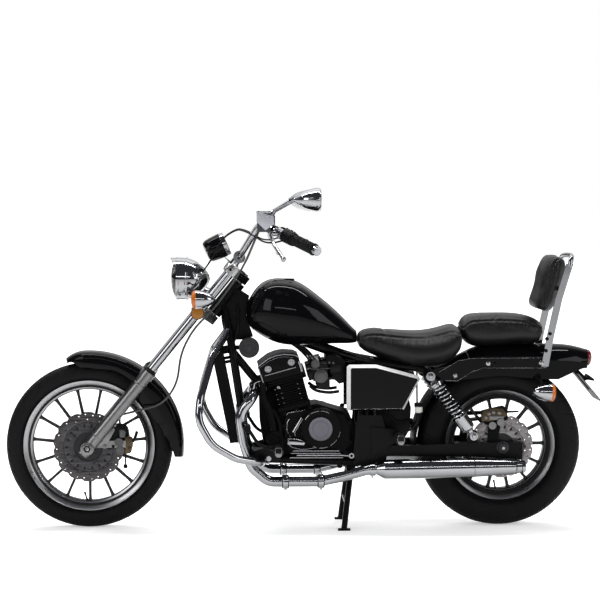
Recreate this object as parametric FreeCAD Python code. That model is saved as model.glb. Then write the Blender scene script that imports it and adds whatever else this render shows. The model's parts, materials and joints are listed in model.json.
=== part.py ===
import FreeCAD, Part
import math
import os

os.makedirs("parts", exist_ok=True)

V = FreeCAD.Vector

# The whole machine: +X forward, +Y towards the side with the muffler in the picture, +Z up,
# origin on the ground at the middle of the machine's box
wheelbase = 1535.0
tail_reach = 378.0
overrun = 5.0
arc_run_share = 0.45
seat_gap = 0.3
pin_gap = 0.4

# Front wheel, a 90/90-18 tyre on a cast rim with 15 slim spokes
front_tyre_radius = 309.6
front_tyre_half_width = 45.0
front_bead_radius = 231.0
front_rim_half_width = 35.0
front_flange_height = 12.5
front_spoke_count = 15
front_spoke_root = 14.0
front_spoke_tip = 9.5
front_spoke_depth = 26.0
front_hub_radius = 38.0
front_hub_half_width = 44.0
front_rim_drop = 22.0

# Rear wheel, a 130/90-15 tyre on a cast rim with 14 slim spokes
rear_tyre_radius = 307.5
rear_tyre_half_width = 65.0
rear_bead_radius = 193.0
rear_rim_half_width = 50.0
rear_flange_height = 13.0
rear_spoke_count = 14
rear_spoke_root = 16.0
rear_spoke_tip = 11.0
rear_spoke_depth = 30.0
rear_hub_radius = 44.0
rear_hub_half_width = 56.0
rear_rim_drop = 23.0

# What both wheels share
axle_radius = 8.0
rim_wall = 6.0
flange_wall = 4.0
tyre_bead_share = 0.62
rim_well_share = 0.58
rim_dish_share = 0.5
tyre_section_shares = ((0.64, 0.165), (0.92, 0.28), (1.0, 0.45), (0.95, 0.64), (0.74, 0.86), (0.4, 0.97))

# Brake discs with a scalloped edge, a groove between the ring and the carrier, and round windows
disc_thickness = 5.0
front_disc_radius = 130.0
front_disc_y = 58.0
rear_disc_radius = 119.0
rear_disc_y = 76.0
disc_scallops = 14
disc_scallop_depth = 4.0
disc_scallop_share = 1.3
disc_groove_width = 3.0
disc_groove_depth = 1.2
disc_groove_share = 0.74
disc_windows = 10
disc_window_radius = 6.5
disc_window_share = 0.6

# Fork: everything below is measured along the leg from the front axle
rake = 39.2
fork_half_spacing = 95.0
fork_offset = 50.0
fork_tube_radius = 18.5
fork_tube_length = 858.0
slider_radius = 25.0
slider_collar_radius = 28.0
slider_collar_height = 24.0
slider_length = 362.0
slider_drop = 30.0
lower_yoke_at = 640.0
upper_yoke_at = 829.0
yoke_thickness = 30.0
yoke_clamp_radius = 28.0
yoke_web_half_depth = 24.0
yoke_waist = 26.0
yoke_shelf = 24.0
yoke_shelf_half_width = 60.0
stem_radius = 13.0
head_tube_radius = 27.0
head_tube_gap = 6.0
axle_overhang = 8.0

# Front fender, an arched shell close over the tyre
fender_radius = 352.0
fender_half_width = 61.0
fender_wall = 3.0
fender_shoulder = 34.0
fender_skirt_radius = 246.0
fender_front_angle = 78.5
fender_sweep = 108.5
fender_skirt_shares = ((0.0, 0.72), (0.06, 0.45), (0.17, 0.42), (0.3, 0.5), (0.43, 0.44), (0.49, 0.12),
                       (0.6, 0.06), (0.72, 0.16), (0.84, 0.34), (0.93, 0.55), (1.0, 0.72))
fender_lug_length = 40.0
fender_lug_height = 18.0
fender_lug_at = 255.0
fender_outline_points = 12

# Headlight, a bullet shell with a visor
lamp_radius = 78.0
lamp_depth = 122.0
lamp_wall = 3.0
lamp_visor = 27.0
lamp_visor_angle = 130.0
lamp_bulge = 24.0
lamp_ahead = 330.0
lamp_above = 620.0
lamp_shell_shares = ((0.0, 1.0), (0.2, 1.0), (0.42, 0.93), (0.65, 0.76), (0.83, 0.52), (0.95, 0.26),
                     (1.0, 0.0))
lamp_stay_half_width = 11.0
lamp_stay_spacing = 34.0
lamp_ear_shares = ((0.7, 0.6), (0.45, 0.86))

# Turn signals, bullets with an amber lens
signal_radius = 34.0
signal_length = 90.0
signal_stem_radius = 8.0
signal_shares = ((0.0, 0.0), (0.01, 0.6), (0.05, 0.86), (0.2, 1.0), (0.36, 0.98), (0.54, 0.86), (0.7, 0.68),
                 (0.85, 0.42),
                 (0.95, 0.2), (1.0, 0.0))
front_signal_at = 713.0
front_signal_y = 195.0
front_signal_ahead_share = 0.71
reflector_radius = 24.0
reflector_thickness = 9.0
reflector_level_share = 0.17
rear_signal_ahead = -135.0
rear_signal_above = 203.0
rear_signal_y = 150.0
rear_signal_stem_rise = 62.0
rear_signal_lens_share = 0.6
signal_boss_share = 1.5

# Speedometer cup
speedo_dial_radius = 43.0
speedo_front_radius = 36.0
speedo_depth = 76.0
speedo_tilt = 24.2
speedo_ahead = 33.7
speedo_above = 187.0
speedo_bezel = 8.0
speedo_stay_width = 26.0
speedo_stay_wall = 6.0
speedo_nose_share = 0.8
speedo_stay_shares = (0.2, 0.9, 0.5)

# Handlebar, measured from the neck
bar_radius = 11.1
bar_bend = 60.0
bar_back = 313.0
bar_half_width = 400.0
bar_rise = 277.0
bar_shares = ((0.156, 0.155, 0.545), (0.405, 0.43, 1.0), (1.0, 1.0, 0.675))
riser_radius = 16.0
riser_y = 38.0
grip_radius = 17.0
grip_length = 122.0
grip_flange = 24.0
bar_end_radius = 16.0
bar_end_length = 16.0

# Hand controls
switch_radius = 23.0
switch_length = 46.0
master_ahead = 38.0
master_length = 48.0
master_width = 38.0
master_height = 73.0
lever_radius = 6.0
lever_ball_radius = 9.0
lever_reach = 62.0
perch_length = 30.0
lever_pivot_share = 0.6
lever_arm_share = 1.6
lever_knee_shares = (1.15, 0.2)
lever_tip_shares = (1.6, 0.6)

# Mirrors
mirror_arm_radius = 5.0
mirror_half_width = 62.0
mirror_half_height = 42.0
mirror_depth = 96.0
mirror_glass_back = 334.0
mirror_glass_up = 362.0
mirror_glass_y = 345.0
mirror_arm_share = 0.9
mirror_clamp_share = 1.95
mirror_clamp_length = 10.0
mirror_elbow_share = 0.75
mirror_section_points = 12
mirror_shares = ((0.0, 0.93), (0.06, 1.0), (0.2, 0.98), (0.5, 0.8), (0.8, 0.45), (0.96, 0.18))

# Calipers
caliper_gap = 5.0
caliper_wall = 15.0
caliper_length = 92.0
caliper_height = 52.0
caliper_edge = 10.0
across_share = 0.9
front_caliper_angle = 171.0
rear_caliper_angle = 77.0

# Frame tubes, measured from the neck and from the rear axle
frame_tube_radius = 14.0
backbone_radius = 20.0
frame_bend = 60.0
cradle_half_width = 100.0
down_half_width = 88.0
cradle_back = 82.0
cradle_drop = 590.0
downtube_foot_share = 0.6
downtube_foot_rise = 66.0
downtube_shoulder_shares = (0.3, 0.36)
rail_rise = 16.0
pivot_ahead = 489.0
pivot_drop = 14.0
pivot_plate_half_length = 52.0
pivot_plate_height = 190.0
pivot_plate_wall = 8.0
pivot_plate_y = 119.5
seat_rail_half_width = 74.0
seat_rail_up = 312.0
seat_rail_fall = 22.0
seat_rail_end_ahead = 298.0
seat_rail_start_shares = (0.5, 0.28)
seat_post_knee_share = 0.31
seat_post_hip_share = 0.51
backbone_dip_shares = (0.3, 0.52)
pivot_plate_shares = (0.72, 0.2)
cross_tube_radius = 11.0
cross_tube_ahead_share = 1.2

# Fuel tank
tank_length = 410.0
tank_height = 245.0
tank_half_width = 138.0
tank_back = 75.0
tank_drop = 173.0
tank_stations_shares = ((0.0, 0.34, 0.36, 0.62), (0.05, 0.62, 0.26, 0.76), (0.14, 0.84, 0.16, 0.93),
                        (0.27, 1.0, 0.07, 1.0), (0.45, 0.98, 0.03, 0.96), (0.62, 0.84, 0.03, 0.78),
                        (0.78, 0.64, 0.03, 0.56), (0.92, 0.42, 0.02, 0.33), (1.0, 0.26, 0.03, 0.2))
tank_tunnel_half_width = 32.0
tank_tunnel_height = 84.0
tunnel_rise_share = 0.4
tank_flat_share = 0.4
cap_radius = 32.0
cap_height = 12.0
cap_at_share = 0.36
cap_level_share = 0.97

# Rider's seat and pillion seat
seat_length = 387.0
seat_height = 160.0
seat_half_width = 148.0
seat_ahead = 537.0
seat_up = 295.0
seat_stations_shares = ((0.0, 0.36, 0.5, 0.76), (0.06, 0.46, 0.4, 0.87), (0.2, 0.62, 0.24, 0.86),
                        (0.38, 0.82, 0.08, 0.82), (0.6, 0.98, 0.0, 0.8), (0.8, 1.0, 0.06, 0.88),
                        (0.92, 0.96, 0.2, 0.96), (1.0, 0.84, 0.44, 0.92))
pillion_length = 305.0
pillion_height = 122.0
pillion_half_width = 112.0
pillion_ahead = 148.5
pillion_up = 373.0
pillion_stations_shares = ((0.0, 0.84, 0.24, 0.72), (0.05, 0.95, 0.1, 0.9), (0.2, 1.0, 0.0, 0.99),
                           (0.5, 1.0, 0.02, 0.98), (0.78, 0.96, 0.04, 0.94), (0.94, 0.84, 0.1, 0.8),
                           (1.0, 0.68, 0.3, 0.66))
seat_flat_share = 0.2
hip_share = 0.2
upholstered_shares = ((0.62, 0.02), (0.93, 0.0), (1.0, 0.42), (0.93, 0.68), (0.72, 0.88), (0.4, 0.975))

# Rear fender, an arched shell with a long tail, its rails and its lamp
tail_length = 577.0
tail_height = 151.0
tail_half_width = 91.0
tail_wall = 3.0
tail_ahead = 250.0
tail_up = 226.0
tail_shoulder_share = 0.62
tail_stations_shares = ((0.0, 0.98, 0.43), (0.08, 1.0, 0.52), (0.17, 1.0, 0.74), (0.29, 1.0, 0.945),
                        (0.5, 1.0, 1.0),
                        (0.76, 0.92, 1.0), (0.91, 0.72, 0.95), (1.0, 0.5, 0.86))
tail_skirt_shares = ((-0.02, 0.12), (0.11, 0.13), (0.43, 0.255), (0.7, 0.16), (0.8, 0.15), (0.9, 0.315),
                     (0.965, 0.4),
                     (1.02, 0.42))
tail_lamp_radius = 29.0
tail_lamp_depth = 26.0
tail_lamp_bulge = 12.0
tail_lamp_up = 327.0
rail_length = 424.0
rail_height = 44.0
rail_wall = 8.0
rail_hole_radius = 4.0
rail_hole_shares = (0.53, 0.93)
rail_hole_height_share = 0.5
rail_lug_radius = 24.0
rail_ahead = 254.0
rail_up = 292.0
rail_shares = ((0.0, -0.5), (0.1, -1.0), (0.18, -0.98), (0.42, -0.04), (0.55, 0.0), (0.98, 0.0), (1.0, 0.5),
               (0.98, 1.0), (0.42, 0.98), (0.26, 0.72), (0.1, 0.12), (0.0, 0.0))
plate_width = 180.0
plate_height = 138.0
plate_wall = 2.0
plate_tilt = 40.0
plate_stay_width = 44.0
plate_stay_wall = 4.0
plate_bolt_radius = 3.5
plate_bolt_spacing = 120.0
plate_top_up = 268.0
plate_stay_reach = 48.0
plate_stay_share = 0.6
plate_stay_bar = 6.0

# Backrest
backrest_bar_width = 26.0
backrest_bar_wall = 8.0
backrest_height = 345.0
backrest_lean = 88.0
backrest_ahead = -156.0
backrest_up = 334.0
backrest_loop = 150.0
pad_half_width = 118.0
pad_height = 210.0
pad_thickness = 86.0
pad_lean = 17.0
pad_ahead = -178.0
pad_up = 606.0
pad_flat_share = 0.0
backrest_cross_shares = (0.7, 0.72)
backrest_path_shares = ((0.0, -0.1), (0.2, 0.2), (0.55, 0.62), (1.0, 1.0))
backrest_loop_shares = ((0.0, 1.0, 0.0), (-0.1, 0.94, 0.5), (-0.2, 0.5, 0.56), (-0.2, -0.5, 0.56),
                        (-0.1, -0.94, 0.5),
                        (0.0, -1.0, 0.0))
pad_stations_shares = ((-0.5, 0.84, 0.2, 0.8), (-0.46, 0.94, 0.1, 0.92), (-0.3, 1.0, 0.02, 0.98),
                       (0.1, 1.0, 0.0, 1.0),
                       (0.38, 0.92, 0.06, 0.97), (0.47, 0.82, 0.14, 0.88), (0.5, 0.7, 0.26, 0.76))

# Side covers and the box between them
cover_length = 270.0
cover_height = 172.0
cover_depth = 24.0
cover_ahead = 578.0
cover_up = 137.0
cover_bevel = 6.0
cover_shares = ((0.0, 0.96), (0.05, 1.0), (0.39, 1.0), (1.0, 0.74), (0.98, 0.68), (0.77, 0.04), (0.72, 0.0),
                (0.05, 0.0), (0.02, 0.05))
airbox_half_width = 92.0
airbox_inset = 14.0
airbox_top_share = 0.7
airbox_back_share = 0.72

# Swingarm, chain and shock absorbers
arm_inner_y = 92.0
arm_wall = 26.0
arm_top = 18.0
arm_depth_front = 52.0
arm_depth_rear = 64.0
arm_overhang = 74.0
pivot_tube_radius = 22.0
pivot_pin_radius = 11.0
arm_brace_ahead = 372.0
arm_front_share = 0.7
arm_brace_share = 0.8
shock_y = 141.0
shock_top_ahead = 273.0
shock_top_up = 268.5
shock_foot_ahead = 112.0
shock_foot_up = 46.0
shock_eye_radius = 15.0
shock_eye_width = 26.0
shock_pin_radius = 6.75
shock_ear_share = 1.6
shock_coil_shares = ((0.0, 0.74), (0.2, 1.0), (0.62, 1.0), (0.82, 0.74))
shock_coil_radius = 27.0
shock_coil_count = 9
shock_body_radius = 15.0
shock_shroud_radius = 30.0
shock_shroud_length = 62.0
rear_axle_half = 128.0
sprocket_radius = 92.0
sprocket_teeth = 36
sprocket_windows = 5
tooth_shares = ((0.0, 0.0), (0.3, 1.0), (0.55, 1.0), (0.85, 0.0))
sprocket_wall = 7.0
chain_y = 78.0
chain_half_width = 7.0
chain_half_height = 7.0
chain_clear = 3.0
gearbox_sprocket_radius = 36.0
gearbox_sprocket_ahead = 566.0
guard_height = 34.0
guard_wall = 3.0
guard_stay_width = 18.0

# Engine, measured from the neck
engine_lean = 15.0
crank_half_width = 82.0
crank_length = 285.0
crank_height = 215.0
crank_back = 192.0
crank_drop = 606.0
crank_shares = ((0.0, 0.3), (0.0, 0.78), (0.08, 0.94), (0.5, 1.0), (0.92, 0.84), (1.0, 0.6), (1.0, 0.16),
                (0.86, 0.0), (0.18, 0.0), (0.04, 0.12))
clutch_wall = 26.0
clutch_inset_share = 0.16
clutch_height_share = 1.4
round_cover_radius = 72.0
round_cover_depth = 34.0
round_badge_radius = 44.0
round_badge_depth = 6.0
round_cover_back = 347.0
round_cover_drop = 474.0
barrel_back = 250.0
barrel_drop = 404.0
barrel_length = 104.0
barrel_half_width = 96.0
barrel_height = 84.0
barrel_base_drop = -40.0
head_length = 138.0
head_half_width = 104.0
head_height = 62.0
head_cover_height = 58.0
head_cover_shares = ((-0.5, 0.0), (-0.52, 0.22), (-0.4, 0.66), (-0.2, 1.0), (0.24, 0.9), (0.46, 0.55),
                     (0.52, 0.24),
                     (0.5, 0.0))
fin_count = 10
fin_wall = 4.0
fin_reach = 12.0
carb_radius = 26.0
carb_length = 76.0
carb_y = 44.0
carb_bowl_radius = 24.0
carb_bowl_height = 66.0
carb_level_share = 0.55
carb_bowl_shares = (0.7, 0.6)

# Radiator in front of the downtubes, and its hose
radiator_height = 352.0
radiator_half_width = 90.0
radiator_wall = 38.0
radiator_lean = 11.2
radiator_ahead = 37.0
radiator_drop = 186.0
radiator_tank = 26.0
radiator_stay = 10.0
radiator_pin = 6.0
radiator_pin_shares = (0.15, 0.85)
radiator_core_share = 0.7
coolant_level_share = 0.75
hose_radius = 15.0
hose_y = 18.0

# Exhaust
header_radius = 19.0
header_y = 158.0
header_port_y = 62.0
header_bend = 70.0
header_port_share = 0.4
header_run_share = 2.2
header_length = 520.0
header_back = 48.0
header_drop = 669.0
header_height = 340.0
header_shares = ((0.099, 0.95, 0.927), (0.0, 0.98, 0.74), (0.03, 1.0, 0.42), (0.08, 1.0, 0.16),
                 (0.2, 1.0, 0.0),
                 (0.56, 1.0, 0.0), (0.74, 1.03, 0.06), (0.9, 1.14, 0.1357))
muffler_radius = 37.0
muffler_length = 548.0
muffler_rise = 9.0
muffler_y = 180.0
muffler_drop = 71.0
muffler_ahead = 473.0
muffler_shares = ((0.0, 0.52), (0.05, 0.95), (0.3, 1.0), (0.7, 0.93), (0.93, 0.72), (1.0, 0.52))
muffler_bore_share = 0.4
muffler_stay_radius = 7.0
muffler_stay_width = 28.0
muffler_stay_wall = 5.0

# Crash bars, footrests, pedals and horn
guard_radius = 14.0
guard_bend = 110.0
guard_spread = 282.0
guard_drop = 470.0
guard_back = 140.0
guard_ahead = 8.0
guard_top_drop = 118.0
guard_shares = ((0.12, 0.19, 0.0), (-0.3, 0.55, 0.18), (-0.62, 0.95, 0.5), (-0.66, 1.0, 0.66),
                (-0.3, 1.0, 0.85),
                (0.3, 0.92, 0.96), (0.99, 0.74, 1.01))
peg_radius = 13.0
peg_inner_y = 150.0
peg_outer_y = 262.0
peg_back = 188.0
peg_drop = 545.0
peg_stay_wall = 10.0
peg_boss_share = 1.6
peg_pad_shares = (1.2, 1.1)
pedal_radius = 6.5
pedal_pad_length = 38.0
pedal_pad_width = 56.0
pedal_reach = 112.0
pedal_rise = 84.0
pedal_y = 212.0
pedal_knee_shares = (0.62, 0.2)
rear_peg_ahead = 391.0
rear_peg_up = 48.0
rear_peg_outer_y = 226.0
rear_peg_hanger_share = 0.5
horn_radius = 38.0
horn_depth = 40.0
horn_back = 84.0
horn_drop = 181.0
horn_y = 62.0
horn_stay_width = 16.0
horn_motor_share = 0.7
reservoir_radius = 15.0
reservoir_height = 34.0
reservoir_ahead = 318.0
reservoir_up = 150.0
reservoir_y = 127.0
reservoir_stay_half_width = 8.0
reservoir_stay_wall = 3.0
rear_hose_share = 1.4

# Stands
stand_radius = 11.0
stand_side_gap = 8.0
stand_pivot_share = 1.3
stand_brace_share = 0.55
stand_brace_radius_share = 0.8
stand_lug_share = 1.5
side_pin_radius = 6.0
centre_pivot_ahead = 562.0
centre_pivot_up = -92.0
centre_pivot_y = 84.0
centre_foot_y = 118.0
centre_foot_forward = 26.0
centre_foot_length = 46.0
centre_foot_wall = 7.0
side_pivot_back = 132.0
side_pivot_y = 124.0
side_pivot_below = 18.0
side_leg_length = 205.0
side_leg_wall = 14.0
side_leg_dip = 4.0
side_foot_share = 0.7

# Hoses and cables that the steering carries
brake_hose_radius = 4.0
cable_radius = 3.0
hose_start_share = 0.75
lead_end_shares = (0.6, 0.3)
hose_route = ((-24.0, 176.0, 880.0), (-34.0, 134.0, 765.0), (-36.0, 130.0, 690.0), (-25.0, 126.0, 590.0),
              (-44.0, 126.0, 495.0), (-106.0, 124.0, 394.0), (-112.0, 108.0, 300.0))
lead_route = ((662.0, 270.0, 1062.0), (593.0, 197.0, 1105.0), (553.0, 92.0, 1115.0), (498.0, 52.0, 1080.0),
              (452.0, 44.0, 990.0))

# Places that follow from the sizes above
front_axle_x = (front_tyre_radius + wheelbase + tail_reach) / 2 - front_tyre_radius
front_axle_z = front_tyre_radius
rear_axle_x = front_axle_x - wheelbase
rear_axle_z = rear_tyre_radius
rake_angle = math.radians(rake)
neck_at = (lower_yoke_at + yoke_thickness + upper_yoke_at) / 2
neck_x = front_axle_x - fork_offset * math.cos(rake_angle) - neck_at * math.sin(rake_angle)
neck_z = front_axle_z - fork_offset * math.sin(rake_angle) + neck_at * math.cos(rake_angle)
hub_bore = axle_radius + pin_gap
pivot_x = rear_axle_x + pivot_ahead
pivot_z = rear_axle_z - pivot_drop


def save(node, *solids):
    Part.makeCompound(list(solids)).exportStep("parts/" + node + ".step")


def from_neck(back, y, up):
    return V(neck_x - back, y, neck_z + up)


def from_rear_axle(ahead, y, up):
    return V(rear_axle_x + ahead, y, rear_axle_z + up)


def joined(shapes):
    whole = shapes[0]
    for shape in shapes[1:]:
        whole = whole.fuse(shape)
    return whole.removeSplitter()


def rod(start, end, radius):
    return Part.makeCylinder(radius, (end - start).Length, start, end - start)


def cross_rod(x, z, y_low, y_high, radius):
    return rod(V(x, y_low, z), V(x, y_high, z), radius)


def block(low, high):
    return Part.makeBox(high.x - low.x, high.y - low.y, high.z - low.z, low)


def side_outline(origin, length, height, shares):
    return [V(origin.x + length * along, 0, origin.z + height * up) for along, up in shares]


def outward(solid):
    return solid if solid.Volume > 0 else solid.reversed()


def plate_between(corners, y_low, y_high):
    face = Part.Face(Part.makePolygon(corners + corners[:1]))
    return outward(face.translated(V(0, y_low, 0)).extrude(V(0, y_high - y_low, 0)))


def spun(profile, origin, axis, angle=360.0):
    return outward(Part.Face(Part.makePolygon(profile + profile[:1])).revolve(origin, axis, angle))


def spun_curve(points, origin, axis):
    # the points run from the axis or an open start to the end, and straight lines close them on the axis
    curve = Part.BSplineCurve()
    curve.interpolate(points)
    start_foot = origin + axis * (points[0] - origin).dot(axis)
    end_foot = origin + axis * (points[-1] - origin).dot(axis)
    edges = [curve.toShape()]
    if (points[-1] - end_foot).Length > 0:
        edges.append(Part.makeLine(points[-1], end_foot))
    edges.append(Part.makeLine(end_foot, start_foot))
    if (points[0] - start_foot).Length > 0:
        edges.append(Part.makeLine(start_foot, points[0]))
    return outward(Part.Face(Part.Wire(Part.__sortEdges__(edges))).revolve(origin, axis, 360))


def rounded_path(points, bend=0.0):
    # straight runs joined by tangent arcs; without a bend each arc is as large as its two runs allow
    edges = []
    last = points[0]
    for before, corner, after in zip(points, points[1:], points[2:]):
        run_in = corner - before
        run_out = after - corner
        turn = run_in.getAngle(run_out)
        shorter = min(run_in.Length, run_out.Length)
        cut_back = arc_run_share * shorter
        if bend > 0:
            cut_back = min(cut_back, bend * math.tan(turn / 2))
        run_in.normalize()
        run_out.normalize()
        arc_start = corner - run_in * cut_back
        arc_end = corner + run_out * cut_back
        radius = cut_back / math.tan(turn / 2)
        inward = run_out - run_in
        inward.normalize()
        centre = corner + inward * math.hypot(radius, cut_back)
        middle = centre - inward * radius
        edges.append(Part.LineSegment(last, arc_start).toShape())
        edges.append(Part.Arc(arc_start, middle, arc_end).toShape())
        last = arc_end
    edges.append(Part.LineSegment(last, points[-1]).toShape())
    return Part.Wire(edges)


def print_radii(name, points):
    # a held hose or cable: each arc is as large as its two runs allow
    radii = []
    for before, corner, after in zip(points, points[1:], points[2:]):
        turn = (corner - before).getAngle(after - corner)
        shorter = min((corner - before).Length, (after - corner).Length)
        radii.append(round(arc_run_share * shorter / math.tan(turn / 2), 1))
    print(name, "length", round(rounded_path(points).Length, 1), "arc radii", radii)


def pipe(points, radius, bend=0.0):
    path = rounded_path(points, bend)
    ring = Part.Wire(Part.Circle(points[0], points[1] - points[0], radius).toShape())
    return outward(path.makePipe(Part.Face(ring)))


def spaced(origin, size, shares):
    return [origin + V(size.x * a, size.y * b, size.z * c) for a, b, c in shares]


def fork_placed(shape):
    # from the fork's own frame: X across the legs to the front, Z up along the leg, origin on the front axle
    turn = FreeCAD.Rotation(V(0, 1, 0), -rake)
    return shape.transformed(FreeCAD.Placement(V(front_axle_x, 0, front_axle_z), turn).toMatrix())


def fork_point(x, y, z):
    turn = FreeCAD.Rotation(V(0, 1, 0), -rake)
    return V(front_axle_x, 0, front_axle_z) + turn.multVec(V(x, y, z))


def loft_along_x(origin, length, half_width, height, stations, section_shares):
    # each station gives its share along, of the half width, of the bottom's height and of the top's height
    wires = []
    for along, wide, bottom, top in stations:
        points = []
        for across, up in section_shares:
            z = height * (bottom + (top - bottom) * up)
            points.append(origin + V(-length * along, half_width * wide * across, z))
        curve = Part.BSplineCurve()
        curve.interpolate(points, PeriodicFlag=True)
        wires.append(Part.Wire(curve.toShape()))
    return outward(Part.makeLoft(wires, True, False))


def tyre(centre, radius, half_width, bead_radius):
    height = radius - bead_radius
    right = [V(centre.x, half_width * across, centre.z + bead_radius + height * up)
             for across, up in tyre_section_shares]
    left = [V(point.x, -point.y, point.z) for point in reversed(right)]
    crown = V(centre.x, 0, centre.z + radius)
    curve = Part.BSplineCurve()
    curve.interpolate(right + [crown] + left)
    bead_y = half_width * tyre_bead_share
    foot_right = V(centre.x, bead_y, centre.z + bead_radius)
    foot_left = V(centre.x, -bead_y, centre.z + bead_radius)
    edges = [curve.toShape(), Part.makeLine(left[-1], foot_left), Part.makeLine(foot_left, foot_right),
             Part.makeLine(foot_right, right[0])]
    return outward(Part.Face(Part.Wire(edges)).revolve(centre, V(0, 1, 0), 360))


def spoke(centre, inner, outer, root, tip, depth):
    sections = []
    for radius, width in ((inner, root), (outer, tip)):
        half = width / 2
        deep = depth * width / root / 2
        corners = [V(centre.x - half, -deep, centre.z + radius),
                   V(centre.x + half, -deep, centre.z + radius),
                   V(centre.x + half, deep, centre.z + radius), V(centre.x - half, deep, centre.z + radius)]
        sections.append(Part.makePolygon(corners + corners[:1]))
    return Part.makeLoft(sections, True, True)


def rim(centre, bead_radius, half_width, flange_height, drop, tyre_half_width, hub_radius, hub_half_width,
        count, root, tip, depth):
    # flanges, bead seats and a well on the tyre's side, and a dished face towards the spokes on each side
    bead_y = tyre_half_width * tyre_bead_share
    well_y = bead_y * rim_well_share
    dish_y = half_width * rim_dish_share
    inner_radius = bead_radius - drop
    lip = bead_radius + flange_height
    half = [(dish_y, inner_radius), (half_width, bead_radius), (half_width, lip),
            (half_width - flange_wall, lip),
            (bead_y, bead_radius), (well_y, inner_radius + rim_wall)]
    section = half + [(-y, radius) for y, radius in reversed(half)]
    shapes = [spun([V(centre.x, y, centre.z + radius) for y, radius in section], centre, V(0, 1, 0))]
    shapes.append(cross_rod(centre.x, centre.z, -hub_half_width, hub_half_width, hub_radius))
    first = spoke(centre, hub_radius - flange_wall, inner_radius + rim_wall / 2, root, tip, depth)
    for number in range(count):
        turned = first.copy()
        turned.rotate(centre, V(0, 1, 0), 360 * (number + 0.5) / count + (180 if count % 2 == 0 else 0))
        shapes.append(turned)
    bore = cross_rod(centre.x, centre.z, -hub_half_width - overrun, hub_half_width + overrun, hub_bore)
    return joined(shapes).cut(bore)


def round_holes(centre, count, reach, y_low, y_high, radius):
    # holes or notches spaced evenly round a wheel's axis
    holes = []
    for number in range(count):
        angle = 2 * math.pi * number / count
        x = centre.x + reach * math.cos(angle)
        z = centre.z + reach * math.sin(angle)
        holes.append(cross_rod(x, z, y_low - overrun, y_high + overrun, radius))
    return holes


def disc(centre, radius, y_low, hub_radius, hub_end):
    y_high = y_low + disc_thickness
    plate = cross_rod(centre.x, centre.z, y_low, y_high, radius)
    notch_radius = radius / disc_scallops * disc_scallop_share
    notches = round_holes(centre, disc_scallops, radius + notch_radius - disc_scallop_depth, y_low, y_high,
                          notch_radius)
    windows = round_holes(centre, disc_windows, radius * disc_window_share, y_low, y_high,
                          disc_window_radius)
    groove_radius = radius * disc_groove_share
    outside = cross_rod(centre.x, centre.z, y_high - disc_groove_depth, y_high + overrun,
                        groove_radius + disc_groove_width / 2)
    inside = cross_rod(centre.x, centre.z, y_high - disc_groove_depth, y_high + overrun,
                       groove_radius - disc_groove_width / 2)
    seat = cross_rod(centre.x, centre.z, hub_end, y_high, hub_radius - overrun)
    whole = joined([plate.cut(notches + windows + [outside.cut(inside)]), seat])
    return whole.cut(cross_rod(centre.x, centre.z, 0, radius, hub_bore))


def front_wheel():
    centre = V(front_axle_x, 0, front_axle_z)
    save("front_tyre", tyre(centre, front_tyre_radius, front_tyre_half_width, front_bead_radius))
    save("front_rim", rim(centre, front_bead_radius, front_rim_half_width, front_flange_height,
                          front_rim_drop,
                          front_tyre_half_width, front_hub_radius, front_hub_half_width, front_spoke_count,
                          front_spoke_root, front_spoke_tip, front_spoke_depth))
    save("front_disc", disc(centre, front_disc_radius, front_disc_y, front_hub_radius, front_hub_half_width))


def toothed_wheel(centre, radius, teeth, y_low, y_high):
    root = radius - math.pi * radius / teeth
    corners = []
    for number in range(teeth):
        for along, up in tooth_shares:
            angle = 2 * math.pi * (number + along) / teeth
            reach = root + (radius - root) * up
            corners.append(V(centre.x + reach * math.cos(angle), 0, centre.z + reach * math.sin(angle)))
    return plate_between(corners, y_low, y_high)


def rear_wheel():
    centre = V(rear_axle_x, 0, rear_axle_z)
    save("rear_tyre", tyre(centre, rear_tyre_radius, rear_tyre_half_width, rear_bead_radius))
    save("rear_rim", rim(centre, rear_bead_radius, rear_rim_half_width, rear_flange_height, rear_rim_drop,
                         rear_tyre_half_width, rear_hub_radius, rear_hub_half_width, rear_spoke_count,
                         rear_spoke_root, rear_spoke_tip, rear_spoke_depth))
    save("rear_disc", disc(centre, rear_disc_radius, rear_disc_y, rear_hub_radius, rear_hub_half_width))
    y_low = -chain_y - sprocket_wall / 2
    y_high = -chain_y + sprocket_wall / 2
    tip_radius = sprocket_radius - chain_half_height - chain_clear
    teeth = toothed_wheel(centre, tip_radius, sprocket_teeth, y_low, y_high)
    carrier = cross_rod(centre.x, centre.z, y_low, -rear_hub_half_width, rear_hub_radius)
    hole = cross_rod(centre.x, centre.z, y_low - overrun, 0, hub_bore)
    web_end = tip_radius - rim_wall
    windows = round_holes(centre, sprocket_windows, (rear_hub_radius + web_end) / 2, y_low, y_high,
                          (web_end - rear_hub_radius) / 2 - flange_wall)
    save("rear_sprocket", joined([teeth, carrier]).cut(windows + [hole]))


def fork():
    legs = []
    sliders = []
    for side in (-1, 1):
        y = side * fork_half_spacing
        tube_start = V(0, y, slider_length / 2)
        leg = rod(tube_start, V(0, y, fork_tube_length), fork_tube_radius)
        slider = joined([rod(V(0, y, -slider_drop), V(0, y, slider_length), slider_radius),
                         rod(V(0, y, slider_length - slider_collar_height), V(0, y, slider_length),
                             slider_collar_radius)])
        slider = slider.cut(rod(tube_start, V(0, y, slider_length + overrun), fork_tube_radius))
        legs.append(fork_placed(leg))
        sliders.append(slider)
    axle_lugs = []
    for slider in sliders:
        placed = fork_placed(slider)
        hole = cross_rod(front_axle_x, front_axle_z, -2 * fork_half_spacing, 2 * fork_half_spacing,
                         axle_radius)
        axle_lugs.append(placed.cut(hole))
    save("fork_tubes", *legs)
    return axle_lugs


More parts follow.
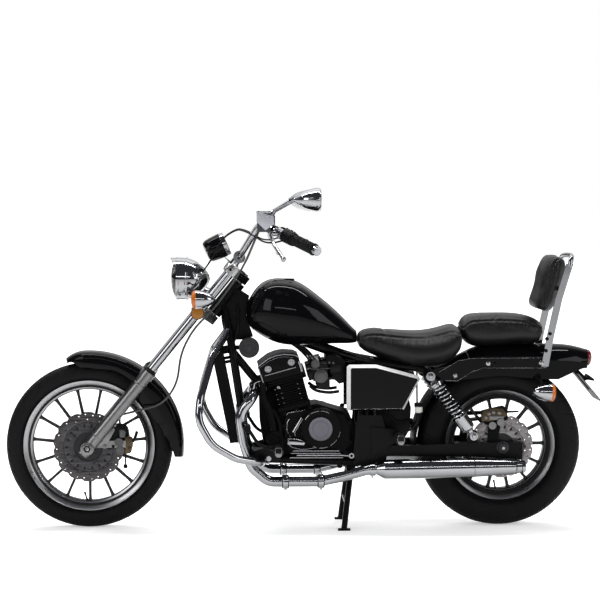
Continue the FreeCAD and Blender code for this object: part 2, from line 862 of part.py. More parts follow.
def front_caliper_and_sliders(sliders):
    centre = V(front_axle_x, 0, front_axle_z)
    save("front_caliper", caliper(centre, front_disc_radius, front_disc_y, front_caliper_angle))
    lug_low = front_disc_y + disc_thickness + caliper_gap + caliper_wall + seat_gap
    reach = front_disc_radius
    lug = block(V(centre.x - reach - caliper_edge, lug_low, centre.z),
                V(centre.x - slider_radius, lug_low + caliper_edge,
                                                                         centre.z + caliper_height / 2))
    near = joined([sliders[1], lug])
    hole = cross_rod(front_axle_x, front_axle_z, 0, 2 * fork_half_spacing, axle_radius)
    save("fork_sliders", sliders[0], near.cut(hole))


def caliper(centre, disc_radius, disc_y, angle):
    low = disc_y - caliper_gap - caliper_wall
    high = disc_y + disc_thickness + caliper_gap + caliper_wall
    inner = disc_radius - caliper_height / 2
    outer = disc_radius + caliper_height / 2
    body = block(V(centre.x + inner, low, centre.z - caliper_length / 2),
                 V(centre.x + outer, high, centre.z + caliper_length / 2))
    edges = [edge for edge in body.Edges if abs(edge.tangentAt(edge.FirstParameter).y) > across_share]
    body = body.makeFillet(caliper_edge, edges)
    slot = cross_rod(centre.x, centre.z, disc_y - caliper_gap, disc_y + disc_thickness + caliper_gap,
                     disc_radius + caliper_gap)
    body = body.cut(slot)
    body.rotate(centre, V(0, 1, 0), -angle)
    return body


def front_axle():
    end = fork_half_spacing + slider_radius + axle_overhang
    pin = cross_rod(front_axle_x, front_axle_z, -end, end, axle_radius)
    heads = []
    spacers = []
    for side in (-1, 1):
        inner = side * (fork_half_spacing + slider_radius + seat_gap)
        heads.append(rod(V(front_axle_x, inner, front_axle_z), V(front_axle_x, side * end, front_axle_z),
                         axle_radius + rim_wall))
    for side, start in ((-1, front_hub_half_width), (1, front_disc_y + disc_thickness)):
        inner = side * (start + seat_gap)
        outer = side * (fork_half_spacing - slider_radius - seat_gap)
        spacers.append(rod(V(front_axle_x, inner, front_axle_z), V(front_axle_x, outer, front_axle_z),
                           axle_radius + rim_wall))
    save("front_axle", joined([pin] + heads + spacers))


def yokes():
    parts = []
    rear = -fork_offset - yoke_web_half_depth
    for at, front, front_y in ((lower_yoke_at, -fork_offset + yoke_web_half_depth, yoke_waist),
                               (upper_yoke_at, yoke_shelf, yoke_shelf_half_width)):
        half_plan = [V(rear, yoke_waist, at), V(-yoke_clamp_radius, fork_half_spacing, at),
                     V(0, fork_half_spacing, at),
                     V(front, front_y, at)]
        plan = half_plan + [V(point.x, -point.y, point.z) for point in reversed(half_plan)]
        shapes = [Part.Face(Part.makePolygon(plan + plan[:1])).extrude(V(0, 0, yoke_thickness))]
        for side in (-1, 1):
            y = side * fork_half_spacing
            shapes.append(rod(V(0, y, at), V(0, y, at + yoke_thickness), yoke_clamp_radius))
        yoke = joined(shapes)
        bores = [rod(V(0, side * fork_half_spacing, at - overrun),
                     V(0, side * fork_half_spacing, at + yoke_thickness + overrun), fork_tube_radius)
                 for side in (-1, 1)]
        parts.append(yoke.cut(bores))
    stem = rod(V(-fork_offset, 0, lower_yoke_at), V(-fork_offset, 0, upper_yoke_at + yoke_thickness
                                                    + rim_wall),
               stem_radius)
    save("steering_yokes", fork_placed(joined(parts + [stem])))


def fender_section(grow):
    wide = fender_half_width - grow
    crown = fender_radius - grow
    shoulder = fender_radius - fender_shoulder
    x = front_axle_x
    z = front_axle_z
    arc = Part.Arc(V(x, wide, z + shoulder), V(x, 0, z + crown), V(x, -wide, z + shoulder)).toShape()
    lines = [Part.makeLine(V(x, -wide, z + shoulder), V(x, -wide, z + fender_skirt_radius - grow)),
             Part.makeLine(V(x, -wide, z + fender_skirt_radius - grow),
                           V(x, wide, z + fender_skirt_radius - grow)),
             Part.makeLine(V(x, wide, z + fender_skirt_radius - grow), V(x, wide, z + shoulder))]
    return Part.Face(Part.Wire([arc] + lines))


def front_fender():
    centre = V(front_axle_x, 0, front_axle_z)
    start = 90 - fender_front_angle
    shells = []
    for grow in (0, fender_wall):
        face = fender_section(grow)
        face.rotate(centre, V(0, 1, 0), start)
        shells.append(outward(face.revolve(centre, V(0, 1, 0), -fender_sweep)))
    shell = shells[0].cut(shells[1])
    lower = []
    depth = fender_radius - fender_skirt_radius
    for along, down in fender_skirt_shares:
        angle = math.radians(fender_front_angle + fender_sweep * along)
        radius = fender_skirt_radius + depth * down
        lower.append(centre + V(radius * math.cos(angle), 0, radius * math.sin(angle)))
    upper = []
    beyond = fender_radius + fender_shoulder
    for step in range(fender_outline_points):
        angle = math.radians(fender_front_angle + fender_sweep * (1 - step / (fender_outline_points - 1)))
        upper.append(centre + V(beyond * math.cos(angle), 0, beyond * math.sin(angle)))
    side = plate_between(lower + upper, -fender_radius, fender_radius)
    shell = shell.common(side)
    lugs = []
    for sign in (-1, 1):
        inner = sign * (fender_half_width - fender_wall / 2)
        outer = sign * (fork_half_spacing - slider_radius - seat_gap)
        lug = block(V(-fender_lug_length / 2, min(inner, outer), fender_lug_at),
                    V(fender_lug_length / 2, max(inner, outer), fender_lug_at + fender_lug_height))
        lugs.append(fork_placed(lug))
    save("front_fender", joined([shell] + lugs))


def lamp_centre():
    return V(front_axle_x - lamp_ahead, 0, front_axle_z + lamp_above)


def lamp_bullet(shrink):
    centre = lamp_centre()
    points = [V(centre.x - (lamp_depth - shrink) * along, 0, centre.z + (lamp_radius - shrink) * out)
              for along, out in lamp_shell_shares]
    return spun_curve(points, centre, V(-1, 0, 0))


def headlight():
    centre = lamp_centre()
    shell = lamp_bullet(0).cut(lamp_bullet(lamp_wall))
    corners = [V(centre.x, 0, centre.z + lamp_radius - lamp_wall), V(centre.x, 0, centre.z + lamp_radius),
               V(centre.x + lamp_visor, 0, centre.z + lamp_radius),
               V(centre.x + lamp_visor, 0, centre.z + lamp_radius - lamp_wall)]
    visor = spun(corners, centre, V(1, 0, 0), lamp_visor_angle)
    visor.rotate(centre, V(1, 0, 0), -lamp_visor_angle / 2)
    low = centre.z + lamp_radius * math.cos(math.radians(lamp_visor_angle / 2))
    wedge = [V(centre.x, 0, low), V(centre.x + lamp_visor, 0, centre.z + lamp_radius + overrun),
             V(centre.x + lamp_visor + overrun, 0, centre.z + lamp_radius + overrun),
             V(centre.x + lamp_visor + overrun, 0, low - overrun), V(centre.x, 0, low - overrun)]
    visor = visor.cut(plate_between(wedge, -lamp_radius - overrun, lamp_radius + overrun))
    ears = []
    yoke_face = fork_point(-fork_offset + yoke_web_half_depth + seat_gap, 0, lower_yoke_at)
    for side in (-1, 1):
        y = side * lamp_stay_spacing / 2
        ear = [V(yoke_face.x, 0, yoke_face.z), yoke_face + (fork_point(0, 0, yoke_thickness) - fork_point(0,
                                                            0, 0)),
               *[V(centre.x - lamp_depth * back, 0, centre.z - lamp_radius * down) for back,
                 down in lamp_ear_shares]]
        ears.append(plate_between(ear, y - lamp_stay_half_width / 2, y + lamp_stay_half_width / 2))
    ears = [ear.cut(lamp_bullet(lamp_wall / 2)) for ear in ears]
    save("headlight_shell", joined([shell, visor] + ears))
    save("headlight_lens", lens_dome(centre, lamp_radius - lamp_wall - seat_gap, lamp_bulge, lamp_wall))


def lens_dome(centre, radius, bulge, wall):
    def arc(reach, front):
        ball = (reach * reach + front * front) / (2 * front)
        half = math.asin(reach / ball) / 2
        middle = V(centre.x + front - ball + ball * math.cos(half), 0, centre.z + ball * math.sin(half))
        return Part.Arc(V(centre.x, 0, centre.z + reach), middle, V(centre.x + front, 0, centre.z)).toShape()

    outer = arc(radius, bulge)
    inner = arc(radius - wall, bulge - wall)
    edges = [outer, Part.makeLine(V(centre.x + bulge, 0, centre.z),
                                  V(centre.x + bulge - wall, 0, centre.z)), inner,
             Part.makeLine(V(centre.x, 0, centre.z + radius - wall), V(centre.x, 0, centre.z + radius))]
    return outward(Part.Face(Part.Wire(Part.__sortEdges__(edges))).revolve(centre, V(1, 0, 0), 360))


def signal_body(lens_centre, backwards):
    profile = [V(lens_centre.x + backwards * signal_length * along, lens_centre.y,
                 lens_centre.z + signal_radius * out) for along, out in signal_shares]
    return spun(profile, lens_centre, V(backwards, 0, 0))


def front_signals():
    lamps = []
    for side in (-1, 1):
        root = fork_point(0, side * fork_half_spacing, front_signal_at)
        lens = V(root.x + signal_length * front_signal_ahead_share, side * front_signal_y, root.z)
        clamp = rod(V(0, side * fork_half_spacing, front_signal_at - signal_stem_radius),
                    V(0, side * fork_half_spacing, front_signal_at + signal_stem_radius), yoke_clamp_radius)
        clamp = clamp.cut(rod(V(0, side * fork_half_spacing, front_signal_at - signal_radius),
                              V(0, side * fork_half_spacing, front_signal_at
                                + signal_radius), fork_tube_radius))
        stem = rod(V(root.x, side * (fork_half_spacing + fork_tube_radius + rim_wall / 2), root.z),
                   V(root.x, side * front_signal_y, root.z), signal_stem_radius)
        lamps.append(joined([fork_placed(clamp), stem, signal_body(lens, -1)]))
        at = fork_point(0, 0, lower_yoke_at + yoke_thickness * reflector_level_share)
        inner = side * (fork_half_spacing + yoke_clamp_radius + seat_gap)
        lamps.append(rod(V(at.x, inner, at.z), V(at.x, inner + side * reflector_thickness, at.z),
                         reflector_radius))
    save("front_signals", *lamps)


def speedometer():
    centre = from_neck(-speedo_ahead, 0, speedo_above)
    tilt = math.radians(speedo_tilt)
    axis = V(-math.cos(tilt), 0, math.sin(tilt))
    across = V(math.sin(tilt), 0, math.cos(tilt))
    front = centre - axis * (speedo_depth / 2)
    back = centre + axis * (speedo_depth / 2)
    profile = [front, front + across * speedo_front_radius * speedo_nose_share, front + axis * speedo_bezel
               + across * speedo_front_radius,
               back - axis * speedo_bezel + across * (speedo_dial_radius - flange_wall),
               back - axis * speedo_bezel + across * speedo_dial_radius, back + across * speedo_dial_radius,
               back + across * (speedo_dial_radius - flange_wall),
               back - axis * flange_wall + across * (speedo_dial_radius - flange_wall), back - axis * flange_wall]
    cup = spun(profile, centre, axis)
    seat = fork_point(0, 0, upper_yoke_at + yoke_thickness + seat_gap)
    rise = fork_point(0, 0, speedo_stay_wall) - fork_point(0, 0, 0)
    forward = fork_point(yoke_clamp_radius, 0, 0) - fork_point(0, 0, 0)
    under = centre - across * (speedo_front_radius - flange_wall)
    heel, toe, bend = [forward * share for share in speedo_stay_shares]
    stay = [seat - heel, seat + toe, under + axis * speedo_bezel - across * speedo_stay_wall,
            under - axis * speedo_bezel, under - axis * speedo_bezel + across * speedo_bezel,
            under + across * speedo_bezel, seat + bend + rise, seat - heel + rise]
    foot = plate_between(stay, -speedo_stay_width / 2, speedo_stay_width / 2)
    save("speedometer", joined([cup, foot]))


def bar_points(side):
    low, high, end = [from_neck(bar_back * back, side * bar_half_width * out, bar_rise * up)
                      for back, out, up in bar_shares]
    return low, high, end


def along_bar(side, from_end):
    high, end = bar_points(side)[1:]
    run = high - end
    run.normalize()
    return end + run * from_end


def handlebar():
    low_left, high_left, end_left = bar_points(1)
    low_right, high_right, end_right = bar_points(-1)
    tube = pipe([end_left, high_left, low_left, low_right, high_right, end_right], bar_radius, bar_bend)
    shapes = [tube]
    for side in (-1, 1):
        cap_end = along_bar(side, -bar_end_length)
        shapes.append(rod(along_bar(side, 0), cap_end, bar_end_radius))
        y = side * riser_y
        shapes.append(cross_rod(low_left.x, low_left.z, y - riser_radius, y + riser_radius, riser_radius
                                + rim_wall))
        foot = fork_point(0, y, upper_yoke_at + yoke_thickness + seat_gap)
        offset = low_left - foot
        up = fork_point(0, 0, 1) - fork_point(0, 0, 0)
        height = offset.dot(up)
        shapes.append(rod(V(low_left.x, y, low_left.z) - up * height, V(low_left.x, y, low_left.z),
                          riser_radius))
    save("handlebar", joined(shapes))


def grips():
    sleeves = []
    for side in (-1, 1):
        sleeve = joined([rod(along_bar(side, 0), along_bar(side, grip_length), grip_radius),
                         rod(along_bar(side, grip_length - flange_wall), along_bar(side, grip_length),
                             grip_flange)])
        sleeves.append(sleeve.cut(rod(along_bar(side, -overrun), along_bar(side, grip_length + overrun),
                                      bar_radius)))
    save("grips", *sleeves)


def hand_controls():
    solids = []
    for side in (-1, 1):
        switch_start = grip_length + seat_gap
        switch_end = switch_start + switch_length
        perch_start = switch_end + seat_gap + rim_wall
        perch_end = perch_start + perch_length
        perch_middle = along_bar(side, (perch_start + perch_end) / 2)
        housing = rod(along_bar(side, switch_start), along_bar(side, switch_end), switch_radius)
        clamp = rod(along_bar(side, switch_end - overrun), along_bar(side, perch_end), bar_radius + rim_wall)
        pivot = perch_middle + V(lever_reach * lever_pivot_share, 0, 0)
        arm = rod(perch_middle, pivot, lever_radius * lever_arm_share)
        ahead, down = lever_knee_shares
        knee = along_bar(side, switch_start) + V(lever_reach * ahead, 0, -lever_reach * down)
        ahead, down = lever_tip_shares
        tip = along_bar(side, lever_ball_radius * 2) + V(lever_reach * ahead, 0, -lever_reach * down)
        lever = pipe([pivot, knee, tip], lever_radius)
        shapes = [housing, clamp, arm, lever, Part.makeSphere(lever_ball_radius, tip)]
        if side > 0:
            neck_end = perch_middle + V(master_ahead + rim_wall, 0, 0)
            shapes.append(rod(perch_middle, neck_end, lever_radius * lever_arm_share))
            low = perch_middle + V(master_ahead, -master_width / 2, bar_radius / 2)
            shapes.append(block(low, low + V(master_length, master_width, master_height)))
        body = joined(shapes)
        solids.append(body.cut(rod(along_bar(side, -overrun), along_bar(side, perch_end + master_width),
                                   bar_radius)))
    save("hand_controls", *solids)


def ring_shares(count):
    return [(math.cos(2 * math.pi * n / count), (1 + math.sin(2 * math.pi * n / count)) / 2)
            for n in range(count)]


def mirrors():
    solids = []
    for side in (-1, 1):
        glass = from_neck(mirror_glass_back, side * mirror_glass_y, mirror_glass_up - mirror_half_height)
        stations = [(-along, out, 0.5 - out / 2, 0.5 + out / 2) for along, out in mirror_shares]
        body = loft_along_x(glass, mirror_depth, mirror_half_width, mirror_half_height * 2, stations,
                            ring_shares(mirror_section_points))
        front = from_neck(mirror_glass_back - mirror_depth * mirror_arm_share, side * mirror_glass_y,
                          mirror_glass_up)
        clamp_at = grip_length + switch_length + rim_wall + perch_length * mirror_clamp_share
        ring = rod(along_bar(side, clamp_at), along_bar(side, clamp_at + mirror_clamp_length),
                   bar_radius + rim_wall)
        ring = ring.cut(rod(along_bar(side, clamp_at - overrun), along_bar(side, clamp_at + perch_length),
                            bar_radius))
        foot = along_bar(side, clamp_at + mirror_clamp_length / 2) + V(0, 0,
                                                            bar_radius + mirror_arm_radius / 2)
        elbow = foot + V(0, 0, mirror_half_width * mirror_elbow_share)
        arm = pipe([foot, elbow, front], mirror_arm_radius)
        solids.append(joined([body, ring, arm]))
    save("mirrors", *solids)


def frame_path_points(side):
    # from the head tube down in front of the engine and back along under it
    neck_foot = fork_point(-fork_offset, side * head_tube_radius * downtube_foot_share,
                           lower_yoke_at + yoke_thickness + downtube_foot_rise)
    back, down = downtube_shoulder_shares
    shoulder = from_neck(cradle_back * back, side * down_half_width, -cradle_drop * down)
    corner = from_neck(cradle_back, side * cradle_half_width, -cradle_drop)
    heel = V(pivot_x + pivot_plate_half_length, side * cradle_half_width, neck_z - cradle_drop - rail_rise)
    return neck_foot, shoulder, corner, heel


def down_tube(side, grow):
    return pipe(list(frame_path_points(side)), frame_tube_radius + grow, frame_bend)


def seat_rail_points(side):
    inward, up = seat_rail_start_shares
    start = from_rear_axle(seat_ahead + frame_bend, side * backbone_radius * inward,
                           seat_up + seat_height * up)
    shoulder = from_rear_axle(seat_ahead - frame_bend, side * seat_rail_half_width, seat_rail_up)
    middle = from_rear_axle(seat_rail_end_ahead, side * seat_rail_half_width, seat_rail_up - seat_rail_fall)
    end = from_rear_axle(shock_top_ahead - frame_tube_radius / 2, side * seat_rail_half_width, shock_top_up)
    return start, shoulder, middle, end


def seat_rail(side, grow):
    return pipe(list(seat_rail_points(side)), frame_tube_radius + grow, frame_bend)


def seat_post(side, grow):
    heel = frame_path_points(side)[3]
    shoulder = seat_rail_points(side)[1]
    foot = V(heel.x - head_tube_gap, heel.y, heel.z)
    rise = shoulder - foot
    knee = V(foot.x + rise.x * seat_post_knee_share, foot.y, foot.z + rise.z * seat_post_knee_share)
    hip = V(foot.x + rise.x * seat_post_hip_share, shoulder.y, foot.z + rise.z * seat_post_hip_share)
    return pipe([foot, knee, hip, shoulder], frame_tube_radius + grow, frame_bend)


def backbone():
    front = fork_point(-fork_offset - head_tube_radius / 2, 0, neck_at + yoke_thickness)
    along, up = backbone_dip_shares
    dip = from_neck(tank_back + tank_length * along, 0, -tank_drop + tank_tunnel_height * up)
    back = V(seat_rail_points(1)[0].x, 0, seat_rail_points(1)[0].z)
    end = from_rear_axle(seat_ahead - frame_bend, 0, seat_rail_up - backbone_radius / 2)
    return [front, dip, back, end]


def backbone_tube(grow):
    return pipe(backbone(), backbone_radius + grow, frame_bend)


def frame():
    low = lower_yoke_at + yoke_thickness + head_tube_gap
    high = upper_yoke_at - head_tube_gap
    head = fork_placed(rod(V(-fork_offset, 0, low), V(-fork_offset, 0, high), head_tube_radius))
    shapes = [head, backbone_tube(0)]
    top, waist = pivot_plate_shares
    for side in (-1, 1):
        shapes += [down_tube(side, 0), seat_rail(side, 0), seat_post(side, 0)]
        x_low = pivot_x - pivot_plate_half_length
        x_high = pivot_x + pivot_plate_half_length
        corners = [V(x_low, 0, pivot_z - pivot_plate_half_length),
                   V(x_high, 0, pivot_z - pivot_plate_half_length),
                   V(x_high + frame_tube_radius, 0, pivot_z), V(x_high, 0,
                                                            pivot_z + pivot_plate_height * top),
                   V(x_low + frame_tube_radius, 0, pivot_z + pivot_plate_height * top),
                   V(x_low - frame_tube_radius, 0, pivot_z + pivot_plate_height * waist)]
        low_y = pivot_plate_y if side > 0 else -pivot_plate_y - pivot_plate_wall
        shapes.append(plate_between(corners, low_y, low_y + pivot_plate_wall))
        shock_pin = from_rear_axle(shock_top_ahead, 0, shock_top_up)
        pin_inner = side * (seat_rail_half_width - frame_tube_radius)
        pin_outer = side * (shock_y + shock_eye_width / 2 + rim_wall)
        shapes.append(rod(V(shock_pin.x, pin_inner, shock_pin.z), V(shock_pin.x, pin_outer, shock_pin.z),
                          shock_pin_radius))
    pivot_reach = pivot_plate_y + pivot_plate_wall
    shapes.append(cross_rod(pivot_x, pivot_z, -pivot_reach, pivot_reach, pivot_pin_radius))
    corner, heel = frame_path_points(1)[2:]
    for side in (-1, 1):
        shapes.append(rod(V(heel.x, side * cradle_half_width, heel.z),
                          V(heel.x, side * pivot_reach, heel.z), frame_tube_radius))
    shapes.append(cross_rod(heel.x + pivot_plate_half_length * cross_tube_ahead_share,
                            heel.z - cross_tube_radius - 3 * seat_gap, -cradle_half_width, cradle_half_width,
                            cross_tube_radius))
    shapes.append(cross_rod(corner.x - frame_tube_radius, corner.z + frame_tube_radius / 2,
                            -cradle_half_width,
                            cradle_half_width, frame_tube_radius))
    shoulder = seat_rail_points(1)[1]
    shapes.append(cross_rod(shoulder.x, shoulder.z, -seat_rail_half_width, seat_rail_half_width,
                            cross_tube_radius))
    stem_hole = fork_placed(rod(V(-fork_offset, 0, low - overrun), V(-fork_offset, 0, high + overrun),
                                stem_radius + pin_gap))
    save("frame", joined(shapes + stand_lugs()).cut(stem_hole))


def rounded_shares(flatness):
    # a closed section, round on top and flatter below, given as shares of the half width and the height
    right = [(across, up if up > 0 else hip_share * (1 - flatness) + hip_share / 2)
             for across, up in upholstered_shares]
    right = [(0.0, 0.0)] + right
    left = [(-across, up) for across, up in reversed(right[1:])]
    return right + [(0.0, 1.0)] + left


def fuel_tank():
    origin = from_neck(tank_back, 0, -tank_drop)
    shell = loft_along_x(origin, tank_length, tank_half_width, tank_height, tank_stations_shares,
                         rounded_shares(tank_flat_share))
    front, dip, back = backbone()[:3]
    rise = backbone_radius * tunnel_rise_share
    tunnel = [front + V(rise, 0, rise), dip + V(0, 0, rise), back + V(-tank_back, 0, -rise),
              back - V(tank_back, 0, tank_height),
              front - V(-rise, 0, tank_height)]
    shell = shell.cut([plate_between(tunnel, -tank_tunnel_half_width, tank_tunnel_half_width),
                       backbone_tube(seat_gap)])
    place = origin + V(-tank_length * cap_at_share, 0, 0)
    top = origin.z + tank_height * cap_level_share
    cap = rod(V(place.x, 0, top - cap_height), V(place.x, 0, top + cap_height / 2), cap_radius)
    save("fuel_tank", joined([shell, cap]))


def seats():
    rider = loft_along_x(from_rear_axle(seat_ahead, 0, seat_up), seat_length, seat_half_width, seat_height,
                         seat_stations_shares, rounded_shares(seat_flat_share))
    pillion = loft_along_x(from_rear_axle(pillion_ahead, 0, pillion_up), pillion_length, pillion_half_width,
                           pillion_height, pillion_stations_shares, rounded_shares(seat_flat_share))
    save("rider_seat", rider.cut([seat_rail(side, seat_gap) for side in (-1, 1)]))
    save("pillion_seat", pillion.cut(fender_arch(-seat_gap)))


def fender_arch(shrink):
    origin = from_rear_axle(tail_ahead, 0, tail_up)
    wires = []
    for along, wide, top in tail_stations_shares:
        half = tail_half_width * wide - shrink
        crown = tail_height * top - shrink
        x = origin.x - tail_length * along
        bottom = origin.z - tail_height / 2
        z = origin.z + crown * tail_shoulder_share
        points = [V(x, half, z), V(x, 0, origin.z + crown), V(x, -half, z)]
        sides = Part.makePolygon([points[2], V(x, -half, bottom - shrink), V(x, half, bottom - shrink),
                                  points[0]])
        wires.append(Part.Wire([Part.Arc(*points).toShape()] + sides.Edges))
    return outward(Part.makeLoft(wires, True, False))


def rear_fender():
    origin = from_rear_axle(tail_ahead, 0, tail_up)
    shell = fender_arch(0).cut(fender_arch(tail_wall))
    lower = side_outline(origin, -tail_length, tail_height, tail_skirt_shares)
    deep = V(0, 0, -tail_height)
    below = lower + [lower[-1] + deep, lower[0] + deep]
    save("rear_fender", shell.cut(plate_between(below, -tail_half_width - overrun, tail_half_width
                                                + overrun)))


def side_plates():
    rails = []
    covers = []
    for side in (-1, 1):
        corners = side_outline(from_rear_axle(rail_ahead, 0, rail_up), -rail_length, rail_height,
                               rail_shares)
        inner = tail_half_width + seat_gap
        low = inner if side > 0 else -inner - rail_wall
        plate = plate_between(corners, low, low + rail_wall)
        pin = from_rear_axle(shock_top_ahead, 0, shock_top_up)
        lug = cross_rod(pin.x, pin.z, low, low + rail_wall, rail_lug_radius)
        holes = [cross_rod(rear_axle_x + rail_ahead - rail_length * along, rear_axle_z + rail_up
                           + rail_height * rail_hole_height_share,
                           low - overrun, low + rail_wall + overrun, rail_hole_radius) for along in rail_hole_shares]
        holes.append(cross_rod(pin.x, pin.z, low - overrun, low + rail_wall + overrun, shock_pin_radius
                               + seat_gap))
        rails.append(joined([plate, lug]).cut(holes))
        corners = side_outline(from_rear_axle(cover_ahead, 0, cover_up), -cover_length, cover_height,
                               cover_shares)
        inner = airbox_half_width + seat_gap
        low = inner if side > 0 else -inner - cover_depth
        cover = plate_between(corners, low, low + cover_depth)
        outer_y = low + cover_depth if side > 0 else low
        rim_edges = [edge for edge in cover.Edges
                     if max(abs(vertex.Y - outer_y) for vertex in edge.Vertexes) < seat_gap]
        covers.append(cover.makeChamfer(cover_bevel, rim_edges))
    save("fender_rails", *rails)
    save("side_covers", *covers)
    high = from_rear_axle(cover_ahead - airbox_inset, airbox_half_width,
                          cover_up + cover_height * airbox_top_share)
    low = from_rear_axle(cover_ahead - cover_length * airbox_back_share, -airbox_half_width,
                         cover_up + airbox_inset)
    save("airbox", block(low, high).cut([seat_post(side, seat_gap) for side in (-1, 1)]))


def tail_lamp():
    end = from_rear_axle(tail_ahead - tail_length, 0, tail_lamp_up)
    housing = rod(end, end + V(tail_lamp_depth, 0, 0), tail_lamp_radius)
    housing = housing.common(fender_arch(tail_wall + seat_gap))
    lens = rod(end + V(-tail_lamp_bulge, 0, 0), end, tail_lamp_radius - tail_wall)
    save("tail_light", joined([housing, lens]))


def plate_holder():
    tilt = math.radians(plate_tilt)
    top = V(rear_axle_x - tail_reach + plate_height * math.sin(tilt) + plate_wall, 0,
            rear_axle_z + plate_top_up)
    turn = FreeCAD.Rotation(V(0, 1, 0), plate_tilt)
    place = FreeCAD.Placement(top, turn).toMatrix()
    half = plate_stay_width / 2
    plate = block(V(-plate_wall, -plate_width / 2, -plate_height), V(0, plate_width / 2, 0))
    stay = block(V(-plate_wall, -half, -plate_height * plate_stay_share),
                 V(plate_stay_wall, half, plate_stay_reach))
    holes = [rod(V(-plate_wall - overrun, side * plate_bolt_spacing / 2, -plate_height / 2),
                 V(plate_stay_wall + overrun, side * plate_bolt_spacing / 2,
                   -plate_height / 2), plate_bolt_radius)
             for side in (-1, 1)]
    bar_at = V(plate_stay_wall / 2, 0, plate_stay_reach)
    bar = rod(bar_at - V(0, plate_width, 0), bar_at + V(0, plate_width, 0), plate_stay_bar)
    bar = bar.transformed(place).common(fender_arch(tail_wall + seat_gap))
    save("number_plate", joined([joined([plate, stay]).cut(holes).transformed(place), bar]))


def rear_signals():
    lamps = []
    for side in (-1, 1):
        lens = from_rear_axle(rear_signal_ahead - signal_length * rear_signal_lens_share,
                              side * rear_signal_y, rear_signal_above)
        root = from_rear_axle(rear_signal_ahead, side * (tail_half_width - overrun), rear_signal_above
                              + rear_signal_stem_rise)
        inside = V(root.x, lens.y, lens.z)
        stem = rod(root, inside, signal_stem_radius)
        boss = rod(root, V(root.x, side * (tail_half_width + rim_wall), root.z),
                   signal_stem_radius * signal_boss_share)
        arm = joined([stem, boss]).cut(fender_arch(-seat_gap))
        lamps.append(joined([signal_body(lens, 1), arm]))
    save("rear_signals", *lamps)


def backrest_side(side, grow):
    # one flat bar, leaning back as it rises
    foot = from_rear_axle(backrest_ahead, 0, backrest_up)
    inner = tail_half_width + rail_wall + 2 * seat_gap
    across = V(backrest_bar_width / 2 + grow, 0, 0)
    path = [foot + V(-backrest_lean * back, 0, backrest_height * up) for back, up in backrest_path_shares]
    low = (inner if side > 0 else -inner - backrest_bar_wall) - grow
    corners = [point + across for point in path] + [point - across for point in reversed(path)]
    return plate_between(corners, low, low + backrest_bar_wall + 2 * grow)


def backrest_cross(grow):
    inner = tail_half_width + rail_wall + 2 * seat_gap + grow
    back, up = backrest_cross_shares
    at = from_rear_axle(backrest_ahead - backrest_lean * back, 0, backrest_up + backrest_height * up)
    return cross_rod(at.x, at.z, -inner, inner, backrest_bar_wall + grow)


def backrest():
    bars = [backrest_side(side, 0) for side in (-1, 1)]
    top = from_rear_axle(backrest_ahead - backrest_lean, 0,
                         backrest_up + backrest_height - backrest_bar_width / 2)
    outer = tail_half_width + rail_wall + 2 * seat_gap + backrest_bar_wall / 2
    size = V(backrest_loop / 2, outer, backrest_loop / 2)
    loop = pipe(spaced(top, size, backrest_loop_shares), backrest_bar_width / 3)
    save("backrest_bar", joined(bars + [loop, backrest_cross(0)]))
    pad = loft_along_x(V(0, 0, -pad_thickness / 2), pad_height, pad_half_width, pad_thickness,
                       pad_stations_shares,
                       rounded_shares(pad_flat_share))
    turn = FreeCAD.Rotation(V(0, 1, 0), 90 - pad_lean)
    pad = pad.transformed(FreeCAD.Placement(from_rear_axle(pad_ahead, 0, pad_up), turn).toMatrix())
    save("backrest_pad", pad.cut([backrest_side(-1, seat_gap), backrest_side(1, seat_gap),
                                  backrest_cross(seat_gap)]))


def swingarm():
    shapes = []
    front = pivot_x + pivot_tube_radius
    ear_x = rear_axle_x + shock_foot_ahead
    end = rear_axle_x - arm_overhang
    top = rear_axle_z + arm_top
    for side in (-1, 1):
        low = arm_inner_y if side > 0 else -arm_inner_y - arm_wall
        corners = [V(front, 0, pivot_z - pivot_tube_radius * arm_front_share),
                   V(front, 0, pivot_z + pivot_tube_radius * arm_front_share),
                   V(ear_x, 0, top), V(end, 0, top), V(end, 0, top - arm_depth_rear), V(ear_x, 0,
                                                            top - arm_depth_front)]
        shapes.append(plate_between(corners, low, low + arm_wall))
        foot = from_rear_axle(shock_foot_ahead, 0, shock_foot_up)
        ear_foot = shock_eye_radius * shock_ear_share
        ear = [V(foot.x - ear_foot, 0, rear_axle_z), V(foot.x + ear_foot, 0, rear_axle_z),
               V(foot.x + shock_eye_radius, 0, foot.z + shock_eye_radius),
               V(foot.x - shock_eye_radius, 0, foot.z + shock_eye_radius)]
        shapes.append(plate_between(ear, low + arm_wall / 4, low + arm_wall * 3 / 4))
        inner = side * (arm_inner_y + arm_wall / 2)
        outer = side * (shock_y + shock_eye_width / 2 + rim_wall)
        shapes.append(rod(V(foot.x, inner, foot.z), V(foot.x, outer, foot.z), shock_pin_radius))
    reach = arm_inner_y + arm_wall
    shapes.append(cross_rod(pivot_x, pivot_z, -reach, reach, pivot_tube_radius))
    brace_x = rear_axle_x + arm_brace_ahead
    shapes.append(cross_rod(brace_x, pivot_z, -arm_inner_y - overrun, arm_inner_y + overrun,
                            pivot_tube_radius * arm_brace_share))
    pin = cross_rod(pivot_x, pivot_z, -reach - overrun, reach + overrun, pivot_pin_radius + pin_gap)
    axle_hole = cross_rod(rear_axle_x, rear_axle_z, -rear_axle_half, rear_axle_half, axle_radius)
    save("swingarm", joined(shapes).cut([pin, axle_hole]))


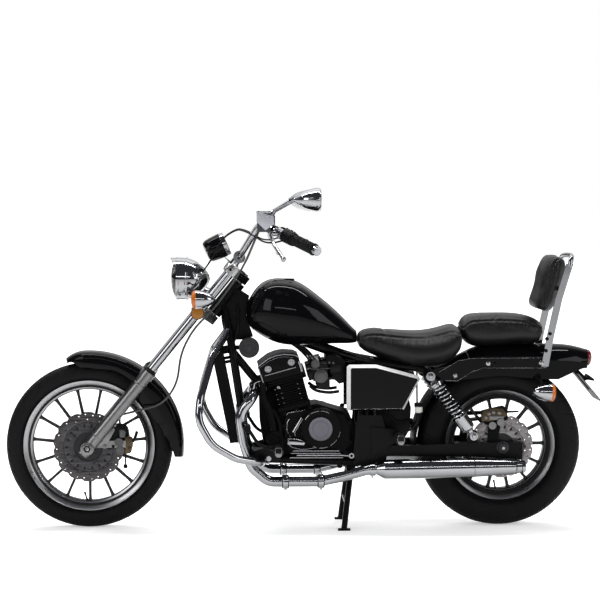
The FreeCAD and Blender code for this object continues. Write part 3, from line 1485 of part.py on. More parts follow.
def rear_axle():
    reach = arm_inner_y + arm_wall
    shapes = [cross_rod(rear_axle_x, rear_axle_z, -rear_axle_half, rear_axle_half, axle_radius)]
    for side, hub_end in ((-1, chain_y + sprocket_wall / 2), (1, rear_disc_y + disc_thickness)):
        shapes.append(rod(V(rear_axle_x, side * (reach + seat_gap), rear_axle_z),
                          V(rear_axle_x, side * rear_axle_half, rear_axle_z),
                          axle_radius + rim_wall))
        shapes.append(rod(V(rear_axle_x, side * (hub_end + seat_gap), rear_axle_z),
                          V(rear_axle_x, side * (arm_inner_y - seat_gap),
                            rear_axle_z), axle_radius + rim_wall))
    save("rear_axle", joined(shapes))


def rear_caliper():
    centre = V(rear_axle_x, 0, rear_axle_z)
    body = caliper(centre, rear_disc_radius, rear_disc_y, rear_caliper_angle)
    low_y = arm_inner_y + seat_gap
    foot_z = centre.z + arm_top + seat_gap
    bracket = [V(centre.x + caliper_height, 0, foot_z), V(centre.x + caliper_height, 0,
                                                          centre.z + rear_disc_radius),
               V(centre.x, 0, centre.z + rear_disc_radius), V(centre.x + axle_radius * 2, 0, foot_z)]
    save("rear_caliper", joined([body, plate_between(bracket, low_y, low_y + flange_wall * 2)]))


def belt(radius_change, front, rear):
    # the outline of a loop round the two sprockets, as arcs and the straight runs that touch them
    front_radius = gearbox_sprocket_radius + radius_change
    rear_radius = sprocket_radius + radius_change
    span = front - rear
    lift = math.asin((rear_radius - front_radius) / span.Length)
    slope = math.atan2(span.z, span.x)
    points = []
    for centre, radius, angles in ((front, front_radius, (90, 45, 0, -45, -90)),
                                   (rear, rear_radius, (270, 225, 180, 135, 90))):
        for angle in angles:
            signed = lift if angle in (90,) else (-lift if angle in (-90, 270) else 0)
            turn = math.radians(angle) + slope + signed
            points.append(V(centre.x + radius * math.cos(turn), 0, centre.z + radius * math.sin(turn)))
    edges = [Part.Arc(points[0], points[2], points[4]).toShape(), Part.makeLine(points[4], points[5]),
             Part.Arc(points[5], points[7], points[9]).toShape(), Part.makeLine(points[9], points[0])]
    return Part.Face(Part.Wire(edges))


def drive_chain():
    rear = V(rear_axle_x, 0, rear_axle_z)
    front = from_rear_axle(gearbox_sprocket_ahead, 0, -pivot_drop / 2)
    ring = belt(chain_half_height, front, rear).cut(belt(-chain_half_height, front, rear))
    loop = ring.translated(V(0, -chain_y - chain_half_width, 0)).extrude(V(0, 2 * chain_half_width, 0))
    save("drive_chain", loop)


def chain_guard():
    rise = chain_half_height + sprocket_radius + chain_clear + flange_wall
    rear_top = from_rear_axle(-sprocket_radius, 0, rise)
    front_x = pivot_x - pivot_tube_radius * 3
    front_low = V(front_x, 0, pivot_z + gearbox_sprocket_radius + chain_half_height + flange_wall)
    ear_x = rear_axle_x + shock_foot_ahead
    thick = V(0, 0, guard_wall * 2)
    deep = V(0, 0, -guard_height / 3)
    outline = [rear_top, rear_top + thick, V(ear_x, 0, rear_top.z) + thick,
               front_low + V(0, 0, guard_height), front_low,
               V(ear_x, 0, rear_top.z) + deep]
    low_y = -arm_inner_y + seat_gap
    shapes = [plate_between(outline, low_y, low_y + guard_wall)]
    front_stay_x = front_x - guard_stay_width
    for x, arm_z, top_z in ((front_stay_x, pivot_z, front_low.z + guard_height / 2),
                            (ear_x, rear_axle_z, rear_top.z)):
        stay = block(V(x, low_y, arm_z), V(x + guard_stay_width, low_y + guard_wall, top_z))
        shapes.append(stay)
    save("chain_guard", joined(shapes))


def shock_absorbers():
    top = from_rear_axle(shock_top_ahead, 0, shock_top_up)
    foot = from_rear_axle(shock_foot_ahead, 0, shock_foot_up)
    axis = foot - top
    length = axis.Length
    axis.normalize()
    solids = []
    for side in (-1, 1):
        y = V(0, side * shock_y, 0)
        profile = []
        pitch = (length - shock_shroud_length - 4 * shock_eye_radius) / shock_coil_count
        across = V(axis.z, 0, -axis.x)
        start = top + y + axis * (shock_eye_radius * 2)
        profile.append(start)
        for coil in range(shock_coil_count):
            for along, out in shock_coil_shares:
                profile.append(start + axis * (pitch * (coil + along)) + across * (shock_coil_radius * out))
        shroud = start + axis * (pitch * shock_coil_count)
        profile.append(shroud + across * shock_body_radius)
        profile.append(shroud)
        springy = spun(profile, start, axis)
        lower = rod(shroud - axis * overrun, shroud + axis * shock_shroud_length, shock_shroud_radius)
        shaft = rod(top + y, foot + y, shock_body_radius)
        shapes = [springy, lower, shaft]
        for eye in (top, foot):
            shapes.append(cross_rod(eye.x, eye.z, side * shock_y - shock_eye_width / 2, side * shock_y
                                    + shock_eye_width / 2,
                                    shock_eye_radius))
        whole = joined(shapes)
        holes = [cross_rod(eye.x, eye.z, side * shock_y - shock_coil_radius, side * shock_y
                           + shock_coil_radius,
                           shock_pin_radius + seat_gap / 2) for eye in (top, foot)]
        solids.append(whole.cut(holes))
    save("shock_absorbers", *solids)


def engine():
    origin = from_neck(crank_back, 0, -crank_drop)
    corners = side_outline(origin, -crank_length, crank_height, crank_shares)
    shapes = [plate_between(corners, -crank_half_width, crank_half_width)]
    inset = clutch_inset_share
    upper = [V(point.x, 0, point.z) for point in side_outline(
        from_neck(crank_back + crank_length * inset / 2, 0, -crank_drop + crank_height * inset),
        -crank_length * (1 - inset), crank_height * (1 - inset * clutch_height_share), crank_shares)]
    shapes.append(plate_between(upper, -crank_half_width - clutch_wall, crank_half_width + clutch_wall))
    centre = from_neck(round_cover_back, 0, -round_cover_drop)
    reach = crank_half_width + clutch_wall
    for side in (-1, 1):
        shapes.append(cross_rod(centre.x, centre.z,
                                min(side * crank_half_width, side * (reach + round_cover_depth)),
                                max(side * crank_half_width,
                                    side * (reach + round_cover_depth)), round_cover_radius))
        shapes.append(cross_rod(centre.x, centre.z,
                                min(0, side * (reach + round_cover_depth + round_badge_depth)),
                                max(0, side * (reach + round_cover_depth
                                               + round_badge_depth)), round_badge_radius))
    corner = frame_path_points(1)[2]
    lug_x = corner.x - frame_tube_radius
    lug_z = corner.z + frame_tube_radius / 2
    lug = block(V(origin.x - crank_length * clutch_inset_share, -barrel_half_width / 2,
                  lug_z - frame_tube_radius),
                V(lug_x, barrel_half_width / 2, lug_z + frame_tube_radius))
    shapes.append(lug.cut(cross_rod(lug_x, lug_z, -crank_half_width, crank_half_width, frame_tube_radius
                                    + seat_gap)))
    whole = joined(shapes)
    front_sprocket = from_rear_axle(gearbox_sprocket_ahead, 0, -pivot_drop / 2)
    pocket = cross_rod(front_sprocket.x, front_sprocket.z, -reach - round_cover_depth,
                       -chain_y + chain_half_width + flange_wall,
                       gearbox_sprocket_radius + chain_half_height + overrun)
    reach_out = gearbox_sprocket_radius + chain_half_height + overrun
    tail_pocket = block(V(front_sprocket.x - crank_length, -reach - overrun, origin.z - overrun),
                        V(front_sprocket.x + reach_out, -chain_y + chain_half_width + flange_wall,
                          front_sprocket.z + reach_out + overrun))
    sprocket = cross_rod(front_sprocket.x, front_sprocket.z, -chain_y - sprocket_wall / 2,
                         -chain_y + sprocket_wall / 2,
                         gearbox_sprocket_radius - chain_half_height - seat_gap)
    shaft = cross_rod(front_sprocket.x, front_sprocket.z, -chain_y - chain_half_width, 0, axle_radius * 2)
    save("crankcase", joined([whole.cut([pocket, tail_pocket]), sprocket, shaft]))

    def leaned(shape):
        turn = FreeCAD.Rotation(V(0, 1, 0), engine_lean)
        return shape.transformed(FreeCAD.Placement(from_neck(barrel_back, 0, -barrel_drop), turn).toMatrix())

    base = barrel_base_drop
    shapes = [block(V(-barrel_length / 2, -barrel_half_width, base), V(barrel_length / 2, barrel_half_width,
                                                            barrel_height + overrun)),
              block(V(-head_length / 2, -head_half_width, barrel_height),
                    V(head_length / 2, head_half_width, barrel_height + head_height))]
    pitch = (barrel_height + head_height) / fin_count
    for number in range(fin_count):
        z = pitch * (number + 0.5)
        length = barrel_length if z < barrel_height else head_length
        half = barrel_half_width if z < barrel_height else head_half_width
        shapes.append(block(V(-length / 2 - fin_reach, -half - fin_reach, z),
                            V(length / 2 + fin_reach, half + fin_reach, z + fin_wall)))
    top = barrel_height + head_height
    profile = [V(head_length * along, 0, top + head_cover_height * up) for along, up in head_cover_shares]
    shapes.append(plate_between(profile, -head_half_width, head_half_width))
    cylinders = leaned(joined(shapes))
    cylinders = cylinders.cut(plate_between(corners, -crank_half_width * 2, crank_half_width * 2))
    cylinders = cylinders.cut(plate_between(upper, -crank_half_width * 2, crank_half_width * 2))
    save("cylinders", cylinders)
    carbs = []
    carb_z = barrel_height + head_height * carb_level_share
    bowl_down, bowl_up = carb_bowl_shares
    for side in (-1, 1):
        mouth = V(-head_length / 2 - fin_reach, side * carb_y, carb_z)
        back = V(-head_length / 2 - fin_reach - carb_length, side * carb_y, carb_z)
        start = leaned(rod(mouth + V(-seat_gap, 0, 0), back, carb_radius))
        bowl_at = V(-head_length / 2 - fin_reach - carb_length / 2, side * carb_y, carb_z)
        bowl = leaned(rod(bowl_at - V(0, 0, carb_bowl_height * bowl_down),
                          bowl_at + V(0, 0, carb_bowl_height * bowl_up),
                          carb_bowl_radius))
        carbs.append(joined([start, bowl]))
    save("carburettors", *carbs)


def radiator_matrix():
    turn = FreeCAD.Rotation(V(0, 1, 0), radiator_lean)
    return FreeCAD.Placement(from_neck(-radiator_ahead, 0, -radiator_drop), turn)


def radiator():
    half = radiator_wall / 2
    core = block(V(-half * radiator_core_share, -radiator_half_width, -radiator_height),
                 V(half * radiator_core_share, radiator_half_width, 0))
    shapes = [core]
    for low in (-radiator_height, -radiator_tank):
        shapes.append(block(V(-half, -radiator_half_width, low),
                            V(half, radiator_half_width, low + radiator_tank)))
    for side in (-1, 1):
        y = side * radiator_half_width
        shapes.append(block(V(-half, min(y, y + side * radiator_stay), -radiator_height),
                            V(half, max(y, y + side * radiator_stay), 0)))
        for share in radiator_pin_shares:
            z = -radiator_height * share
            shapes.append(rod(V(0, side * down_half_width, z), V(-2 * radiator_wall, side * down_half_width,
                                                            z), radiator_pin))
    placed = joined(shapes).transformed(radiator_matrix().toMatrix())
    behind = [down_tube(side, seat_gap) for side in (-1, 1)]
    save("radiator", max(placed.cut(behind).Solids, key=lambda solid: solid.Volume))


def coolant_hose():
    # from the back of the radiator's top tank down to the front of the cylinder head
    start = radiator_matrix().multVec(V(-radiator_wall / 2 - seat_gap, hose_y, -radiator_tank / 2))
    away = radiator_matrix().multVec(V(-radiator_wall / 2 - seat_gap - hose_radius * 2, hose_y,
                                       -radiator_tank / 2))
    turn = FreeCAD.Rotation(V(0, 1, 0), engine_lean)
    base = from_neck(barrel_back, 0, -barrel_drop)
    height = barrel_height + head_height * coolant_level_share
    end = base + turn.multVec(V(head_length / 2 + fin_reach + seat_gap, hose_y, height))
    before = base + turn.multVec(V(head_length / 2 + fin_reach + seat_gap + hose_radius * 2, hose_y, height))
    print_radii("coolant_hose", [start, away, before, end])
    save("coolant_hose", pipe([start, away, before, end], hose_radius))


def exhausts():
    pipes = []
    mufflers = []
    start = from_neck(header_back, 0, -header_drop)
    turn = FreeCAD.Rotation(V(0, 1, 0), engine_lean)
    base = from_neck(barrel_back, 0, -barrel_drop)
    for side in (-1, 1):
        head_port = V(head_length / 2 + fin_reach + seat_gap, side * header_port_y, barrel_height
                      + head_height * header_port_share)
        port = base + turn.multVec(head_port)
        out = base + turn.multVec(head_port + V(header_radius * header_run_share, 0, 0))
        path = [port, out] + [V(start.x - header_length * along, side * header_y * across,
                                start.z + header_height * up)
                              for along, across, up in header_shares]
        muffler_start = from_rear_axle(muffler_ahead, side * muffler_y, -muffler_drop)
        muffler_end = muffler_start + V(-muffler_length, 0, muffler_rise)
        axis = muffler_end - muffler_start
        axis.normalize()
        pipes.append(pipe(path + [muffler_start - axis * seat_gap], header_radius, header_bend))
        profile = [muffler_start] + [muffler_start + axis * (muffler_length * along)
                                     + V(0, 0, muffler_radius * out)
                                     for along, out in muffler_shares]
        bore = muffler_radius * muffler_bore_share
        profile.append(muffler_end + V(0, 0, bore))
        profile.append(muffler_end - axis * muffler_radius * 2 + V(0, 0, bore))
        profile.append(muffler_end - axis * muffler_radius * 2)
        can = spun(profile, muffler_start, axis)
        inner = side * (pivot_plate_y + pivot_plate_wall + seat_gap)
        lug = V(pivot_x - pivot_plate_half_length / 2, inner, muffler_start.z + muffler_stay_radius)
        foot = rod(lug, lug + V(0, side * muffler_stay_wall, 0), muffler_stay_width / 2)
        arm = rod(lug, V(lug.x, side * muffler_y, lug.z), muffler_stay_radius)
        mufflers.append(joined([can, foot, arm]))
    save("exhaust_pipes", *pipes)
    save("mufflers", *mufflers)


def crash_bars():
    bars = []
    for side in (-1, 1):
        origin = from_neck(-guard_ahead, 0, -guard_top_drop)
        points = [origin + V(-guard_back * a, side * guard_spread * b, -guard_drop * c) for a, b,
                  c in guard_shares]
        foot_y = cradle_half_width + frame_tube_radius + 2 * seat_gap + peg_stay_wall
        points.append(V(points[-1].x, side * foot_y, points[-1].z))
        bar = pipe(points, guard_radius, guard_bend).cut(down_tube(side, seat_gap))
        bars.append(max(bar.Solids, key=lambda solid: solid.Volume))
    save("crash_bars", *bars)


def footrests():
    solids = []
    peg = from_neck(peg_back, 0, -peg_drop)
    boss = peg_radius * peg_boss_share
    corner = frame_path_points(1)[2]
    wide, high = peg_pad_shares
    for side in (-1, 1):
        inner = side * (cradle_half_width + frame_tube_radius + seat_gap)
        wall = side * peg_stay_wall
        stay = plate_between([V(corner.x - frame_tube_radius, 0, corner.z - frame_tube_radius),
                              V(corner.x - frame_tube_radius, 0, corner.z + frame_tube_radius * 2),
                              V(peg.x - boss, 0, peg.z + boss),
                              V(peg.x - boss, 0, peg.z - boss),
                              V(peg.x, 0, corner.z - frame_tube_radius)], min(inner,
                                                            inner + wall), max(inner, inner + wall))
        rest = cross_rod(peg.x, peg.z, min(inner, side * peg_outer_y), max(inner, side * peg_outer_y),
                         peg_radius)
        pad = block(V(peg.x - peg_radius * wide, min(side * peg_inner_y, side * peg_outer_y), peg.z),
                    V(peg.x + peg_radius * wide, max(side * peg_inner_y, side * peg_outer_y),
                      peg.z + peg_radius * high))
        pivot = V(peg.x, side * pedal_y, peg.z)
        knee = V(peg.x + pedal_reach * pedal_knee_shares[0], pivot.y,
                 peg.z + pedal_rise * pedal_knee_shares[1])
        tip = V(peg.x + pedal_reach, pivot.y, peg.z + pedal_rise)
        arm = pipe([pivot, knee, tip], pedal_radius)
        tread = cross_rod(tip.x, tip.z, pivot.y - pedal_pad_width / 2, pivot.y + pedal_pad_width / 2,
                          pedal_pad_length / 3)
        solids.append(joined([stay, rest, pad, arm, tread]))
    rear_peg = from_rear_axle(rear_peg_ahead, 0, rear_peg_up)
    for side in (-1, 1):
        inner = side * (pivot_plate_y + pivot_plate_wall + seat_gap)
        wall = side * peg_stay_wall
        hanger = plate_between([V(pivot_x, 0, pivot_z - peg_radius),
                                V(pivot_x, 0, pivot_z + pivot_plate_height * rear_peg_hanger_share),
                                V(rear_peg.x, 0, rear_peg.z + boss), V(rear_peg.x - peg_radius, 0,
                                                            rear_peg.z),
                                V(rear_peg.x, 0, rear_peg.z - boss)], min(inner, inner + wall), max(inner,
                                                            inner + wall))
        rest = cross_rod(rear_peg.x, rear_peg.z, min(inner, side * rear_peg_outer_y),
                         max(inner, side * rear_peg_outer_y), peg_radius)
        solids.append(joined([hanger, rest]))
    save("footrests", *solids)


def horn():
    at = from_neck(horn_back, 0, -horn_drop)
    trumpet = cross_rod(at.x, at.z, horn_y, horn_y + horn_depth / 2, horn_radius)
    motor = cross_rod(at.x, at.z, horn_y - horn_depth / 2, horn_y, horn_radius * horn_motor_share)
    shoulder = frame_path_points(1)[1]
    half = V(0, 0, horn_stay_width / 2)
    stay = plate_between([at - half, V(shoulder.x, 0, at.z) - half, V(shoulder.x, 0, at.z) + half,
                          at + half],
                         horn_y, horn_y + flange_wall)
    stay = stay.cut(down_tube(1, seat_gap))
    keep = min(stay.Solids, key=lambda solid: solid.BoundBox.XMin)
    save("horn", joined([trumpet, motor, keep]))


def brake_reservoir():
    at = from_rear_axle(reservoir_ahead, reservoir_y, reservoir_up)
    pot = rod(at, at + V(0, 0, reservoir_height), reservoir_radius)
    outer = seat_rail_half_width + frame_tube_radius + seat_gap
    half = reservoir_stay_half_width
    wall = reservoir_stay_wall
    strip = block(V(at.x - half, outer, at.z),
                  V(at.x + half, outer + wall, rear_axle_z + seat_rail_up - seat_rail_fall))
    tab = block(V(at.x - half, outer, at.z), V(at.x + half, reservoir_y, at.z + wall))
    save("brake_reservoir", joined([pot, strip, tab]))


def rear_brake_hose():
    # from the reservoir down to the pivot plate, where the pedal's cylinder sits
    at = from_rear_axle(reservoir_ahead, reservoir_y, reservoir_up - seat_gap)
    plate_edge = V(pivot_x - pivot_plate_half_length - brake_hose_radius * 2, pivot_plate_y
                   + pivot_plate_wall / 2,
                   pivot_z + pivot_plate_height / 3)
    low = V(at.x, at.y, plate_edge.z + reservoir_height)
    near = V(plate_edge.x - reservoir_height * rear_hose_share, plate_edge.y, plate_edge.z)
    end = plate_edge + V(reservoir_height, 0, 0)
    print_radii("rear_brake_hose", [at, low, near, end])
    hose = pipe([at, low, near, end], brake_hose_radius)
    plates = block(V(plate_edge.x - seat_gap, 0, pivot_z),
                   V(pivot_x, 2 * pivot_plate_y, pivot_z + pivot_plate_height))
    save("rear_brake_hose", hose.cut(plates))


def centre_stand():
    pivot = from_rear_axle(centre_pivot_ahead, 0, centre_pivot_up)
    shapes = [cross_rod(pivot.x, pivot.z, -centre_pivot_y - stand_radius, centre_pivot_y + stand_radius,
                        stand_radius * stand_pivot_share)]
    for side in (-1, 1):
        foot = V(pivot.x + centre_foot_forward, side * centre_foot_y, centre_foot_wall)
        head = V(pivot.x, side * centre_pivot_y, pivot.z)
        shapes.append(rod(head, foot, stand_radius))
        shapes.append(block(V(foot.x - centre_foot_length / 2, foot.y - stand_radius, 0),
                            V(foot.x + centre_foot_length / 2, foot.y + stand_radius, centre_foot_wall)))
    brace_y = centre_pivot_y + (centre_foot_y - centre_pivot_y) * stand_brace_share
    shapes.append(cross_rod(pivot.x + centre_foot_forward * stand_brace_share,
                            pivot.z * (1 - stand_brace_share),
                            -brace_y, brace_y, stand_radius * stand_brace_radius_share))
    whole = joined(shapes)
    below = block(V(pivot.x - tank_length, -centre_foot_y * 2, -tank_length),
                  V(pivot.x + tank_length, centre_foot_y * 2, 0))
    pin = cross_rod(pivot.x, pivot.z, -centre_foot_y * 2, centre_foot_y * 2, axle_radius + pin_gap)
    save("centre_stand", whole.cut([below, pin]))


def stand_lugs():
    # the frame's brackets and pins that the two stands turn on
    pivot = from_rear_axle(centre_pivot_ahead, 0, centre_pivot_up)
    heel = frame_path_points(1)[3]
    lugs = []
    reach = centre_pivot_y + stand_radius + stand_side_gap
    half = stand_radius * stand_lug_share
    for side in (-1, 1):
        low = side * reach
        high = side * (reach + flange_wall)
        corners = [V(pivot.x - half, 0, pivot.z - stand_radius),
                   V(pivot.x + half, 0, pivot.z - stand_radius),
                   V(pivot.x + half, 0, heel.z), V(pivot.x - half, 0, heel.z)]
        lugs.append(plate_between(corners, min(low, high), max(low, high)))
    lugs.append(cross_rod(pivot.x, pivot.z, -reach - flange_wall, reach + flange_wall, axle_radius))
    at = side_stand_pivot()
    rail_z = at.z + side_pivot_below + frame_tube_radius
    bracket = [V(at.x - side_leg_wall, 0, at.z - side_leg_wall / 2),
               V(at.x + side_leg_wall, 0, at.z - side_leg_wall / 2),
               V(at.x + side_leg_wall, 0, rail_z), V(at.x - side_leg_wall, 0, rail_z)]
    outer = -cradle_half_width - frame_tube_radius + seat_gap
    lugs.append(plate_between(bracket, outer, outer + flange_wall * 2))
    lugs.append(cross_rod(at.x, at.z, -side_pivot_y - side_leg_wall / 2 - flange_wall, outer + flange_wall,
                          side_pin_radius))
    return lugs


def side_stand_pivot():
    corner = frame_path_points(-1)[2]
    return V(neck_x - side_pivot_back, -side_pivot_y, corner.z - frame_tube_radius - side_pivot_below)


def side_stand():
    at = side_stand_pivot()
    dip = math.radians(side_leg_dip)
    tip = at + V(-side_leg_length * math.cos(dip), 0, -side_leg_length * math.sin(dip))
    eye = cross_rod(at.x, at.z, -side_pivot_y - side_leg_wall / 2, -side_pivot_y + side_leg_wall / 2,
                    side_leg_wall)
    leg = rod(at, tip, side_leg_wall / 2)
    foot = rod(tip, tip + V(-flange_wall, 0, 0), side_leg_wall * side_foot_share)
    whole = joined([eye, leg, foot])
    pin = cross_rod(at.x, at.z, -side_pivot_y - side_leg_wall, -side_pivot_y + side_leg_wall,
                    side_pin_radius + pin_gap)
    save("side_stand", whole.cut(pin))


def front_brake_hose():
    # held at both ends by the steering: from the master cylinder down behind the leg to the front caliper
    perch = along_bar(1, grip_length + switch_length + rim_wall + perch_length / 2)
    start = perch + V(master_ahead + master_length * hose_start_share, -master_width / 2 - 2 * seat_gap,
                      bar_radius * 2)
    route = [start, start + V(0, -master_width / 2, 0)]
    route += [fork_point(back, y, up) for back, y, up in hose_route]
    turn = math.radians(front_caliper_angle)
    radial = V(math.cos(turn), 0, math.sin(turn))
    upward = V(math.sin(turn), 0, -math.cos(turn))
    end = V(front_axle_x, front_disc_y + caliper_edge, front_axle_z) + radial * front_disc_radius
    end += upward * (caliper_length / 2 + seat_gap)
    route += [end + upward * caliper_height, end]
    print_radii("front_brake_hose", route)
    save("front_brake_hose", pipe(route, brake_hose_radius))


def switch_leads():
    leads = []
    lamp = lamp_centre()
    back, out = lead_end_shares
    for side in (-1, 1):
        start = along_bar(side, grip_length + switch_length / 4)
        end = V(lamp.x - lamp_depth * back, side * lamp_radius * out, lamp.z)
        middle = [V(front_axle_x - back, side * y, up) for back, y, up in lead_route]
        route = [start] + middle + [end]
        print_radii("switch_lead", route)
        lead = pipe(route, cable_radius)
        housing = rod(along_bar(side, grip_length), along_bar(side, grip_length + switch_length
                                                            + seat_gap * 2),
                      switch_radius + seat_gap)
        cut = lead.cut([housing, lamp_bullet(-seat_gap)])
        leads.append(max(cut.Solids, key=lambda solid: solid.Volume))
    save("switch_leads", *leads)


front_wheel()
rear_wheel()
front_caliper_and_sliders(fork())
front_axle()
yokes()
front_fender()
headlight()
front_signals()
speedometer()
handlebar()
grips()
hand_controls()
mirrors()
front_brake_hose()
switch_leads()
frame()
fuel_tank()
seats()
rear_fender()
side_plates()
tail_lamp()
plate_holder()
rear_signals()
backrest()
swingarm()
rear_axle()
rear_caliper()
drive_chain()
chain_guard()
shock_absorbers()
engine()
radiator()
coolant_hose()
exhausts()
crash_bars()
footrests()
horn()
brake_reservoir()
rear_brake_hose()
centre_stand()
side_stand()
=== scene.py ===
import bpy
import bmesh
import json
import random
from math import copysign, cos, exp, pi, radians, sin, sqrt
from mathutils import Matrix, Vector


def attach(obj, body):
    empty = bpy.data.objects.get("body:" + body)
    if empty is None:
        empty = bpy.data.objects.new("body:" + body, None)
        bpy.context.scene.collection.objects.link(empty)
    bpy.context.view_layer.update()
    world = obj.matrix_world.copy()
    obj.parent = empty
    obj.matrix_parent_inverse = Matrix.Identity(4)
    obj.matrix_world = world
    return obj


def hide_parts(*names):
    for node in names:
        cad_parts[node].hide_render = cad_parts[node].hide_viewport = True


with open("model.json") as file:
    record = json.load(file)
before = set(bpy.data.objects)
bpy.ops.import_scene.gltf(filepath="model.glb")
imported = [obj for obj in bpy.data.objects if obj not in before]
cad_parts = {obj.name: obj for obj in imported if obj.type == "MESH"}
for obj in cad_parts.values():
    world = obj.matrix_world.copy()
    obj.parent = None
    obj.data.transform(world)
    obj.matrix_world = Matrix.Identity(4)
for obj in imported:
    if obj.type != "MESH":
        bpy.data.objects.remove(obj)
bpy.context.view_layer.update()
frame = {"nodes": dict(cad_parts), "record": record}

nodes = frame["nodes"]
scene = bpy.context.scene
scene.view_settings.view_transform = "Standard"
random.seed(7)

# The studio: a pale floor that keeps the shadow and a white surround, lit by wide soft boxes overhead, at both
# ends and on the far side, and by two narrow strips. Behind the camera and low down it is a dim room.
# The camera stands where the photograph was taken, slightly ahead of the middle and above the seat.
camera_place = Vector((0.248, 6.5, 1.2028))
camera_yaw = radians(2.0577)
camera_pitch = radians(5.0794)
camera_focus_px = 1743.83
frame_px = 600


def plane(place, x_way, y_way, z_way):
    # carries an own x, y and z onto the three directions, with its middle at the place
    return Matrix.Translation(place) @ Matrix((x_way, y_way, z_way)).transposed().to_4x4()


camera_data = bpy.data.cameras.new("camera")
camera = bpy.data.objects.new("camera", camera_data)
scene.collection.objects.link(camera)
ahead = Vector((-sin(camera_yaw) * cos(camera_pitch), -cos(camera_yaw) * cos(camera_pitch), -sin(camera_pitch)))
right = Vector((-cos(camera_yaw), sin(camera_yaw), 0))
upward = right.cross(ahead)
camera.matrix_world = plane(camera_place, right, upward, -ahead)
camera_data.sensor_width = 36
camera_data.lens = camera_focus_px / frame_px * 36
camera_data.shift_y = 0.1
scene.camera = camera

world = bpy.data.worlds.new("studio")
scene.world = world
world.use_nodes = True
sky = world.node_tree
sky.nodes.clear()


def put(tree, kind, operation=None, **values):
    # one shader node with its settings; an underscore in a name stands for a space
    made = tree.nodes.new(kind)
    if operation:
        made.operation = operation
    for label, value in values.items():
        made.inputs[label.replace("_", " ")].default_value = value
    return made


def join(tree, source, target, *place):
    # the source is a node or one of its outputs; the target is a node and the name or number of its input
    output = source if isinstance(source, bpy.types.NodeSocket) else source.outputs[0]
    tree.links.new(output, target.inputs[place[0] if place else 0])


def seen_ray(tree):
    # one where the ray comes from the camera, or from glossy or clear surfaces
    path = put(tree, "ShaderNodeLightPath")
    first = put(tree, "ShaderNodeMath", "MAXIMUM")
    second = put(tree, "ShaderNodeMath", "MAXIMUM")
    join(tree, path.outputs["Is Camera Ray"], first)
    join(tree, path.outputs["Is Glossy Ray"], first, 1)
    join(tree, first, second)
    join(tree, path.outputs["Is Transmission Ray"], second, 1)
    return second


# only polished metal sees the dim room, as the dark core of its reflections
sky_out = put(sky, "ShaderNodeOutputWorld")
sky_seen = put(sky, "ShaderNodeBackground")
sky_light = put(sky, "ShaderNodeBackground", Color=(1, 1, 1, 1), Strength=0.55)
sky_mix = put(sky, "ShaderNodeMixShader")
sky_way = put(sky, "ShaderNodeTexCoord")
sky_parts = put(sky, "ShaderNodeSeparateXYZ")
room_side = put(sky, "ShaderNodeMapRange", From_Min=-0.75, From_Max=-0.05)
room_low = put(sky, "ShaderNodeMapRange", From_Min=0.3, From_Max=0.08)
room_side.interpolation_type = room_low.interpolation_type = "SMOOTHSTEP"
room_both = put(sky, "ShaderNodeMath", "MAXIMUM")
room_dim = put(sky, "ShaderNodeMath", "MULTIPLY")
room_colour = put(sky, "ShaderNodeMix")
room_colour.data_type = "RGBA"
room_colour.inputs["A"].default_value = (1, 1, 1, 1)
room_colour.inputs["B"].default_value = (0.055, 0.055, 0.065, 1)
sky_path = put(sky, "ShaderNodeLightPath")
join(sky, sky_way.outputs["Generated"], sky_parts)
join(sky, sky_parts.outputs["Y"], room_side, "Value")
join(sky, sky_parts.outputs["Z"], room_low, "Value")
join(sky, room_side, room_both)
join(sky, room_low, room_both, 1)
join(sky, room_both, room_dim)
join(sky, sky_path.outputs["Is Glossy Ray"], room_dim, 1)
join(sky, room_dim, room_colour, "Factor")
join(sky, room_colour.outputs["Result"], sky_seen, "Color")
join(sky, seen_ray(sky), sky_mix)
join(sky, sky_light, sky_mix, 1)
join(sky, sky_seen, sky_mix, 2)
join(sky, sky_mix, sky_out, "Surface")

for name, place, aim, size, power in (
        ("soft box overhead", (0.3, -1.5, 3.4), (0, 0.1, 0.5), (3.8, 1.5), 98),
        ("veiled box overhead", (0.3, -1.45, 3.32), (0, 0.1, 0.5), (3.7, 1.45), 12),
        ("soft box front", (3.4, 2.8, 2.2), (0.2, 0, 0.6), (1.6, 2.2), 34),
        ("soft box rear", (-3.4, 2.4, 2.0), (-0.4, 0, 0.5), (1.4, 2.0), 26),
        ("soft box far side", (-0.3, -3.6, 2.6), (0, 0, 0.5), (2.6, 1.6), 36),
        ("strip above", (0, -0.2, 3.1), (0, 0, 0.6), (4.2, 0.16), 46),
        ("strip at the side", (0, 4.2, 2.0), (0, 0, 0.6), (4.6, 0.14), 16)):
    lamp = bpy.data.lights.new(name, "AREA")
    lamp.shape = "RECTANGLE"
    lamp.size, lamp.size_y = size
    lamp.energy = power
    holder = bpy.data.objects.new(name, lamp)
    scene.collection.objects.link(holder)
    holder.location = place
    holder.rotation_euler = (Vector(aim) - Vector(place)).to_track_quat("-Z", "Y").to_euler()
    # the two wide lamps behind the machine light it but don't burn out its chrome
    holder.visible_glossy = name not in ("soft box overhead", "soft box far side")

floor_mesh = bpy.data.meshes.new("floor")
floor_reach = 30
floor_mesh.from_pydata([(-floor_reach, -floor_reach, 0), (floor_reach, -floor_reach, 0),
                        (floor_reach, floor_reach, 0), (-floor_reach, floor_reach, 0)], [], [(0, 1, 2, 3)])
floor = bpy.data.objects.new("floor", floor_mesh)
scene.collection.objects.link(floor)
floor_paint = bpy.data.materials.new("pale floor")
floor_paint.use_nodes = True
tree = floor_paint.node_tree
tree.nodes.clear()
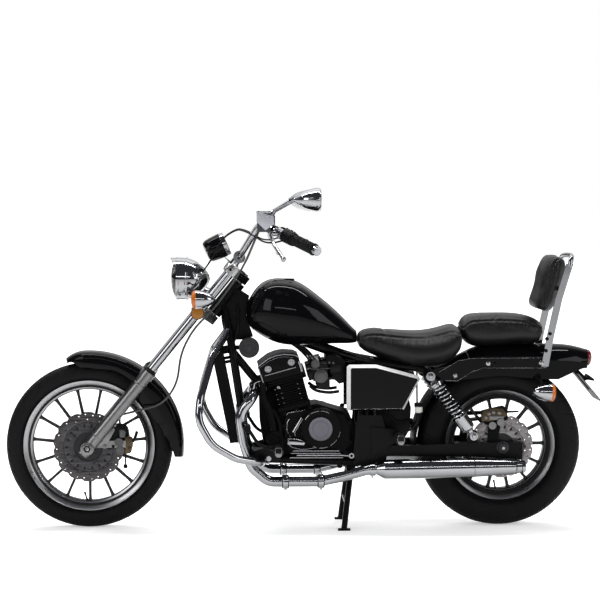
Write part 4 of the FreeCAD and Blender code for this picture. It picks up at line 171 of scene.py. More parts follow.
# the floor glows a little more far away, so that it fades into the white behind it, and less in reflections
floor_out = put(tree, "ShaderNodeOutputMaterial")
floor_body = put(tree, "ShaderNodeBsdfDiffuse", Color=(0.86, 0.86, 0.86, 1))
floor_glow = put(tree, "ShaderNodeEmission", Color=(1, 1, 1, 1))
floor_way = put(tree, "ShaderNodeTexCoord")
floor_far = put(tree, "ShaderNodeVectorMath", "LENGTH")
floor_fade = put(tree, "ShaderNodeMapRange", From_Min=1.6, From_Max=5.0, To_Min=0.42, To_Max=1.1)
floor_path = put(tree, "ShaderNodeLightPath")
floor_less = put(tree, "ShaderNodeMapRange", To_Min=1.0, To_Max=0.25)
floor_strength = put(tree, "ShaderNodeMath", "MULTIPLY")
floor_none = put(tree, "ShaderNodeEmission", Strength=0)
floor_mix = put(tree, "ShaderNodeMixShader")
floor_sum = put(tree, "ShaderNodeAddShader")
join(tree, floor_way.outputs["Object"], floor_far)
join(tree, floor_far.outputs["Value"], floor_fade, "Value")
join(tree, floor_path.outputs["Is Glossy Ray"], floor_less, "Value")
join(tree, floor_fade, floor_strength)
join(tree, floor_less, floor_strength, 1)
join(tree, floor_strength, floor_glow, "Strength")
join(tree, seen_ray(tree), floor_mix)
join(tree, floor_none, floor_mix, 1)
join(tree, floor_glow, floor_mix, 2)
join(tree, floor_body, floor_sum)
join(tree, floor_mix, floor_sum, 1)
join(tree, floor_sum, floor_out, "Surface")
floor_mesh.materials.append(floor_paint)


# Finishes that many pieces share. Each real surface has a slightly uneven colour, a film of dust that
# dulls the gloss in patches, and a fine grain; one node group gives all three, with its own values.
def build_handled_group():
    group = bpy.data.node_groups.new("handled surface", "ShaderNodeTree")
    face = group.interface
    for label, kind, value in (("Colour", "NodeSocketColor", (0.1, 0.1, 0.1, 1)),
                               ("Worn Colour", "NodeSocketColor", (0.1, 0.1, 0.1, 1)),
                               ("Patch Scale", "NodeSocketFloat", 6.0), ("Patch Amount", "NodeSocketFloat",
            0.3), ("Gloss Low", "NodeSocketFloat", 0.1), ("Gloss High", "NodeSocketFloat", 0.2),
                               ("Grain Scale", "NodeSocketFloat", 400.0), ("Grain Depth", "NodeSocketFloat",
            0.1)):
        face.new_socket(label, in_out="INPUT", socket_type=kind).default_value = value
    face.new_socket("Colour", in_out="OUTPUT", socket_type="NodeSocketColor")
    face.new_socket("Roughness", in_out="OUTPUT", socket_type="NodeSocketFloat")
    face.new_socket("Normal", in_out="OUTPUT", socket_type="NodeSocketVector")
    given = put(group, "NodeGroupInput")
    result = put(group, "NodeGroupOutput")
    where = put(group, "ShaderNodeTexCoord")
    patches = put(group, "ShaderNodeTexNoise", Detail=6, Roughness=0.62)
    join(group, where.outputs["Object"], patches, "Vector")
    join(group, given.outputs["Patch Scale"], patches, "Scale")
    spread = put(group, "ShaderNodeMapRange", From_Min=0.38, From_Max=0.68)
    join(group, patches.outputs["Fac"], spread, "Value")
    amount = put(group, "ShaderNodeMath", "MULTIPLY")
    join(group, spread, amount)
    join(group, given.outputs["Patch Amount"], amount, 1)
    blend = put(group, "ShaderNodeMix")
    blend.data_type = "RGBA"
    join(group, amount, blend, "Factor")
    join(group, given.outputs["Colour"], blend, "A")
    join(group, given.outputs["Worn Colour"], blend, "B")
    join(group, blend.outputs["Result"], result, "Colour")
    gloss = put(group, "ShaderNodeMapRange", From_Min=0.3, From_Max=0.7)
    join(group, patches.outputs["Fac"], gloss, "Value")
    join(group, given.outputs["Gloss Low"], gloss, "To Min")
    join(group, given.outputs["Gloss High"], gloss, "To Max")
    join(group, gloss, result, "Roughness")
    grain = put(group, "ShaderNodeTexNoise", Detail=3)
    join(group, where.outputs["Object"], grain, "Vector")
    join(group, given.outputs["Grain Scale"], grain, "Scale")
    bump = put(group, "ShaderNodeBump", Distance=0.0006)
    join(group, given.outputs["Grain Depth"], bump, "Strength")
    join(group, grain.outputs["Fac"], bump, "Height")
    join(group, bump.outputs["Normal"], result, "Normal")
    return group


handled_surface = build_handled_group()
finishes = {}


def finish(key, name, colour, worn, gloss, metallic=0.0, patch=(6.0, 0.4), grain=(400.0, 0.1), **sockets):
    # gloss holds the least and most roughness; patch and grain hold a scale and an amount
    paint = bpy.data.materials.new(name)
    paint.use_nodes = True
    tree = paint.node_tree
    shader = tree.nodes["Principled BSDF"]
    shader.inputs["Metallic"].default_value = metallic
    for label, value in sockets.items():
        shader.inputs[label.replace("_", " ")].default_value = value
    cover = tree.nodes.new("ShaderNodeGroup")
    cover.node_tree = handled_surface
    for place, value in enumerate(((*colour, 1), (*worn, 1), *patch, *gloss, *grain)):
        cover.inputs[place].default_value = value
    for label, place in (("Colour", "Base Color"), ("Roughness", "Roughness"), ("Normal", "Normal")):
        join(tree, cover.outputs[label], shader, place)
    finishes[key] = paint


def repaint(node, key):
    # a CAD node's own mesh in another finish
    nodes[node].data.materials.clear()
    nodes[node].data.materials.append(finishes[key])


finish("gloss_black", "gloss black lacquer", (0.0025, 0.0025, 0.003), (0.004, 0.004, 0.0045), (0.03, 0.07),
       grain=(90.0, 0.02), Specular_IOR_Level=0.14)
finish("frame_black", "frame black enamel", (0.003, 0.003, 0.0035), (0.007, 0.0065, 0.006), (0.2, 0.34),
       grain=(300.0, 0.12), Specular_IOR_Level=0.11)
finish("engine_black", "engine black coat", (0.004, 0.004, 0.0045), (0.01, 0.0095, 0.009), (0.38, 0.54),
       grain=(900.0, 0.5), Specular_IOR_Level=0.05)
finish("chrome", "chrome plate", (0.43, 0.435, 0.45), (0.34, 0.34, 0.35),
       (0.05, 0.12), metallic=1.0, grain=(60.0, 0.015))
finish("bare_aluminium", "bare aluminium", (0.24, 0.24, 0.245),
       (0.16, 0.158, 0.155), (0.2, 0.34), metallic=1.0, grain=(700.0, 0.2))
finish("brake_steel", "ground brake steel", (0.34, 0.34, 0.35),
       (0.24, 0.23, 0.22), (0.24, 0.36), metallic=1.0, grain=(500.0, 0.2))
finish("tyre_rubber", "tyre rubber", (0.004, 0.004, 0.0045), (0.01, 0.0095, 0.009), (0.5, 0.7), patch=(14.0, 0.5),
       grain=(600.0, 0.5), Specular_IOR_Level=0.13)
finish("rim_black", "rim black enamel", (0.016, 0.016, 0.017), (0.024, 0.024, 0.024), (0.2, 0.32),
       grain=(300.0, 0.1), Specular_IOR_Level=0.25)
finish("black_rubber", "moulded rubber", (0.004, 0.004, 0.004), (0.009, 0.009, 0.009), (0.5, 0.66),
       grain=(700.0, 0.4), Specular_IOR_Level=0.22)
finish("black_plastic", "moulded black plastic", (0.003, 0.003, 0.0035), (0.008, 0.008, 0.008), (0.34, 0.5),
       grain=(1200.0, 0.4), Specular_IOR_Level=0.1)
finish("reservoir_white", "milky plastic", (0.72, 0.72, 0.68),
       (0.55, 0.54, 0.48), (0.35, 0.5), Transmission_Weight=0.15)
finish("seat_vinyl", "pleated seat vinyl", (0.004, 0.004, 0.0043), (0.008, 0.008, 0.008), (0.32, 0.46),
       grain=(500.0, 0.6), Specular_IOR_Level=0.3)
finish("clear_lens", "clear lens", (0.95, 0.95, 0.95), (0.9, 0.9, 0.9), (0.02, 0.05), grain=(40.0, 0.01),
       Transmission_Weight=1.0, IOR=1.45)
finish("red_lens", "red lens", (0.42, 0.004, 0.004), (0.3, 0.004, 0.004), (0.05, 0.1), grain=(40.0, 0.01),
       Transmission_Weight=0.5, IOR=1.45)

for part in frame["record"]["subparts"]:
    repaint(part["node"], part["material_slot"])


# Wheels: cast rims with a polished lip on each side, black spokes and a rubber tyre pressed on.
# The tyres are moulded, with grooves cut into the crown and rings round the wall.
front_axle = Vector((0.8017, 0, 0.3096))
rear_axle = Vector((-0.7333, 0, 0.3075))
side_axis = Vector((0, 1, 0))
forward_axis = Vector((1, 0, 0))
back_axis = Vector((-1, 0, 0))
up_axis = Vector((0, 0, 1))


def away(side):
    # away from the machine's middle on the given side
    return Vector((0, side, 0))


def standing(axis):
    # a turn that carries the Z axis onto the given direction
    return Vector(axis).to_track_quat("Z", "Y").to_matrix().to_4x4()


def round_wheel(centre, reach, angle, y):
    # a point round a wheel's middle, at a distance and an angle in its plane
    return centre + Vector((reach * cos(angle), y, reach * sin(angle)))


def skin(bm, rings):
    # faces between neighbouring rings of points; a ring of one point is a tip
    for low, high in zip(rings, rings[1:]):
        count = max(len(low), len(high))
        for step in range(count):
            after = (step + 1) % count
            if len(low) == 1:
                bm.faces.new((low[0], high[after], high[step]))
            elif len(high) == 1:
                bm.faces.new((low[step], low[after], high[0]))
            else:
                bm.faces.new((low[step], low[after], high[after], high[step]))


def around_points(radius, count):
    return [(radius * cos(2 * pi * step / count), radius * sin(2 * pi * step / count)) for step in range(count)]


def spin_into(bm, profile, origin, axis, count=64):
    # profile points are (distance along the axis, radius); a radius of zero closes an end
    turn = Matrix.Translation(origin) @ standing(axis)
    rings = []
    for along, radius in profile:
        points = around_points(radius, count if radius > 0 else 1)
        rings.append([bm.verts.new(turn @ Vector((x, y, along))) for x, y in points])
    skin(bm, rings)


def stud(foot, shoulder, top, radius, top_radius):
    # the profile of a turned head with a chamfer
    return [(foot, radius), (shoulder, radius), (top, top_radius), (top, 0)]


def mesh_piece(name, bm, slot, body, paint=None, sharp=35, keep_open=False, stands_for=None):
    # one visible piece; the paint is another finish than the slot's own, stands_for the CAD node that it shows
    if not keep_open:
        bmesh.ops.recalc_face_normals(bm, faces=bm.faces)
    mesh = bpy.data.meshes.new(name)
    bm.to_mesh(mesh)
    bm.free()
    for face in mesh.polygons:
        face.use_smooth = True
    mesh.set_sharp_from_angle(angle=radians(sharp))
    piece = bpy.data.objects.new(name, mesh)
    scene.collection.objects.link(piece)
    mesh.materials.append(finishes[paint or slot])
    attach(piece, body)
    if stands_for:
        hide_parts(stands_for)


def curved(points, steps):
    # a smooth line through the given points
    line = []
    padded_points = [points[0]] + list(points) + [points[-1]]
    for a, b, c, d in zip(padded_points, padded_points[1:], padded_points[2:], padded_points[3:]):
        for step in range(steps):
            t = step / steps
            line.append(tuple(0.5 * (2 * q + (r - p) * t + (2 * p - 5 * q + 4 * r - s) * t * t
                                     + (3 * q - p - 3 * r + s) * t ** 3) for p, q, r, s in zip(a, b, c, d)))
    line.append(tuple(points[-1]))
    return line


tyre_section = ((0.6, 0.005), (0.64, 0.165), (0.92, 0.28), (1.0, 0.45),
                (0.95, 0.64), (0.74, 0.86), (0.4, 0.97), (0, 1))


def tyre(name, node, centre, radius, half_width, bead, count, slant, body):
    bm = bmesh.new()
    half = curved([(a * half_width, bead + (radius - bead) * b) for a, b in tyre_section], 7)
    section = half + [(-y, r) for y, r in reversed(half[:-1])]
    around = 560
    rings = []
    for y, reach in section:
        up = (reach - bead) / (radius - bead)
        ring = []
        for step in range(around):
            angle = 2 * pi * step / around
            drop = 0.0
            if up > 0.5:
                phase = (count * step / around + slant * (1 - up) * (1 if y > 0 else -1)
                         + (0.5 if y < 0 else 0)) % 1
                edge = min(phase, 1 - phase) * 2 * pi * radius / count
                if 0.55 < up < 0.985:
                    drop = 0.0042 * max(0.0, 1 - (edge / 0.0032) ** 4)
                if abs(abs(y) - half_width * 0.2) < 0.0026:
                    drop = 0.004
            elif 0.2 < up < 0.5:
                drop = 0.0005 * sin((up - 0.2) * 70)
            ring.append(bm.verts.new(round_wheel(centre, reach - drop, angle, y)))
        rings.append(ring)
    skin(bm, rings)
    mesh_piece(name, bm, "tyre_rubber", body, sharp=50, stands_for=node)


tyre("front_tyre_rubber", "front_tyre", front_axle, 0.3094, 0.0449, 0.231, 46, 2.2, "front_wheel")
tyre("rear_tyre_rubber", "rear_tyre", rear_axle, 0.3073, 0.0649, 0.193, 32, 1.1, "rear_wheel")


def spoked_rim(name, node, centre, bead, half_width, lip, well, count, offset, root, tip, depth, hub, hub_half,
               body):
    bm = bmesh.new()
    barrel = bead - well
    face = half_width * 0.5
    spin_into(bm, [(-half_width * 0.9, lip - 0.009), (-half_width, lip), (-half_width + 0.003, lip + 0.0003),
                   (-half_width + 0.005, lip - 0.002), (-half_width * 0.75, bead), (half_width * 0.75, bead),
                   (half_width - 0.005, lip - 0.002), (half_width - 0.003, lip + 0.0003), (half_width, lip),
                   (half_width * 0.9, lip - 0.009), (face, barrel + 0.002), (face - 0.003, barrel),
                   (-face + 0.003, barrel), (-face, barrel + 0.002), (-half_width * 0.9, lip - 0.009)],
              centre, side_axis, 160)
    spin_into(bm, [(-hub_half, 0.0085), (-hub_half, hub * 0.72), (-hub_half + 0.004, hub * 0.8),
                   (-depth * 0.62, hub), (depth * 0.62, hub), (hub_half - 0.004, hub * 0.8),
                   (hub_half, hub * 0.72), (hub_half, 0.0085)], centre, side_axis, 64)
    reach_shares = (0.0, 0.06, 0.14, 0.5, 0.88, 0.95, 1.0)
    flare_shares = (1.5, 1.12, 1.0, 0.94, 1.0, 1.25, 1.75)
    for number in range(count):
        turn = Matrix.Translation(centre) @ Matrix.Rotation(2 * pi * (number + offset) / count, 4, "Y")
        rings = []
        for along, flare in zip(reach_shares, flare_shares):
            radius = hub - 0.004 + (barrel + 0.006 - hub) * along
            half = (root + (tip - root) * along) / 2 * flare
            deep = depth * (root + (tip - root) * along) / root / 2 * (0.85 + 0.15 * flare)
            edge = half * 0.34
            ring = []
            for x, y in ((-half, -deep + edge), (-half + edge, -deep), (half - edge, -deep), (half, -deep + edge),
                         (half, -deep * 0.5), (half * 0.62, -deep * 0.36), (half * 0.62, deep * 0.36),
                         (half, deep * 0.5), (half, deep - edge), (half - edge, deep), (-half + edge, deep),
                         (-half, deep - edge), (-half, deep * 0.5), (-half * 0.62, deep * 0.36),
                         (-half * 0.62, -deep * 0.36), (-half, -deep * 0.5)):
                ring.append(bm.verts.new(turn @ Vector((x, y, radius))))
            rings.append(ring)
        skin(bm, rings)
    mesh_piece(name, bm, "rim_black", body, stands_for=node)
    for side in (-1, 1):
        bm = bmesh.new()
        spin_into(bm, [(side * (half_width - 0.0012), lip + 0.0006), (side * (half_width + 0.0004), lip),
                       (side * (half_width * 0.9 + 0.0008), lip - 0.009),
                       (side * (half_width * 0.78), lip - 0.016), (side * (half_width * 0.72), lip - 0.0165),
                       (side * (face + 0.003), barrel + 0.006), (side * (face + 0.0008), barrel + 0.0022),
                       (side * (face - 0.001), barrel + 0.003)], centre, side_axis, 160)
        mesh_piece(name + "_lip_" + ("left" if side > 0 else "right"),
                   bm, "bare_aluminium", body, paint="polished_lip")
    bm = bmesh.new()
    stem = centre + Vector((0.011, half_width * 0.3, -barrel + 0.002))
    spin_into(bm, [(-0.002, 0.0), (-0.002, 0.0045), (0.004, 0.0045), (0.006, 0.003), (0.026, 0.0027),
                   (0.028, 0.0038), (0.036, 0.0038), (0.037, 0.0)],
              stem, Vector((0.25, 0.45, 1)).normalized(), 16)
    mesh_piece(name + "_valve", bm, "black_rubber", body)


finish("polished_lip", "polished rim lip", (0.42, 0.42, 0.43),
       (0.3, 0.3, 0.31), (0.24, 0.36), metallic=1.0, grain=(300.0, 0.06))
spoked_rim("front_wheel_rim", "front_rim", front_axle, 0.231, 0.035, 0.2432, 0.0215, 15, 0.5, 0.013, 0.0088,
           0.026, 0.038, 0.044, "front_wheel")
spoked_rim("rear_wheel_rim", "rear_rim", rear_axle, 0.193, 0.05, 0.2058, 0.0225, 14, 0.5, 0.014, 0.0098, 0.03,
           0.044, 0.056, "rear_wheel")


# Brake discs: ground steel rings with a waved, drilled edge, riveted to a carrier with oval windows.
# The carrier is bolted to the hub on a turned seat.
def plate_into(bm, loops, thickness, place, bevel=0.0):
    # the first loop is the outline and the rest are holes, in the plate's own plane
    outline = bpy.data.curves.new("outline", "CURVE")
    outline.dimensions = "2D"
    outline.fill_mode = "BOTH"
    outline.extrude = thickness / 2 - bevel
    outline.bevel_depth = bevel
    outline.bevel_resolution = 1
    outline.offset = -bevel
    for loop in loops:
        spline = outline.splines.new("POLY")
        spline.points.add(len(loop) - 1)
        for point, (x, y) in zip(spline.points, loop):
            point.co = (x, y, 0, 1)
        spline.use_cyclic_u = True
    holder = bpy.data.objects.new("outline", outline)
    scene.collection.objects.link(holder)
    bpy.context.view_layer.update()
    cut = bpy.data.meshes.new_from_object(holder.evaluated_get(bpy.context.evaluated_depsgraph_get()))
    bpy.data.objects.remove(holder)
    bpy.data.curves.remove(outline)
    cut.transform(place)
    bm.from_mesh(cut)
    bpy.data.meshes.remove(cut)
    bmesh.ops.remove_doubles(bm, verts=bm.verts, dist=1e-6)


def ring_loop(radius, count=64, centre=(0, 0), squeeze=1.0, turn=0.0):
    loop = []
    for step in range(count):
        angle = 2 * pi * step / count
        x = radius * cos(angle)
        y = radius * squeeze * sin(angle)
        loop.append((centre[0] + x * cos(turn) - y * sin(turn), centre[1] + x * sin(turn) + y * cos(turn)))
    return loop


def facing(origin, axis):
    # a plane at the origin whose own z runs along the axis
    return Matrix.Translation(origin) @ standing(axis)


def bolt_into(bm, place, axis, across, height, washer=0.0):
    # a flanged cap screw with a hexagon socket
    radius = across / 2
    if washer:
        spin_into(bm, [(0, 0), (0, washer), (height * 0.18, washer), (height * 0.24, washer * 0.92),
                       (height * 0.24, radius)], place, axis, 20)
    spin_into(bm, [(0, 0), (0, radius), (height * 0.86, radius), (height, radius * 0.86),
                   (height, radius * 0.52)], place, axis, 20)
    spin_into(bm, [(height, radius * 0.52), (height * 0.45, radius * 0.5), (height * 0.45, 0)], place, axis, 6)


def disc_piece(name, node, centre, radius, y_middle, waves, body, ring_paint, carrier_paint):
    bm = bmesh.new()
    inner = radius * 0.715
    wave = []
    for step in range(waves * 16):
        angle = 2 * pi * step / (waves * 16)
        dip = max(0.0, cos(angle * waves)) ** 2
        reach = radius - 0.0055 * dip
        wave.append((reach * cos(angle), reach * sin(angle)))
    holes = [ring_loop(inner, 96)]
    for number in range(waves * 2):
        angle = 2 * pi * (number + 0.5) / (waves * 2)
        for reach in ((radius - 0.009, radius - 0.028) if number % 2 else (radius - 0.0125,)):
            holes.append(ring_loop(0.0024, 10, (reach * cos(angle + (reach - radius) * 3),
                                                reach * sin(angle + (reach - radius) * 3))))
    plate_into(bm, [wave] + holes, 0.0046, facing(centre + Vector((0, y_middle, 0)), side_axis), 0.0004)
    mesh_piece(name, bm, "brake_steel", body, paint=ring_paint, sharp=25, stands_for=node)
    bm = bmesh.new()
    carrier = [ring_loop(inner - 0.0014, 96), ring_loop(radius * 0.41, 48)]
    windows = 18
    for number in range(windows):
        angle = 2 * pi * number / windows
        reach = radius * 0.615
        carrier.append(ring_loop(0.0072, 14, (reach * cos(angle), reach * sin(angle)), 0.56, angle))
    plate_into(bm, carrier, 0.0046, facing(centre + Vector((0, y_middle + 0.0002, 0)), side_axis), 0.0006)
    for number in range(5):
        angle = 2 * pi * (number + 0.5) / 5
        reach = radius * 0.5
        bolt_into(bm, round_wheel(centre, reach, angle, y_middle + 0.002), side_axis, 0.011, 0.006, 0.008)
    for number in range(windows):
        angle = 2 * pi * (number + 0.5) / windows
        reach = inner - 0.001
        spin_into(bm, [(-0.0034, 0), (-0.0034, 0.0042), (0.0034, 0.0042), (0.0034, 0.0022), (0.0026, 0)],
                  round_wheel(centre, reach, angle, y_middle), side_axis, 16)
    mesh_piece(name + "_carrier", bm, "brake_steel", body, paint=carrier_paint, sharp=30)
    bm = bmesh.new()
    hub_end = 0.044 if y_middle < 0.07 else 0.056
    spin_into(bm, [(hub_end - 0.001, inner * 0.7), (y_middle - 0.0045, inner + 0.003),
                   (y_middle - 0.0028, inner + 0.003), (y_middle - 0.0028, 0.012)], centre, side_axis, 48)
    spin_into(bm, [(y_middle - 0.003, 0.034), (y_middle + 0.001, 0.034), (y_middle + 0.001, 0.018),
                   (y_middle - 0.001, 0.016), (y_middle - 0.001, 0.0085)], centre, side_axis, 40)
    mesh_piece(name + "_seat", bm, "rim_black", body)


# The front ring and its carrier are painted far darker than the rear disc's steel. This is painted dark
# reflection and shade on the same metal.
finish("ground_disc_painted_dark", "ground disc steel, painted dark", (0.085, 0.081, 0.083), (0.05, 0.047, 0.048), (0.24, 0.4), metallic=1.0,
       patch=(30.0, 0.5), grain=(900.0, 0.25))
finish("cast_carrier_painted_dark", "cast disc carrier, painted dark", (0.075, 0.075, 0.08), (0.05, 0.05, 0.052), (0.32, 0.48), metallic=1.0,
       patch=(40.0, 0.4), grain=(1200.0, 0.4))
finish("rear_disc_lighter", "rear disc steel, lighter", (0.26, 0.245, 0.25), (0.18, 0.17, 0.175), (0.3, 0.42), metallic=1.0,
       patch=(30.0, 0.4), grain=(900.0, 0.25))
disc_piece("front_disc_ring", "front_disc", front_axle, 0.13, 0.0605, 14, "front_wheel", "ground_disc_painted_dark",
           "cast_carrier_painted_dark")
disc_piece("rear_disc_ring", "rear_disc", rear_axle, 0.119, 0.0785, 14, "rear_wheel", "rear_disc_lighter", "rear_disc_lighter")


# The rider's seat, the pillion seat and the backrest pad: foam under black vinyl, sewn from a top panel
# and a side panel. The vinyl is gathered into small pleats under the seam, and it is pulled over a base.
vinyl_thickness = 0.003
puffing_frames = 20
slice_length = 0.006


def stuffed(name, node, voxel, swell, body, shape):
    # the foam swells by the given amount at most, less towards the base, and then the seams are pressed in
    source = nodes[node]
    bm = bmesh.new()
    bm.from_mesh(source.data)
    bmesh.ops.remove_doubles(bm, verts=bm.verts, dist=1e-5)
    bm.normal_update()
    for vert in bm.verts:
        vert.co -= vert.normal * vinyl_thickness
    mesh = bpy.data.meshes.new(name)
    bm.to_mesh(mesh)
    bm.free()
    work = bpy.data.objects.new(name + "_work", mesh)
    scene.collection.objects.link(work)
    remesh = work.modifiers.new("remesh", "REMESH")
    remesh.mode = "VOXEL"
    remesh.voxel_size = voxel
    soften = work.modifiers.new("soften", "SMOOTH")
    soften.iterations = 6
    flat = bpy.data.meshes.new_from_object(work.evaluated_get(bpy.context.evaluated_depsgraph_get()))
    bpy.data.objects.remove(work)
    start = [vert.co.copy() for vert in flat.vertices]
    piece = bpy.data.objects.new(name, flat)
    scene.collection.objects.link(piece)
    cloth = piece.modifiers.new("foam", "CLOTH")
    cloth.settings.use_pressure = True
    cloth.settings.uniform_pressure_force = 4
    cloth.settings.effector_weights.gravity = 0
    cloth.settings.quality = 4
    cloth.point_cache.frame_start = 1
    cloth.point_cache.frame_end = puffing_frames
    for frame_number in range(1, puffing_frames + 1):
        scene.frame_set(frame_number)
    puffed = bpy.data.meshes.new_from_object(piece.evaluated_get(bpy.context.evaluated_depsgraph_get()))
    piece.modifiers.clear()
    piece.data = puffed
    low = min(co.z for co in start)
    high = max(co.z for co in start)
    for vert, rest in zip(puffed.vertices, start):
        cap = 0.001 + (swell - 0.001) * min(1.0, max(0.0, (rest.z - low) / (high - low) * 2 - 0.6))
        moved = vert.co - rest
        if moved.length > cap:
            moved = moved.normalized() * cap
        vert.co = rest + moved
    scene.frame_set(1)
    finer = piece.modifiers.new("finer", "SUBSURF")
    finer.levels = 1
    fine = bpy.data.meshes.new_from_object(piece.evaluated_get(bpy.context.evaluated_depsgraph_get()))
    piece.modifiers.clear()
    piece.data = fine
    bm = bmesh.new()
    bm.from_mesh(fine)
    bm.normal_update()
    tops = {}
    widths = {}
    for vert in bm.verts:
        key = round(shape["along"](vert.co) / slice_length)
        tops[key] = max(tops.get(key, -9), shape["up"](vert.co))
        widths[key] = max(widths.get(key, 0), abs(vert.co.y))
    for vert in bm.verts:
        along = shape["along"](vert.co)
        key = round(along / slice_length)
        below = sum(tops.get(key + step, tops[key]) for step in (-2, -1, 0, 1, 2)) / 5 - shape["up"](vert.co)
        vert.co += vert.normal * shape["sew"](vert.co, along, below, widths[key])
    bm.to_mesh(fine)
    bm.free()
    for face in fine.polygons:
        face.use_smooth = True
    fine.materials.clear()
    fine.materials.append(finishes["seat_vinyl"])
    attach(piece, body)
    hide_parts(node)


def gathers(along, below, pitch, top, reach, depth):
    # soft folds that start at the seam and run out downwards
    if below < top - 0.003 or below > top + reach:
        return 0.0
    fade = min(1.0, (below - top + 0.003) / 0.006) * (1 - (below - top) / reach) ** 1.2
    wander = 0.35 * sin(along * 61 + 1.3) + 0.25 * sin(along * 147)
    fold = sin(2 * pi * (along / pitch + wander)) + 0.4 * sin(2 * pi * along / pitch * 1.93 + 2)
    return depth * fade * fold


def seam_line(below, at, depth):
    # a valley with a rolled edge on each side
    off = (below - at) / 0.0035
    return -depth * exp(-off * off) + depth * 0.45 * exp(-(abs(off) - 2) ** 2)


def sew_rider(place, along, below, width):
    if place.z < 0.618 and below > 0.05:
        return 0.0
    edge = abs(place.y) / width
    drop = 0.0
    if edge > 0.4:
        drop += seam_line(below, 0.024, 0.0022)
        drop += gathers(along, below, 0.0135, 0.025, 0.042, 0.0016)
    crease = (place.x + 0.3) / 0.006
    drop -= 0.0028 * exp(-crease * crease) * max(0.0, 1 - below / 0.05)
    return drop


def sew_pillion(place, along, below, width):
    if below > 0.085:
        return 0.0
    edge = abs(place.y) / width
    drop = 0.0
    if edge > 0.4 or place.x > -0.6 or place.x < -0.86:
        drop += seam_line(below, 0.026, 0.002)
        drop += gathers(along + place.y * 0.7, below, 0.014, 0.027, 0.03, 0.0012)
    for seam_at in (-0.635, -0.652):
        crease = (place.x - seam_at) / 0.0035
        drop -= 0.0013 * exp(-crease * crease)
    return drop


pad_lean = radians(17)


def sew_pad(place, along, below, width):
    # a welt runs round the pad between its front and rear panels
    return seam_line(below, 0.03, 0.002) + gathers(along + place.y, below, 0.015, 0.031, 0.02, 0.0008)


stuffed("rider_seat_cover", "rider_seat", 0.006, 0.008, "frame",
        {"along": lambda co: co.x, "up": lambda co: co.z, "sew": sew_rider})
stuffed("pillion_seat_cover", "pillion_seat", 0.0056, 0.007, "frame",
        {"along": lambda co: co.x, "up": lambda co: co.z, "sew": sew_pillion})
stuffed("backrest_pad_cover", "backrest_pad", 0.0052, 0.006, "frame",
        {"along": lambda co: co.z * cos(pad_lean) - co.x * sin(pad_lean),
         "up": lambda co: co.x * cos(pad_lean) + co.z * sin(pad_lean), "sew": sew_pad})


# Engine barrels and head: an alloy casting in black with thin cooling fins, leaning forward, and a five-sided
# head cover over it. Its edges are machined bright and two ring bolts hold each side.
def pipe_into(bm, points, radius, sides=12, squash=1.0):
    # a round rod swept along a line of points, with flat ends
    line = [Vector(point) for point in points]
    across = None
    rings = []
    for index, place in enumerate(line):
        way = (line[min(index + 1, len(line) - 1)] - line[max(index - 1, 0)]).normalized()
        if across is None:
            across = way.orthogonal().normalized()
        across = (across - way * across.dot(way)).normalized()
        other = way.cross(across)
        reach = radius[index] if isinstance(radius, (list, tuple)) else radius
        rings.append([bm.verts.new(place + across * reach * cos(2 * pi * step / sides)
                                   + other * reach * squash * sin(2 * pi * step / sides))
                      for step in range(sides)])
    skin(bm, rings)
    bm.faces.new(rings[0][::-1])
    bm.faces.new(rings[-1])


def flat_pipe(bm, y, line, radius, sides=8, squash=1.0):
    # a rod that lies in a plane along the machine; its line is given by x and z
    pipe_into(bm, [(x, y, z) for x, z in line], radius, sides, squash)


def side_plate(y):
    # a plate standing along the machine: its own x runs forward and its own y upward
    return plane((0, y, 0), forward_axis, up_axis, (0, -1, 0))


def rounded_box(half_x, half_y, corner, centre=(0, 0), steps=4):
    loop = []
    for sign_x, sign_y, start in ((1, 1, 0), (-1, 1, 90), (-1, -1, 180), (1, -1, 270)):
        for step in range(steps + 1):
            angle = radians(start + 90 * step / steps)
            loop.append((centre[0] + sign_x * (half_x - corner) + corner * cos(angle),
                         centre[1] + sign_y * (half_y - corner) + corner * sin(angle)))
    return loop


barrel_lean = radians(15)
barrel_up = Vector((sin(barrel_lean), 0, cos(barrel_lean)))
barrel_forward = Vector((cos(barrel_lean), 0, -sin(barrel_lean)))
barrel_foot = Vector((0.03925, 0, 0.4548))


def barrel_plane(rise):
    # its own x runs forward across the barrel and its own y to the left
    return plane(barrel_foot + barrel_up * rise, barrel_forward, side_axis, barrel_up)


finish("bright_edge", "machined bright edge", (0.45, 0.45, 0.46),
       (0.3, 0.3, 0.31), (0.2, 0.34), metallic=1.0, grain=(900.0, 0.2))
finish("dull_alloy", "cast alloy", (0.13, 0.13, 0.13), (0.08, 0.08, 0.08),
       (0.34, 0.5), metallic=1.0, grain=(900.0, 0.5))
bm = bmesh.new()
plate_into(bm, [rounded_box(0.062, 0.106, 0.012)], 0.016, barrel_plane(0.006), 0.002)
for side in (-1, 1):
    plate_into(bm, [rounded_box(0.049, 0.05, 0.03, (0, side * 0.052))], 0.094, barrel_plane(0.056))
for number in range(9):
    plate_into(bm, [rounded_box(0.061, 0.113, 0.024)], 0.0034, barrel_plane(0.019 + 0.0093 * number), 0.0009)
plate_into(bm, [rounded_box(0.066, 0.108, 0.012)], 0.034, barrel_plane(0.118), 0.002)
for number in range(4):
    plate_into(bm, [rounded_box(0.0745, 0.1155, 0.014)], 0.004, barrel_plane(0.104 + 0.0095 * number), 0.001)
head_line = ((0.1531, 0.5504), (0.1735, 0.6106), (0.1353, 0.6395), (0.107, 0.6512), (0.079, 0.6562),
             (0.0403, 0.6535), (0.0227, 0.6454), (0.0087, 0.5888))
plate_into(bm, [head_line], 0.231, side_plate(0), 0.004)
